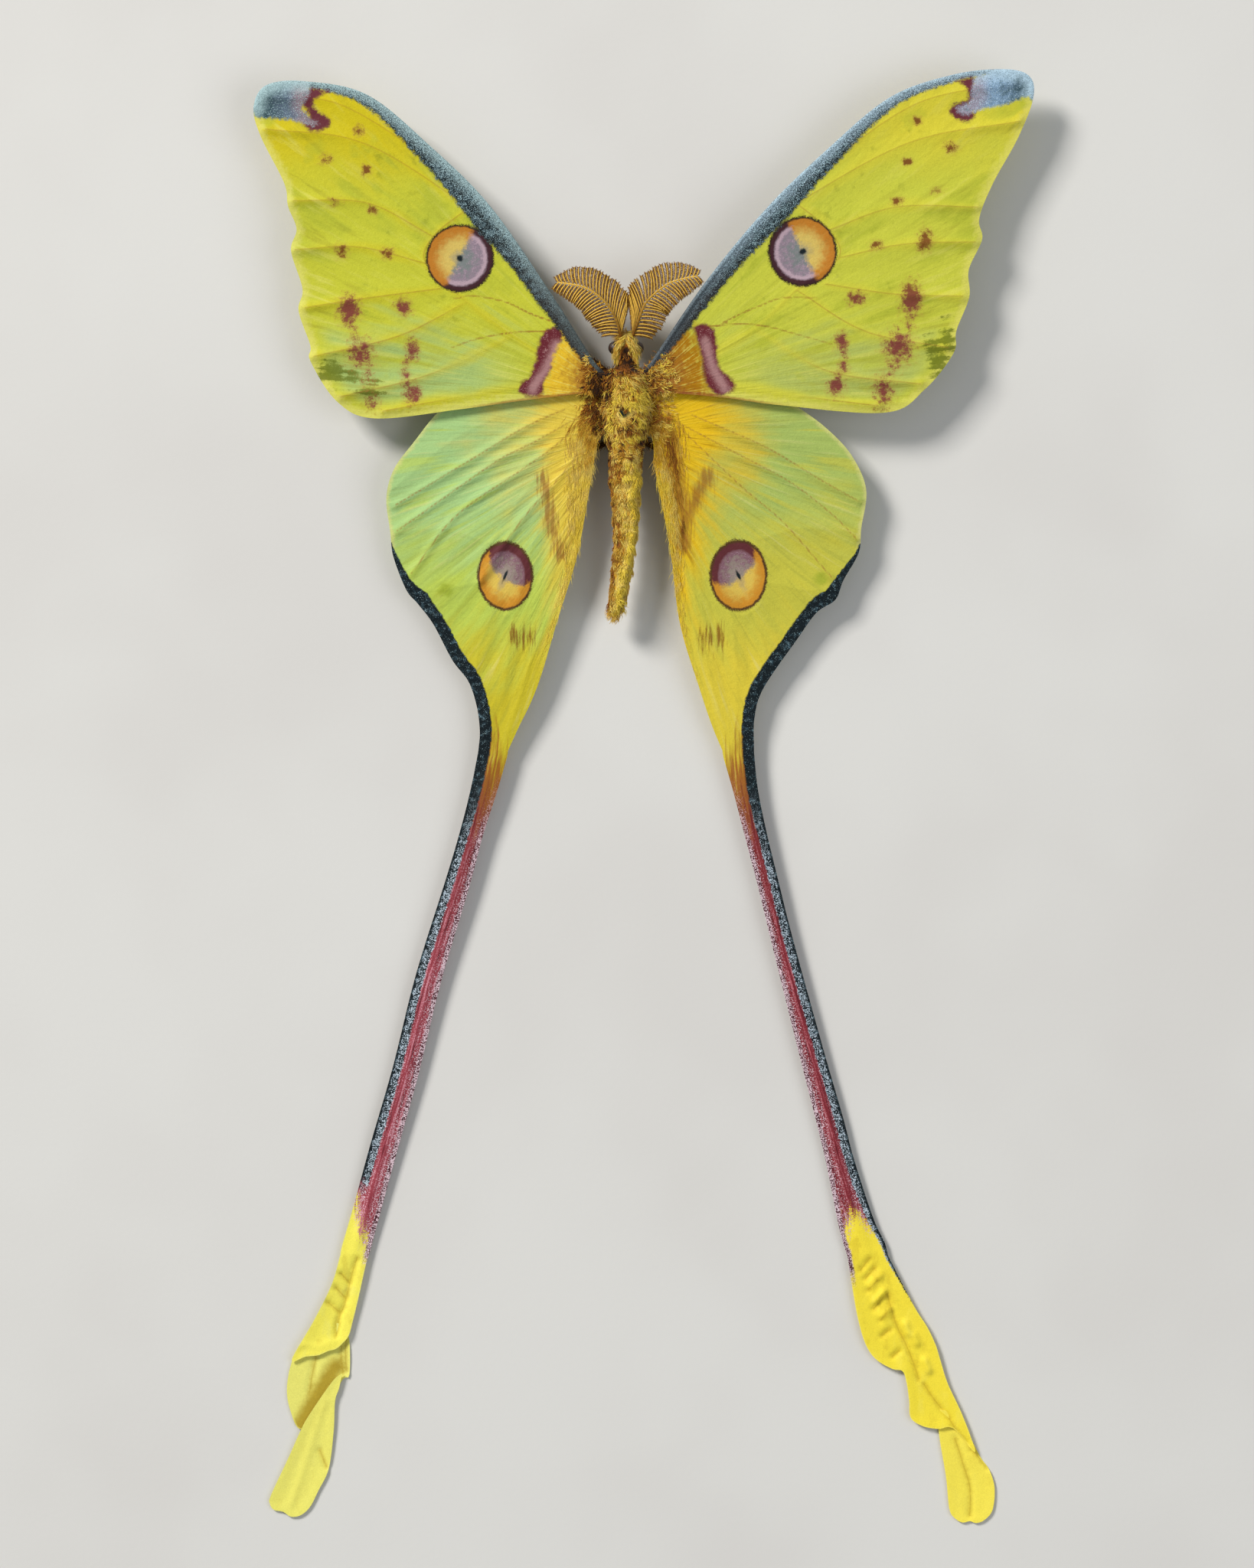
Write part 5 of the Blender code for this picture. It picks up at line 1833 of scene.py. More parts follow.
    def lobe_shell(self, lobe: Lobe) -> Shell:
        """Builds a lobe of the tail's end beyond the first blade.

        Args:
            lobe: the lobe.

        Returns:
            The lobe's closed surface.
        """
        rim = smooth_line([*lobe.outline, lobe.outline[0]], RIM_STEP)[:-1]
        sheet = Sheet.within(rim, lobe.guides(), WING_CELL)
        y = sheet.places[:, 1]
        reach = (rim[:, 1].max() - rim[:, 1].min()) * 0.6
        share = np.clip((rim[:, 1].max() - y) / reach, 0, 1)
        level = lobe.near_z + (lobe.far_z - lobe.near_z) * share + self.lobe_relief(sheet.places, lobe)
        fixed = dict.fromkeys(("top", "vein", "streak", "crest", "eye_ahead", "eye_aside"), FAR)
        fixed |= {"band": NO_BAND, "spot": ABSENT, "olive": ABSENT, "pale": lobe.pale}
        values = {key: np.full(len(y), value) for key, value in fixed.items()}
        edge = rim_distance(sheet.places, rim)
        values |= {
            "outer": edge,
            "inner": edge,
            "sweep": self.sweep(sheet.places),
            "root": self.root_distance(sheet.places),
            "shadow": distance(sheet.places, np.array(lobe.shadow)),
            "crease": self.crease_distance(sheet.places, lobe),
        }
        return sheet.closed(level, MEMBRANE, values)

    def build(self, finish: bpy.types.Material) -> None:
        """Makes the hindwing, its tail and the tail's end.

        Args:
            finish: the material of all three.
        """
        rim = self.rim()
        rim = rim[np.linalg.norm(np.diff(rim, axis=0, prepend=rim[-1:]), axis=1) > LEAST_EDGE]
        seams = []
        for y in (TAIL_ROOT_Y, TAIL_TIP_Y):
            reach = rim[np.abs(rim[:, 1] - y) < 1.5][:, 0]
            steps = np.linspace(reach.min() + 0.3, reach.max() - 0.3, 14)
            seams.append(np.column_stack((steps, np.full(len(steps), y))))
        guides = [*self.guides(), self.tail_middle, *seams, *self.lobes[0].guides()]
        sheet = Sheet.within(rim, guides, WING_CELL)
        middle_y = sheet.middles()[:, 1]
        cuts = (
            (self.name, Slot.HINDWING, middle_y > TAIL_ROOT_Y),
            (self.tail, Slot.TAIL_STEM, (middle_y <= TAIL_ROOT_Y) & (middle_y > TAIL_TIP_Y)),
            (self.tip, Slot.TAIL_END, middle_y <= TAIL_TIP_Y),
        )
        for name, slot, keep in cuts:
            part = sheet.part(keep)
            shell = part.closed(self.level(part.places), MEMBRANE, self.values(part.places))
            if name == self.tip:
                shell = Shell.joined([shell, *(self.lobe_shell(lobe) for lobe in self.lobes[1:])])
            shell.build(name, finish, slot, [name])


def forewings() -> tuple[Forewing, Forewing]:
    """Lays out both forewings, with their markings where they lie on each side.

    Returns:
        The left one and the right one.
    """
    left = ForewingMarks(
        spots=SPOTS_LEFT,
        olive=((-62.9, 86.7, 2.6, 2.6, 1.0), (-55.7, 82.8, 2.2, 1.7, 0.9), (-59.3, 85.6, 2.0, 2.0, 0.8)),
        eyespot=Eyespot((-37.2, 109.2), (6.9, 6.9), (-0.89, 0.45)),
        basal=((-19.8, 94.7), (-17.8, 95.3), (-16.3, 94.4), (-16.9, 92.2), (-18.1, 89.8), (-18.9, 86.7),
               (-20.2, 84.2), (-20.7, 81.5), (-23.6, 81.3), (-25.2, 82.2), (-25.0, 83.9), (-23.1, 85.3),
               (-21.9, 88.4), (-21.5, 91.1), (-20.7, 93.4)),
        lavender=((-17.6, 91.8), (-18.7, 89.0), (-20.0, 86.4), (-21.7, 84.2), (-22.5, 82.6)),
        lines=(((-21.4, 81.4), (-18.1, 81.6), (-14.2, 81.4)),
               ((-18.6, 96.4), (-23.4, 98.2), (-28.0, 100.4), (-34.4, 101.6), (-38.4, 101.0)),
               ((-19.4, 94.4), (-26.4, 94.2), (-33.5, 93.0), (-39.0, 91.2)),
               ((-56.2, 140.5), (-57.9, 140.9), (-59.6, 140.3), (-60.1, 139.0), (-59.3, 137.4),
                (-58.2, 135.7))),
        apex=((-79.1, 143.7), (-77.3, 144.6), (-72.3, 145.4), (-67.9, 145.0), (-67.8, 142.1), (-69.0, 140.1),
              (-67.8, 137.9), (-65.7, 136.4), (-68.2, 136.2), (-70.9, 137.0), (-74.0, 137.5), (-78.9, 138.0)),
        hook=((-69.0, 143.3), (-67.8, 143.8), (-63.7, 143.1), (-65.2, 142.2), (-66.5, 141.4), (-66.8, 140.0),
              (-65.7, 138.7), (-64.2, 138.1), (-63.3, 136.8), (-64.0, 135.6), (-66.3, 134.9), (-68.0, 135.4),
              (-69.0, 136.4), (-67.8, 137.4), (-67.8, 138.7), (-69.0, 140.1)),
        costa_widths=(1.3, 2.5, 3.3, 3.9, 5.3, 4.3, 3.3, 2.5, 1.9, 1.2, 0.8),
    )
    right = ForewingMarks(
        spots=SPOTS_RIGHT,
        olive=((61.5, 93.1, 1.8, 2.6, 0.9), (59.7, 88.4, 2.0, 2.2, 0.9), (58.6, 90.8, 1.8, 2.4, 0.8)),
        eyespot=Eyespot((32.1, 110.6), (7.0, 7.1), (0.89, 0.45)),
        basal=((10.0, 95.3), (11.9, 96.0), (14.0, 94.9), (14.7, 91.9), (15.0, 88.4), (16.0, 86.1),
               (17.8, 84.9), (18.4, 82.8), (15.7, 81.5), (13.7, 82.5), (12.3, 84.9), (11.9, 88.4),
               (11.0, 91.9)),
        lavender=((12.4, 92.4), (13.2, 89.6), (14.0, 87.0), (15.4, 84.6), (16.4, 82.8)),
        lines=(((15.0, 81.6), (11.5, 81.9), (7.0, 82.0)),
               ((15.7, 96.0), (19.2, 97.8), (23.4, 99.6), (28.0, 101.2), (35.1, 101.2)),
               ((12.2, 95.3), (19.2, 95.9), (25.1, 95.4), (31.6, 93.7), (38.0, 91.9)),
               ((53.0, 142.7), (55.0, 141.9), (57.7, 141.6), (57.7, 140.3), (56.5, 138.8), (55.6, 137.7))),
        apex=((66.8, 146.0), (72.6, 147.9), (77.3, 147.4), (79.2, 145.3), (79.1, 142.5), (76.8, 141.7),
              (73.9, 140.6), (70.3, 139.7), (67.4, 139.0), (65.0, 138.3), (63.0, 139.7), (65.6, 140.9),
              (66.2, 142.7)),
        hook=((62.7, 145.0), (65.0, 145.8), (67.4, 145.8), (66.8, 144.1), (67.4, 142.4), (66.5, 140.6),
              (65.3, 139.7), (67.1, 138.6), (66.3, 137.3), (64.7, 136.9), (62.8, 137.8), (61.8, 139.3),
              (63.0, 140.5), (65.3, 141.3), (65.6, 142.7), (65.1, 144.1)),
        costa_widths=(1.3, 2.5, 3.3, 3.8, 4.6, 3.7, 2.8, 2.1, 1.6, 1.1, 0.8),
    )
    return (
        Forewing("forewing_left", Side.LEFT, (-6.0, 84.4), left),
        Forewing("forewing_right", Side.RIGHT, (-1.2, 84.4), right),
    )


def hindwings() -> tuple[Hindwing, Hindwing]:
    """Lays out both hindwings with their tails, markings and twisted tail ends.

    Returns:
        The left one and the right one.
    """
    left = HindwingMarks(
        spots=((-26.3, 32.7, 1.1, 2.5, 0.9), (-24.4, 32.3, 0.9, 2.2, 0.8), (-22.9, 32.4, 0.8, 2.2, 0.8)),
        olive=((-40.1, 42.3, 1.6, 1.3, 1.0),),
        eyespot=Eyespot((-28.1, 45.1), (5.7, 7.1), (-0.5, -0.85)),
        streaks=(((-20.7, 65.1), (-19.6, 61.6), (-18.9, 56.4), (-18.0, 53.2), (-16.9, 49.4)),),
        crests=(((-12.5, 77.6), (-21.5, 72.5), (-29.2, 68.6), (-39.5, 61.6), (-50.0, 54.2)),
                ((-12.5, 76.3), (-18.9, 70.6), (-25.4, 66.1), (-38.2, 57.1), (-47.2, 45.5)),
                ((-15.7, 78.9), (-24.1, 75.1), (-35.0, 68.6), (-50.4, 59.4)),
                ((-11.6, 72.0), (-17.4, 64.6), (-24.6, 56.5), (-33.4, 44.0))),
    )
    right = HindwingMarks(
        spots=((11.8, 33.0, 0.9, 2.3, 0.8), (13.4, 32.4, 1.0, 2.4, 0.8), (15.6, 32.8, 1.1, 2.6, 0.95)),
        olive=((36.0, 44.5, 1.6, 1.3, 0.8),),
        eyespot=Eyespot((19.2, 45.2), (5.9, 7.3), (0.5, -0.85)),
        streaks=(((5.6, 72.5), (6.5, 66.1), (7.5, 60.3), (7.9, 55.2), (7.9, 51.3)),
                 ((12.9, 65.1), (11.0, 61.6), (9.1, 58.4), (8.1, 55.2))),
        crests=(((6.5, 76.3), (18.7, 69.9), (29.6, 64.1), (38.0, 57.7), (43.2, 52.5)),
                ((7.2, 75.1), (19.4, 63.5), (28.4, 55.8), (38.0, 44.9)),
                ((9.7, 77.6), (24.5, 71.2), (35.4, 64.8), (43.6, 60.2))),
    )
    left_lobes = (
        Lobe(
            outline=((-61.7, -92.8), (-63.5, -98.9), (-67.1, -106.2), (-71.6, -114.2), (-68.8, -113.6),
                     (-66.2, -113.3), (-64.3, -112.5), (-62.6, -112.0), (-61.3, -110.9), (-60.0, -109.3),
                     (-59.2, -106.4), (-58.0, -101.5), (-56.6, -95.2), (-55.9, -92.8)),
            near_z=TAIL_TIP_Z, far_z=TIP_ON_FLOOR_Z + TIP_LAYER, curl=0.3, pale=0.35,
            creases=(((-58.3, -93.5), (-59.4, -97.0), (-60.7, -102.5), (-62.0, -105.8), (-62.6, -109.4)),
                     ((-61.5, -96.8), (-59.9, -98.6)), ((-62.6, -99.6), (-60.6, -101.8)),
                     ((-64.2, -102.6), (-61.9, -104.6))),
            folds=(((-69.8, -111.2), (-66.0, -111.4), (-63.0, -110.2)),),
        ),
        Lobe(
            outline=((-67.6, -108.4), (-71.2, -113.6), (-72.6, -119.7), (-71.9, -124.7), (-69.6, -128.4),
                     (-64.4, -123.5), (-61.2, -118.2), (-59.9, -117.3), (-60.0, -109.9), (-61.5, -107.3),
                     (-64.7, -106.3)),
            near_z=TIP_ON_FLOOR_Z, far_z=TIP_ON_FLOOR_Z, curl=0.1, pale=1.0,
            creases=(((-66.7, -113.8), (-67.4, -117.0), (-68.0, -120.8)),
                     ((-61.5, -111.6), (-61.6, -114.0), (-61.2, -116.8)),
                     ((-60.6, -110.2), (-60.7, -113.0), (-60.5, -116.4))),
            shadow=((-62.6, -115.6), (-66.4, -121.4), (-69.9, -127.6)),
        ),
        Lobe(
            outline=((-61.3, -117.0), (-63.3, -118.6), (-67.9, -125.2), (-69.8, -128.6), (-72.4, -134.4),
                     (-75.9, -141.9), (-76.1, -143.5), (-75.3, -144.8), (-73.4, -145.2), (-71.8, -146.2),
                     (-69.8, -145.9), (-67.9, -144.2), (-66.2, -140.9), (-64.1, -136.4), (-63.1, -128.9),
                     (-62.8, -122.7), (-62.0, -120.1)),
            near_z=TIP_ON_FLOOR_Z + TIP_LAYER, far_z=TIP_ON_FLOOR_Z, curl=0.25, pale=0.85,
            creases=(((-65.9, -132.8), (-64.6, -136.0)),),
            folds=(((-64.5, -122.5), (-66.4, -127.4), (-69.8, -138.3), (-71.8, -143.8)),),
        ),
    )
    right_lobes = (
        Lobe(
            outline=((41.4, -92.8), (42.4, -99.4), (43.6, -106.0), (45.1, -111.0), (47.2, -114.1),
                     (50.6, -116.1), (52.6, -116.5), (53.4, -118.6), (54.0, -122.6), (54.3, -126.0),
                     (56.7, -127.7), (59.9, -128.3), (62.9, -128.2), (67.3, -133.0), (66.5, -129.8),
                     (64.5, -124.7), (61.8, -118.9), (60.3, -114.1), (59.4, -111.2), (57.7, -107.6),
                     (55.7, -104.5), (53.3, -100.1), (49.6, -92.8)),
            near_z=TAIL_TIP_Z, far_z=TIP_ON_FLOOR_Z + TIP_LAYER, curl=0.3, pale=0.2, fold_height=0.75,
            creases=(((49.5, -100.8), (50.4, -103.9), (51.6, -107.6), (53.3, -111.0), (54.7, -114.4),
                      (56.0, -118.2)),
                     ((57.0, -119.2), (59.1, -122.3), (61.8, -125.7), (63.5, -128.4), (65.6, -131.1)),
                     ((44.1, -96.0), (46.0, -93.5)), ((45.1, -97.7), (46.9, -95.6)),
                     ((45.6, -100.1), (47.5, -98.1)), ((46.8, -103.9), (48.5, -101.8)),
                     ((48.2, -106.2), (49.5, -104.5)), ((48.5, -109.4), (50.2, -108.0)),
                     ((50.6, -113.6), (52.0, -112.4))),
            folds=(((53.2, -106.9), (53.9, -108.7)), ((55.0, -109.4), (55.6, -110.8)),
                   ((57.2, -114.4), (58.0, -116.4)), ((46.3, -99.4), (48.0, -97.2)),
                   ((47.4, -102.2), (48.8, -100.4)), ((48.6, -105.6), (50.0, -104.0))),
        ),
        Lobe(
            outline=((59.7, -124.3), (60.2, -130.2), (61.5, -138.0), (62.2, -144.6), (63.3, -146.5),
                     (64.9, -147.4), (66.4, -147.1), (67.6, -147.5), (69.3, -146.9), (71.0, -144.8),
                     (71.4, -140.3), (70.3, -136.6), (68.6, -134.2), (66.2, -129.6), (63.6, -125.3)),
            near_z=TIP_ON_FLOOR_Z, far_z=TIP_ON_FLOOR_Z, curl=0.2, pale=0.75,
            creases=(((67.0, -132.8), (68.6, -134.6), (70.0, -136.3)),
                     ((63.4, -130.4), (65.0, -135.5), (66.4, -140.4), (66.4, -146.0))),
        ),
    )
    return (
        Hindwing("hindwing_left", Side.LEFT, (-6.0, 78.2), left, left_lobes),
        Hindwing("hindwing_right", Side.RIGHT, (-1.2, 78.2), right, right_lobes),
    )


def forewing_finishes() -> tuple[ForewingFinish, ForewingFinish]:
    """Finishes of the forewings; the right one is warmer, and its golden base darker with painted shade.

    Returns:
        The left one's and the right one's.
    """
    return (
        ForewingFinish(),
        ForewingFinish(
            lemon=screen(200, 202, 66), deep=screen(216, 204, 58), mint=screen(174, 186, 96),
            # The right wing's golden base darker: painted shade
            base=screen(172, 118, 8), cream=screen(226, 218, 108),
            # Pale scales and painted highlight of the front edge
            apex=screen(140, 170, 200), costa_light=screen(200, 228, 244),
        ),
    )


def tailed_finishes() -> tuple[TailedWingFinish, TailedWingFinish]:
    """Finishes of the hindwings; the right one is browner.

    Returns:
        The left one's and the right one's.
    """
    return (
        TailedWingFinish(yellow_from=-86.0, yellow_lean=1.0, outer_end=-81.0, inner_end=-96.0),
        TailedWingFinish(
            mint=screen(170, 190, 98), leaf=screen(202, 196, 70), gold=screen(224, 202, 62),
            # Painted highlight and shade of the crumpled folds
            inner=screen(232, 188, 22), inner_pale=screen(240, 204, 52), inner_dark=screen(142, 88, 16),
            red=screen(132, 46, 54), rose=screen(188, 106, 114),
            tail_end=screen(250, 226, 54), tail_pale=screen(254, 236, 92), mint_below=58.0, streak_width=2.8,
            yellow_from=-88.0, yellow_lean=0.0, yellow_core=1.5, outer_end=-105.0, inner_end=-100.0,
        ),
    )


@dataclass
class Body:
    """The moth's skin from head to abdomen: stations as y, x, half width, half height and z."""

    stations: tuple[tuple[float, ...], ...] = (
        (94.3, -3.6, 0.5, 0.5, 7.3), (93.4, -3.6, 1.3, 1.3, 7.5), (92.2, -3.6, 1.9, 1.9, 7.7),
        (90.6, -3.6, 2.15, 2.2, 7.8), (89.0, -3.6, 2.0, 2.1, 7.9), (87.6, -3.6, 1.95, 2.0, 7.9),
        (86.2, -3.6, 3.0, 2.9, 7.9), (84.5, -3.6, 4.0, 3.7, 7.8), (81.6, -3.6, 4.6, 4.2, 7.8),
        (78.0, -3.6, 4.5, 4.3, 7.8), (74.0, -3.6, 3.8, 4.0, 7.7), (70.4, -3.65, 3.3, 3.5, 7.4),
        (67.0, -3.7, 3.2, 3.1, 7.05), (64.0, -3.7, 3.15, 3.05, 6.9), (60.0, -3.7, 2.7, 2.7, 6.7),
        (52.4, -3.8, 2.2, 2.25, 6.3), (45.9, -4.5, 1.95, 2.0, 6.0), (41.5, -5.1, 1.7, 1.75, 5.8),
        (38.6, -5.6, 1.2, 1.25, 5.6), (37.2, -5.85, 0.5, 0.5, 5.5),
    )
    rows: int = 150
    sides: int = 48
    bare_spot: Point = (-4.0, 77.9)

    def __post_init__(self) -> None:
        """Smooths the stations."""
        self.line = smooth_line(self.stations, 0.5)[::-1]

    def place(self, y: Array, turn: Array) -> Array:
        """Places on the skin.

        Args:
            y: y of each place.
            turn: its angle round the body, from +X over the back.

        Returns:
            Rows of x, y and z.
        """
        x, a, b, z = (np.interp(y, self.line[:, 0], self.line[:, k]) for k in range(1, 5))
        ring = 1 - 0.035 * np.cos((y - ABDOMEN_TOP_Y) * RING_PACE) * (y < ABDOMEN_TOP_Y)
        found = np.stack((x + a * ring * np.cos(turn), y, z + b * ring * np.sin(turn)), axis=-1)
        near = distance_to(found[:, :2], [ABDOMEN_RIDGE], STREAK_STEP)
        found[:, 2] += 0.75 * hump(near, 0.9) * (np.sin(turn) > 0) * fade(y, 70, ABDOMEN_TOP_Y)
        return found

    def surface(self, y: Array, turn: Array) -> tuple[Array, Array]:
        """Places on the skin and the ways that it faces.

        Args:
            y: y of each place.
            turn: its angle round the body, from +X over the back.

        Returns:
            The places and the outward directions there.
        """
        by_turn = self.place(y, turn + 0.01) - self.place(y, turn - 0.01)
        by_y = self.place(y + 0.05, turn) - self.place(y - 0.05, turn)
        return self.place(y, turn), unit(np.cross(by_y, by_turn))

    def unwrap(self, y: Array, turn: Array) -> Array:
        """Place on the skin's own unwrap, from 0 to 1 both ways."""
        shares = np.column_stack((turn / (2 * math.pi) % 1.0, (y - SKIN_FROM_Y) / SKIN_LENGTH))
        return shares * (1 - 2 * UNWRAP_MARGIN) + UNWRAP_MARGIN

    def hue(self, places: Array) -> Array:
        """Where the skin's colour lies from cream, near 0, over gold to brown, near 1.

        Args:
            places: rows of x, y and z.

        Returns:
            The hue at each place.
        """
        x, y, z = places.T
        near = distance_to(places[:, :2], [ABDOMEN_RIDGE], STREAK_STEP)
        abdomen = 0.3 * fade(near, 0.6, 1.5) - 0.03
        notch = 0.5 - 0.5 * np.cos((y - ABDOMEN_TOP_Y) * RING_PACE)
        middle = np.interp(y, self.line[:, 0], self.line[:, 1])
        abdomen = abdomen + (0.16 + 0.06 * notch) * fade(x - middle, -0.3, -1.5)
        flank = np.where(x < BODY_X, 0.42, 0.2)
        thorax = 0.22 + flank * fade(np.abs(x - BODY_X), 2.0, 4.2) + 0.18 * fade(np.abs(y - 79), 4, 9)
        thorax = thorax - 0.3 * fade(np.hypot(x + 1.2, (y - 80.6) * 0.7), 2.4, 0.8)
        brow = distance_to(places[:, :2], BROWS, MARK_STEP)
        head = 0.2 + 0.72 * fade(brow, 0.6, 1.3)
        hue = abdomen + (thorax - abdomen) * fade(y, 66, 70)
        hue = hue + (head - hue) * fade(y, 85.0, 87.5)
        return hue + 0.15 * fade(z, 7.0, 4.0)

    def bare(self, places: Array) -> Array:
        """How bare the skin is: 1 at the rubbed spot on the back."""
        reach = np.hypot(places[:, 0] - self.bare_spot[0], places[:, 1] - self.bare_spot[1])
        return fade(reach, 1.3, 0.8) * (places[:, 2] > 9)

    def build(self, finish: bpy.types.Material) -> None:
        """Makes the skin.

        Args:
            finish: the skin's material.
        """
        rows, sides = self.rows, self.sides
        ys = np.linspace(self.line[0, 0], self.line[-1, 0], rows)
        grid_y, grid_turn = np.meshgrid(ys, np.arange(sides) * 2 * math.pi / sides, indexing="ij")
        points = self.place(grid_y.ravel(), grid_turn.ravel())
        ring, side = np.divmod(np.arange((rows - 1) * sides), sides)
        low, low_next = ring * sides + side, ring * sides + (side + 1) % sides
        faces = [
            np.column_stack((low, low + sides, low_next + sides)),
            np.column_stack((low, low_next + sides, low_next)),
        ]
        caps = np.arange(1, sides - 1)
        last = (rows - 1) * sides
        faces.append(np.column_stack((np.zeros(sides - 2, int), caps, caps + 1)))
        faces.append(np.column_stack((np.full(sides - 2, last), last + caps + 1, last + caps)))
        values = {"hue": self.hue(points) + 0.06, "bare": self.bare(points)}
        # The skin takes the painted shade of a tuft's root
        values["tip"] = np.full(len(points), 0.25)
        nodes = ["head", "thorax", "abdomen"]
        Shell(points, np.vstack(faces), values).build("skin", finish, Slot.WOOL, nodes)


@dataclass
class Coat:
    """Tufts of one kind of hair.

    Attributes:
        width: greatest width of a tuft.
        thickness: greatest thickness of a tuft.
        lift: how far a tuft rises, as a share of its length.
        curl: how much it winds, from 0 to about 1.
        rings: rings of points along a tuft.
        sunk: how deep its root sits in the skin.
        lock: how many neighbours curl as one lock.
        gather: how far the tips of a lock draw together, from 0 to 1.
        spread: how much the locks differ in colour.
    """

    width: float
    thickness: float
    lift: float
    curl: float
    rings: int = 5
    sunk: float = 0.15
    lock: int = 14
    gather: float = 0.55
    spread: float = 0.14

    def locks(self, places: Array, draw: np.random.Generator) -> tuple[Array, Array]:
        """Shares the roots out among locks.

        Args:
            places: the roots' places.
            draw: the seeded source of all chance.

        Returns:
            The number of the lock that each root belongs to, and the middle of each lock.
        """
        middles = places[draw.permutation(len(places))[: max(1, len(places) // self.lock)]]
        tree = KDTree(len(middles))
        for number, middle in enumerate(middles):
            tree.insert(middle, number)
        tree.balance()
        return np.array([tree.find(place)[1] for place in places]), middles

    def grow(self, roots: "Roots", draw: np.random.Generator) -> Shell:
        """Hair on the given roots.

        Args:
            roots: where the tufts grow and how they lie.
            draw: the seeded source of all chance.

        Returns:
            All tufts as one surface.
        """
        count = len(roots.places)
        lock, middles = self.locks(roots.places, draw)

        def shared(low: float, high: float, own: float) -> Array:
            """Numbers that a lock has in common, each tuft a little off."""
            return draw.uniform(low, high, (len(middles), 1))[lock] + draw.uniform(-own, own, (count, 1))

        t = np.linspace(0, 1, self.rings)[None]
        up = roots.normals
        lie = unit(roots.lies - up * np.sum(roots.lies * up, axis=1, keepdims=True))
        aside = np.cross(up, lie)
        lie = unit(lie + aside * shared(-1.1, 1.1, 0.25) * self.curl)
        aside = np.cross(up, lie)
        length = roots.lengths[:, None]
        curl = self.curl * shared(0.4, 1.3, 0.15)
        phase = shared(0, 2 * math.pi, 0.5)
        winding = shared(2.5, 5.5, 0.4)
        lift = self.lift * shared(0.5, 1.6, 0.2)
        forward = length * t * (1 - 0.2 * curl * t)
        sway = length * curl * 0.3 * (np.sin(phase + winding * t) - np.sin(phase))
        wave = 0.16 * (np.cos(phase + winding * t) - np.cos(phase))
        rise = length * (lift * t * (1.25 - 0.75 * t) + curl * wave)
        rise = np.maximum(rise, -0.05 + 0.04 * t * length) - self.sunk
        paths = roots.places[:, None] + lie[:, None] * forward[..., None]
        paths = paths + aside[:, None] * sway[..., None] + up[:, None] * rise[..., None]
        paths = paths + (middles[lock] - roots.places)[:, None] * (t * self.gather)[..., None]
        taper = np.interp(t[0], (0, 0.3, 0.7, 1), (0.8, 1.0, 0.7, 0.12))
        size = draw.uniform(0.6, 1.35, (count, 1)) * taper
        shell = strands(paths, self.width * size, self.thickness * size, up, 3)
        each = self.rings * 3
        ring_place = np.column_stack((np.tile(np.arange(3) / 2, self.rings), shell.values["tip"][:each]))
        patch = np.repeat(roots.unwrap, each, axis=0) + np.tile(ring_place, (count, 1)) * TUFT_PATCH
        hue = roots.hues + shared(-2.2, 2.2, 0.7)[:, 0] * self.spread
        shell.values |= {"hue": np.repeat(hue, each), "bare": np.zeros(len(shell.points))}
        shell.values |= {"patch_u": patch[:, 0], "patch_v": patch[:, 1]}
        return shell


@dataclass
class Roots:
    """Where tufts grow: places, outward directions, lie, lengths, hues and places on the unwrap."""

    places: Array
    normals: Array
    lies: Array
    lengths: Array
    hues: Array
    unwrap: Array

    def kept(self, keep: Array) -> "Roots":
        """The roots that are kept."""
        return Roots(*(numbers[keep] for numbers in vars(self).values()))


def body_roots(body: Body, low: float, high: float, gap: float,
               draw: np.random.Generator) -> tuple[Roots, Array]:
    """Evenly spread roots on a length of the body.

    Args:
        body: the skin that they grow on.
        low: lowest y.
        high: highest y.
        gap: distance between neighbours.
        draw: the seeded source of all chance.

    Returns:
        The roots, still without lie and lengths, and the angle of each round the body.
    """
    ys, turns = [], []
    for y in np.arange(low, high, gap):
        size = np.interp(y, body.line[:, 0], body.line[:, 2])
        count = max(4, int(2 * math.pi * size / gap))
        turns.append((np.arange(count) + draw.random(count)) / count * 2 * math.pi)
        ys.append(y + draw.uniform(-0.5, 0.5, count) * gap)
    y, turn = np.concatenate(ys), np.concatenate(turns)
    places, normals = body.surface(y, turn)
    empty = np.zeros(len(y))
    return Roots(places, normals, np.zeros_like(places), empty, body.hue(places), body.unwrap(y, turn)), turn


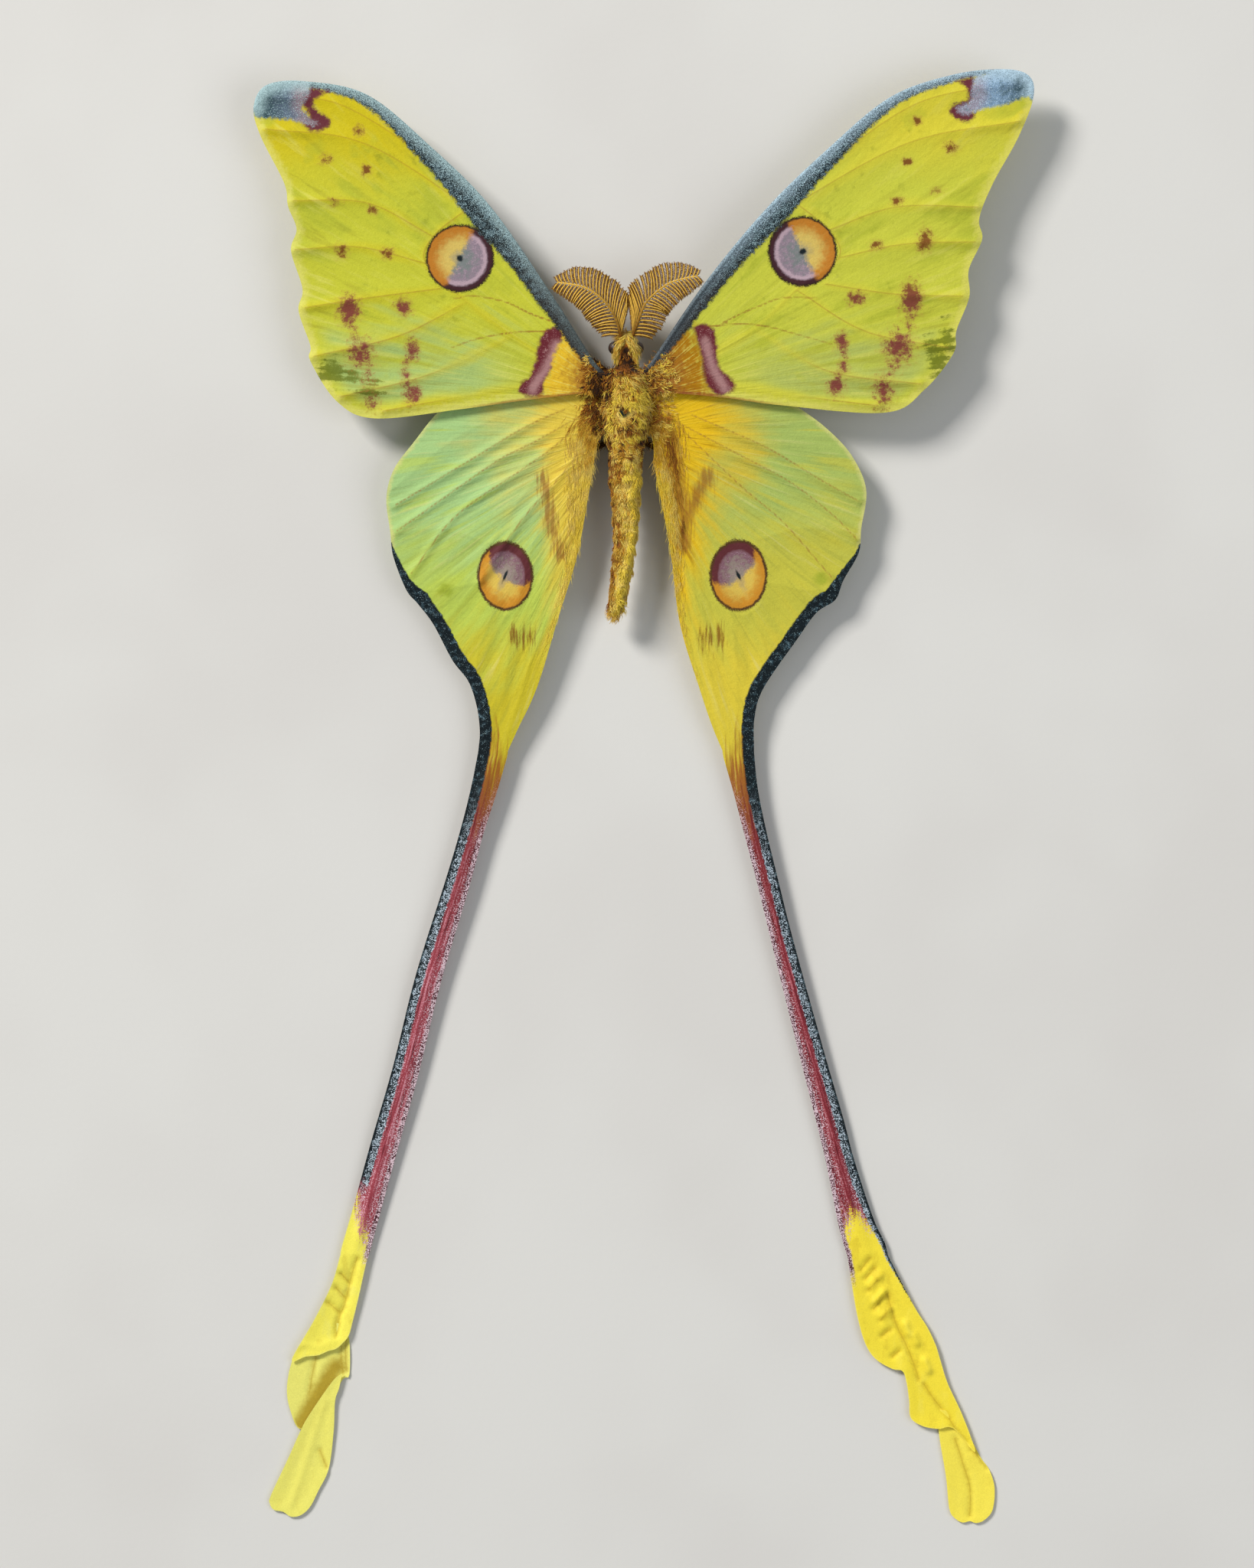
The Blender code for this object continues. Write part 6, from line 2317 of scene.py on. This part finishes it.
@dataclass
class BodyHair:
    """The woolly coat of head, thorax and abdomen."""

    body: Body

    def thorax(self, draw: np.random.Generator) -> Shell:
        """Long curly tufts that flow back and out over the wing roots.

        Args:
            draw: the seeded source of all chance.

        Returns:
            The coat.
        """
        roots, _ = body_roots(self.body, low=69.0, high=88.0, gap=0.235, draw=draw)
        places = roots.places
        out = (places[:, 0] - BODY_X) / 4.5
        count = len(places)
        roots.lies = np.column_stack((
            out * 0.9 + draw.normal(0, 0.55, count), -1.0 + draw.normal(0, 0.45, count),
            draw.normal(0, 0.3, count) - 0.2 * (1 - roots.normals[:, 2]),
        ))
        roots.lengths = draw.uniform(1.3, 2.9, count) * (0.75 + 0.4 * np.abs(out))
        roots.lengths *= 0.6 + 0.4 * fade(places[:, 1], 70, 77)
        keep = (self.body.bare(places) < 0.2) & (places[:, 2] > 4.4)
        return Coat(0.18, 0.09, 0.32, 0.5, lock=14, gather=0.55, spread=0.32).grow(roots.kept(keep), draw)

    def belly(self, draw: np.random.Generator) -> Shell:
        """Shorter tufts under the thorax, that lie towards the abdomen.

        Args:
            draw: the seeded source of all chance.

        Returns:
            The coat.
        """
        roots, _ = body_roots(self.body, low=68.6, high=87.8, gap=0.28, draw=draw)
        roots = roots.kept(roots.places[:, 2] <= 4.9)
        count = len(roots.places)
        roots.lies = np.column_stack((
            draw.normal(0, 0.5, count), -1.0 + draw.normal(0, 0.4, count), draw.normal(0, 0.2, count),
        ))
        roots.lengths = draw.uniform(0.9, 1.9, count)
        return Coat(0.2, 0.09, 0.26, 0.45, rings=4, lock=12, gather=0.5, spread=0.16).grow(roots, draw)

    def abdomen(self, draw: np.random.Generator) -> Shell:
        """Short felted tufts that lie towards the abdomen's end, longer at the end itself.

        Args:
            draw: the seeded source of all chance.

        Returns:
            The coat.
        """
        roots, _ = body_roots(self.body, low=37.4, high=70.5, gap=0.235, draw=draw)
        count = len(roots.places)
        bend = np.gradient(self.body.line[:, 1], self.body.line[:, 0])
        lean = -np.interp(roots.places[:, 1], self.body.line[:, 0], bend)
        roots.lies = np.column_stack((
            lean + draw.normal(0, 0.35, count), -np.ones(count), draw.normal(0, 0.25, count),
        ))
        end = fade(roots.places[:, 1], 43, 38)
        roots.lengths = draw.uniform(0.8, 1.6, count) * (1 + 0.9 * end)
        felt = Coat(0.19, 0.09, 0.3, 0.45, rings=4, sunk=0.06, lock=16, gather=0.4, spread=0.11)
        return felt.grow(roots, draw)

    def head(self, draw: np.random.Generator) -> Shell:
        """Pale tufts parted over the head, and short hair on face and palps.

        Args:
            draw: the seeded source of all chance.

        Returns:
            The coat.
        """
        roots, turn = body_roots(self.body, low=85.8, high=94.3, gap=0.2, draw=draw)
        count = len(roots.places)
        side = np.sign(roots.places[:, 0] - BODY_X)
        brow = distance_to(roots.places[:, :2], BROWS, MARK_STEP)
        top = (np.sin(turn) > 0.2) * fade(brow, 1.4, 0.4)
        front = fade(roots.places[:, 1], 91.6, 92.8) * (1 - top)
        roots.lies = np.column_stack((
            side * 0.45 + draw.normal(0, 0.2, count), -1.0 + 2.0 * front + draw.normal(0, 0.2, count),
            0.05 - 0.7 * front,
        ))
        roots.lengths = draw.uniform(0.6, 1.2, count) * (1 + 1.3 * top + 0.5 * front)
        roots.places = roots.places + roots.normals * (0.35 * top)[:, None]
        from_eye = roots.places - (BODY_X, EYE_Y, EYE_Z)
        from_eye[:, 0] = np.abs(from_eye[:, 0]) - EYE_OUT
        keep = np.linalg.norm(from_eye, axis=1) > EYE_RADIUS + 0.02
        return Coat(0.17, 0.08, 0.34, 0.4, lock=10, gather=0.45, spread=0.13).grow(roots.kept(keep), draw)

    def build(self, finish: bpy.types.Material, draw: np.random.Generator) -> None:
        """Makes the four coats of the body.

        Args:
            finish: the hair's material.
            draw: the seeded source of all chance.
        """
        coats = {"thorax": self.thorax, "belly": self.belly, "abdomen": self.abdomen, "head": self.head}
        for name, coat in coats.items():
            coat(draw).build(f"coat_{name}", finish, Slot.WOOL)


@dataclass
class WingHair:
    """Hair at the root of a wing, and along the inner edge of a hindwing."""

    wing: Wing

    def scatter(self, low: tuple[float, float], high: tuple[float, float], count: int,
                chance: Callable[[Array], Array], draw: np.random.Generator) -> Array:
        """Random places on the wing.

        Args:
            low: lowest x and y.
            high: highest x and y.
            count: how many to try.
            chance: how likely each place is to be kept.
            draw: the seeded source of all chance.

        Returns:
            The places that are kept.
        """
        places = draw.uniform(low, high, (count, 2))
        places = places[inside(places, self.wing.rim()[::2])]
        return places[draw.random(len(places)) < chance(places)]

    def roots(self, places: Array, lies: Array, lengths: Array, hues: Array) -> Roots:
        """Roots on the wing's upper face.

        Args:
            places: rows of x and y.
            lies: the way each tuft lies.
            lengths: length of each.
            hues: hue of each.

        Returns:
            The roots.
        """
        level = self.wing.level(places) + MEMBRANE / 2
        normals = np.tile((0.0, 0.0, 1.0), (len(places), 1))
        unwrap = (places - np.array(WINGS_FROM)) / np.array(WINGS_SIZE)
        return Roots(np.column_stack((places, level)), normals, lies, lengths, hues, unwrap)

    def base(self, count: int, reach: float, draw: np.random.Generator) -> Roots:
        """Curly hair round the wing's root, sparser and brighter outwards.

        Args:
            count: how many to try.
            reach: how far out they grow.
            draw: the seeded source of all chance.

        Returns:
            The roots.
        """
        side, root = self.wing.side, self.wing.root
        low = (min(root[0], root[0] + side * reach), root[1] - reach)
        high = (max(root[0], root[0] + side * reach), root[1] + reach)

        def chance(places: Array) -> Array:
            """How likely hair grows at each place, by its distance from the root."""
            return fade(self.wing.root_distance(places), reach, reach * 0.3)

        places = self.scatter(low, high, count, chance, draw)
        reached = self.wing.root_distance(places)
        away = places - np.array(root)
        number = len(places)
        lies = np.column_stack((
            away[:, 0] + draw.normal(0, 3.5, number), away[:, 1] * 0.5 - 3 + draw.normal(0, 3.5, number),
            np.zeros(number),
        ))
        lengths = draw.uniform(1.0, 2.4, number) * (1.15 - 0.5 * reached / reach)
        hues = 0.94 - 0.42 * fade(reached, 2.0, reach * 0.9) - (0.3 if side > 0 else 0.0)
        return self.roots(places, lies, lengths, hues)

    def inner_edge(self, count: int, draw: np.random.Generator) -> Roots:
        """Long fine hair beside the body that lies towards the tail.

        Args:
            count: how many to try.
            draw: the seeded source of all chance.

        Returns:
            The roots.
        """
        wing = self.wing
        line = wing.edges[1]
        low = (line[:, 0].min() - 12, 12.0)
        high = (line[:, 0].max() + 12, 79.0)

        def chance(places: Array) -> Array:
            """How likely hair grows at each place, by its distance from the edge."""
            widest = np.interp(places[:, 1], *INNER_HAIR)
            return fade(distance(places, line[::2]) / widest, 1.0, 0.2) * fade(places[:, 1], 18, 50)

        places = self.scatter(low, high, count, chance, draw)
        number = len(places)
        along = -np.sign(line[-1, 1] - line[0, 1]) * unit(np.gradient(line, axis=0))
        nearest = np.array([int(np.argmin(np.sum((line - place) ** 2, axis=1))) for place in places])
        lies = np.column_stack((along[nearest], np.zeros(number)))
        lies[:, :2] += draw.normal(0, 0.16, (number, 2))
        lies[:, 0] -= wing.side * 0.12
        lengths = draw.uniform(1.4, 3.2, number) * (0.55 + 0.45 * fade(places[:, 1], 25, 60))
        hues = 0.05 + 0.4 * fade(places[:, 1], 60, 77)
        for streak in wing.marks.streaks:
            hues += 0.5 * hump(distance_to(places, [streak], STREAK_STEP), 1.1)
        return self.roots(places, lies, lengths, hues)

    def build(self, finish: bpy.types.Material, draw: np.random.Generator) -> None:
        """Makes the wing's coat.

        Args:
            finish: the hair's material.
            draw: the seeded source of all chance.
        """
        if isinstance(self.wing, Forewing):
            curls = Coat(0.16, 0.08, 0.24, 0.55, lock=12, gather=0.45, spread=0.16)
            coats = [curls.grow(self.base(count=7000, reach=9.0, draw=draw), draw)]
        else:
            curls = Coat(0.16, 0.08, 0.22, 0.5, lock=12, gather=0.45, spread=0.12)
            sleek = Coat(0.085, 0.045, 0.05, 0.14, sunk=0.02, lock=30, gather=0.2, spread=0.05)
            coats = [curls.grow(self.base(count=5500, reach=8.5, draw=draw), draw)]
            coats.append(sleek.grow(self.inner_edge(count=30000, draw=draw), draw))
        Shell.joined(coats).build(f"coat_{self.wing.name}", finish, Slot.WOOL)


@dataclass
class Antenna:
    """A feathery antenna: a shaft with two rows of branches, each fringed with fine hairs."""

    name: str
    branches: int = 25
    first: float = 0.05
    last: float = 0.985
    widths: tuple[float, ...] = (0.3, 0.3, 0.27, 0.22, 0.1)
    droop: float = 0.1
    hair_gap: float = 0.15
    hair_length: float = 0.6
    hair_drop: float = 0.16
    hair_widths: tuple[float, ...] = (0.12, 0.12, 0.05)

    def rami(self, draw: np.random.Generator) -> Array:
        """Paths of all branches.

        Args:
            draw: the seeded source of all chance.

        Returns:
            The branches' places, as branch, ring and x, y, z.
        """
        route, side = ANTENNAE[self.name]
        shaft = smooth_line(route, 0.25)
        paths = []
        for share in np.linspace(self.first, self.last, self.branches):
            before, place, after = along_line(shaft, (share - 0.04, share, share + 0.04))
            along = unit(after - before)
            square = np.array((along[1], -along[0], 0.0)) * -side
            for out, lengths, leans in ((square, UPPER_RAMI, UPPER_LEAN), (-square, LOWER_RAMI, LOWER_LEAN)):
                spots = np.linspace(0, 1, len(lengths))
                turn = math.radians(float(np.interp(share, spots, leans)) + draw.uniform(-1.5, 1.5))
                length = float(np.interp(share, spots, lengths)) * draw.uniform(0.96, 1.02)
                aim = unit(along * math.cos(turn) + out * math.sin(turn))
                t = np.linspace(0, 1, 5)[:, None]
                path = place + aim * length * t + along * length * 0.06 * np.sin(np.pi * t)
                path[:, 2] -= self.droop * length * t[:, 0] ** 2
                clear = np.maximum(0.12, side * (path[:, 0] - ANTENNA_PARTING_X))
                path[:, 0] = ANTENNA_PARTING_X + side * clear
                paths.append(path)
        return np.array(paths)

    def build(self, finish: bpy.types.Material, draw: np.random.Generator) -> None:
        """Makes the antenna.

        Args:
            finish: the antenna's material.
            draw: the seeded source of all chance.
        """
        shaft = smooth_line(ANTENNAE[self.name][0], 0.4)
        shaft_shell = tube(shaft, np.linspace(0.34, 0.12, len(shaft)), 10)
        paths = self.rami(draw)
        widths = np.array([self.widths])
        rami = strands(paths, widths, widths * 0.8, UP, 4)
        rami.values["tip"] = 0.7 + 0.3 * rami.values["tip"]
        hairs = []
        for path in paths:
            length = float(np.linalg.norm(path[-1] - path[0]))
            shares = np.arange(self.hair_gap, length - 0.2, self.hair_gap) / length
            starts = along_line(path, shares)
            along = unit(path[-1] - path[0])
            across = np.array((-along[1], along[0], 0.0))
            for way in (-1, 1):
                lie = unit(across * way + along * 0.9) * self.hair_length
                lies = lie - (0, 0, self.hair_drop) + draw.normal(0, 0.04, (len(starts), 3))
                hairs.append(np.stack((starts, starts + lies * 0.6, starts + lies), axis=1))
        fringe = np.concatenate(hairs)
        widths = np.array([self.hair_widths])
        fringe_shell = strands(fringe, widths, widths, UP, 3)
        fringe_shell.values["tip"] = 0.18 * fringe_shell.values["tip"]
        Shell.joined([shaft_shell, rami, fringe_shell]).build(self.name, finish, Slot.ANTENNA, [self.name])


@dataclass
class Leg:
    """A leg with its joints, hair and two claws."""

    kind: str
    side: Side
    hairs: int = 260
    radii: tuple[float, ...] = (0.62, 0.68, 0.5, 0.36, 0.34, 0.27, 0.25)
    hair_widths: tuple[float, ...] = (0.12, 0.09, 0.02)
    claw_widths: tuple[float, ...] = (0.16, 0.11, 0.04)

    @property
    def name(self) -> str:
        """The leg's node name."""
        return f"{self.kind}_{self.side.word}"

    def path(self) -> Array:
        """The leg's middle line, from a start within the body.

        Returns:
            The line's points.
        """
        out, y, z = LEGS[self.kind][0]
        joints = ((0.65 * out, y, z + 1.9), *LEGS[self.kind])
        return smooth_line([(BODY_X + self.side * out, y, z) for out, y, z in joints], 0.3)

    def build(self, finish: bpy.types.Material, draw: np.random.Generator) -> None:
        """Makes the leg.

        Args:
            finish: the leg's material.
            draw: the seeded source of all chance.
        """
        path = self.path()
        share = np.linspace(0, 1, len(path))
        radii = np.interp(share, np.linspace(0, 1, len(self.radii)), self.radii)
        joints = np.where(share > 0.55, 1 + 0.14 * np.cos(share * 90), 1.0)
        shell = tube(path, radii * joints, 12)
        shell.values["tip"] = shell.values["tip"] * 0.3
        spots = draw.uniform(0.04, 0.93, self.hairs)
        places, along = along_line(path, spots), unit(along_line(np.gradient(path, axis=0), spots))
        around = unit(np.cross(along, draw.normal(0, 1, (self.hairs, 3))))
        size = np.interp(spots, share, radii)[:, None]
        lies = (around * 0.7 + along) * (draw.uniform(0.5, 1.3, (self.hairs, 1)) * (1.25 - spots[:, None]))
        starts = places + around * size * 0.85
        tufts = np.stack((starts, starts + lies * 0.6 + around * 0.1, starts + lies), axis=1)
        tufts[:, :, 2] = np.maximum(tufts[:, :, 2], 0.08)
        widths = np.array([self.hair_widths])
        coat = strands(tufts, widths, widths * 0.7, around, 3)
        toe, ahead = path[-1], unit(path[-1] - path[-4])
        aside = np.array((-ahead[1], ahead[0], 0.0))
        claws = []
        for way in (-1, 1):
            spread = ahead * 0.5 + aside * way * 0.35
            claws.append(np.stack((toe, toe + spread * 0.6 + (0, 0, 0.08), toe + spread + (0, 0, -0.12))))
        widths = np.array([self.claw_widths])
        hooks = strands(np.array(claws), widths, widths, UP, 5)
        hooks.values["tip"] = hooks.values["tip"] * 0.1
        whole = Shell.joined([shell, coat, hooks])
        whole.points[:, 2] = np.maximum(whole.points[:, 2], FLOOR_GAP)
        whole.build(self.name, finish, Slot.LEG, [self.name])


@dataclass
class Eye:
    """A round compound eye at the side of the head."""

    side: Side
    rows: int = 28
    sides: int = 40

    def build(self, finish: bpy.types.Material) -> None:
        """Makes the eye as a ball.

        Args:
            finish: the eye's material.
        """
        polar = np.linspace(0.02, math.pi - 0.02, self.rows)
        path = np.outer(EYE_RADIUS * np.cos(polar) * self.side, (1.0, 0.0, 0.0))
        path += (BODY_X + self.side * EYE_OUT, EYE_Y, EYE_Z)
        shell = tube(path, EYE_RADIUS * np.sin(polar), self.sides)
        name = f"eye_{self.side.word}"
        shell.build(name, finish, Slot.EYE, [name])


@dataclass
class Studio:
    """Pale floor, soft lights and the camera that looks straight down."""

    view_x: float = -3.4
    view_y: float = 2.9
    view_height: float = 317.4
    distance: float = 1400.0
    wings_z: float = 8.0
    sensor: float = 36.0
    floor_half: float = 3000.0
    sky: Colour = (0.9, 0.95, 1.0, 1.0)
    sky_strength: float = 0.28

    def floor(self) -> None:
        """Makes the floor."""
        corners = np.array([(-1, -1, 0), (1, -1, 0), (1, 1, 0), (-1, 1, 0)]) * self.floor_half
        mesh = bpy.data.meshes.new("floor")
        mesh.from_pydata((corners * MM).tolist(), [], [(0, 1, 2, 3)])
        mesh.materials.append(FloorFinish().make("pale_floor"))
        piece = bpy.data.objects.new("floor", mesh)
        bpy.context.scene.collection.objects.link(piece)

    def light(self, name: str, place: Place, size: float, power: float, tint: Place) -> None:
        """A soft square light that faces the model's middle.

        Args:
            name: its name.
            place: where it hangs, in metres.
            size: its side, in metres.
            power: its power in watts.
            tint: its colour.
        """
        lamp = bpy.data.lights.new(name, "AREA")
        lamp.shape = "SQUARE"
        lamp.size = size
        lamp.energy = power
        lamp.color = tint
        holder = bpy.data.objects.new(name, lamp)
        holder.location = place
        holder.rotation_euler = (Vector((0, 0, 0)) - Vector(place)).to_track_quat("-Z", "Y").to_euler()
        bpy.context.scene.collection.objects.link(holder)

    def camera(self) -> None:
        """Makes the camera, with the head up in the picture."""
        lens = bpy.data.cameras.new("camera")
        lens.sensor_fit = "VERTICAL"
        lens.sensor_height = self.sensor
        lens.lens = self.sensor * self.distance / self.view_height
        lens.clip_start = 0.01
        lens.clip_end = 20.0
        holder = bpy.data.objects.new("camera", lens)
        holder.location = Vector((self.view_x, self.view_y, self.distance + self.wings_z)) * MM
        bpy.context.scene.collection.objects.link(holder)
        bpy.context.scene.camera = holder

    def build(self) -> None:
        """Makes floor, lights and camera."""
        self.floor()
        self.light("key", (-1.7, 1.6, 1.7), size=0.8, power=80.0, tint=(1.0, 0.98, 0.95))
        self.light("fill", (1.5, -0.4, 1.6), size=1.6, power=12.8, tint=(0.92, 0.96, 1.0))
        world = bpy.data.worlds.new("studio")
        world.use_nodes = True
        background = world.node_tree.nodes["Background"]
        background.inputs["Color"].default_value = self.sky
        background.inputs["Strength"].default_value = self.sky_strength
        bpy.context.scene.world = world
        bpy.context.scene.view_settings.view_transform = "Standard"
        self.camera()


def main() -> None:
    """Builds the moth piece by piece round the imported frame."""
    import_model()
    draw = np.random.default_rng(SEED)
    wool = WoolFinish().make("wool")
    body = Body()
    body.build(wool)
    BodyHair(body).build(wool, draw)
    for wing, finish in zip(forewings(), forewing_finishes()):
        wing.build(finish.make(f"{wing.name}_scales"))
        WingHair(wing).build(wool, draw)
    for wing, finish in zip(hindwings(), tailed_finishes()):
        wing.build(finish.make(f"{wing.name}_scales"))
        WingHair(wing).build(wool, draw)
    feathery = HornFinish(screen(104, 60, 10), screen(246, 198, 86), 0.7).make("antenna_horn")
    for name in ANTENNAE:
        Antenna(name).build(feathery, draw)
    horn = HornFinish(screen(70, 40, 18), screen(206, 158, 80)).make("leg_horn")
    facets = FacetFinish().make("eye_facets")
    for side in Side:
        Eye(side).build(facets)
        for kind in LEGS:
            Leg(kind, side).build(horn, draw)
    Studio().build()


if __name__ == "__main__":
    logging.basicConfig(level=logging.INFO, format="%(message)s")
    main()
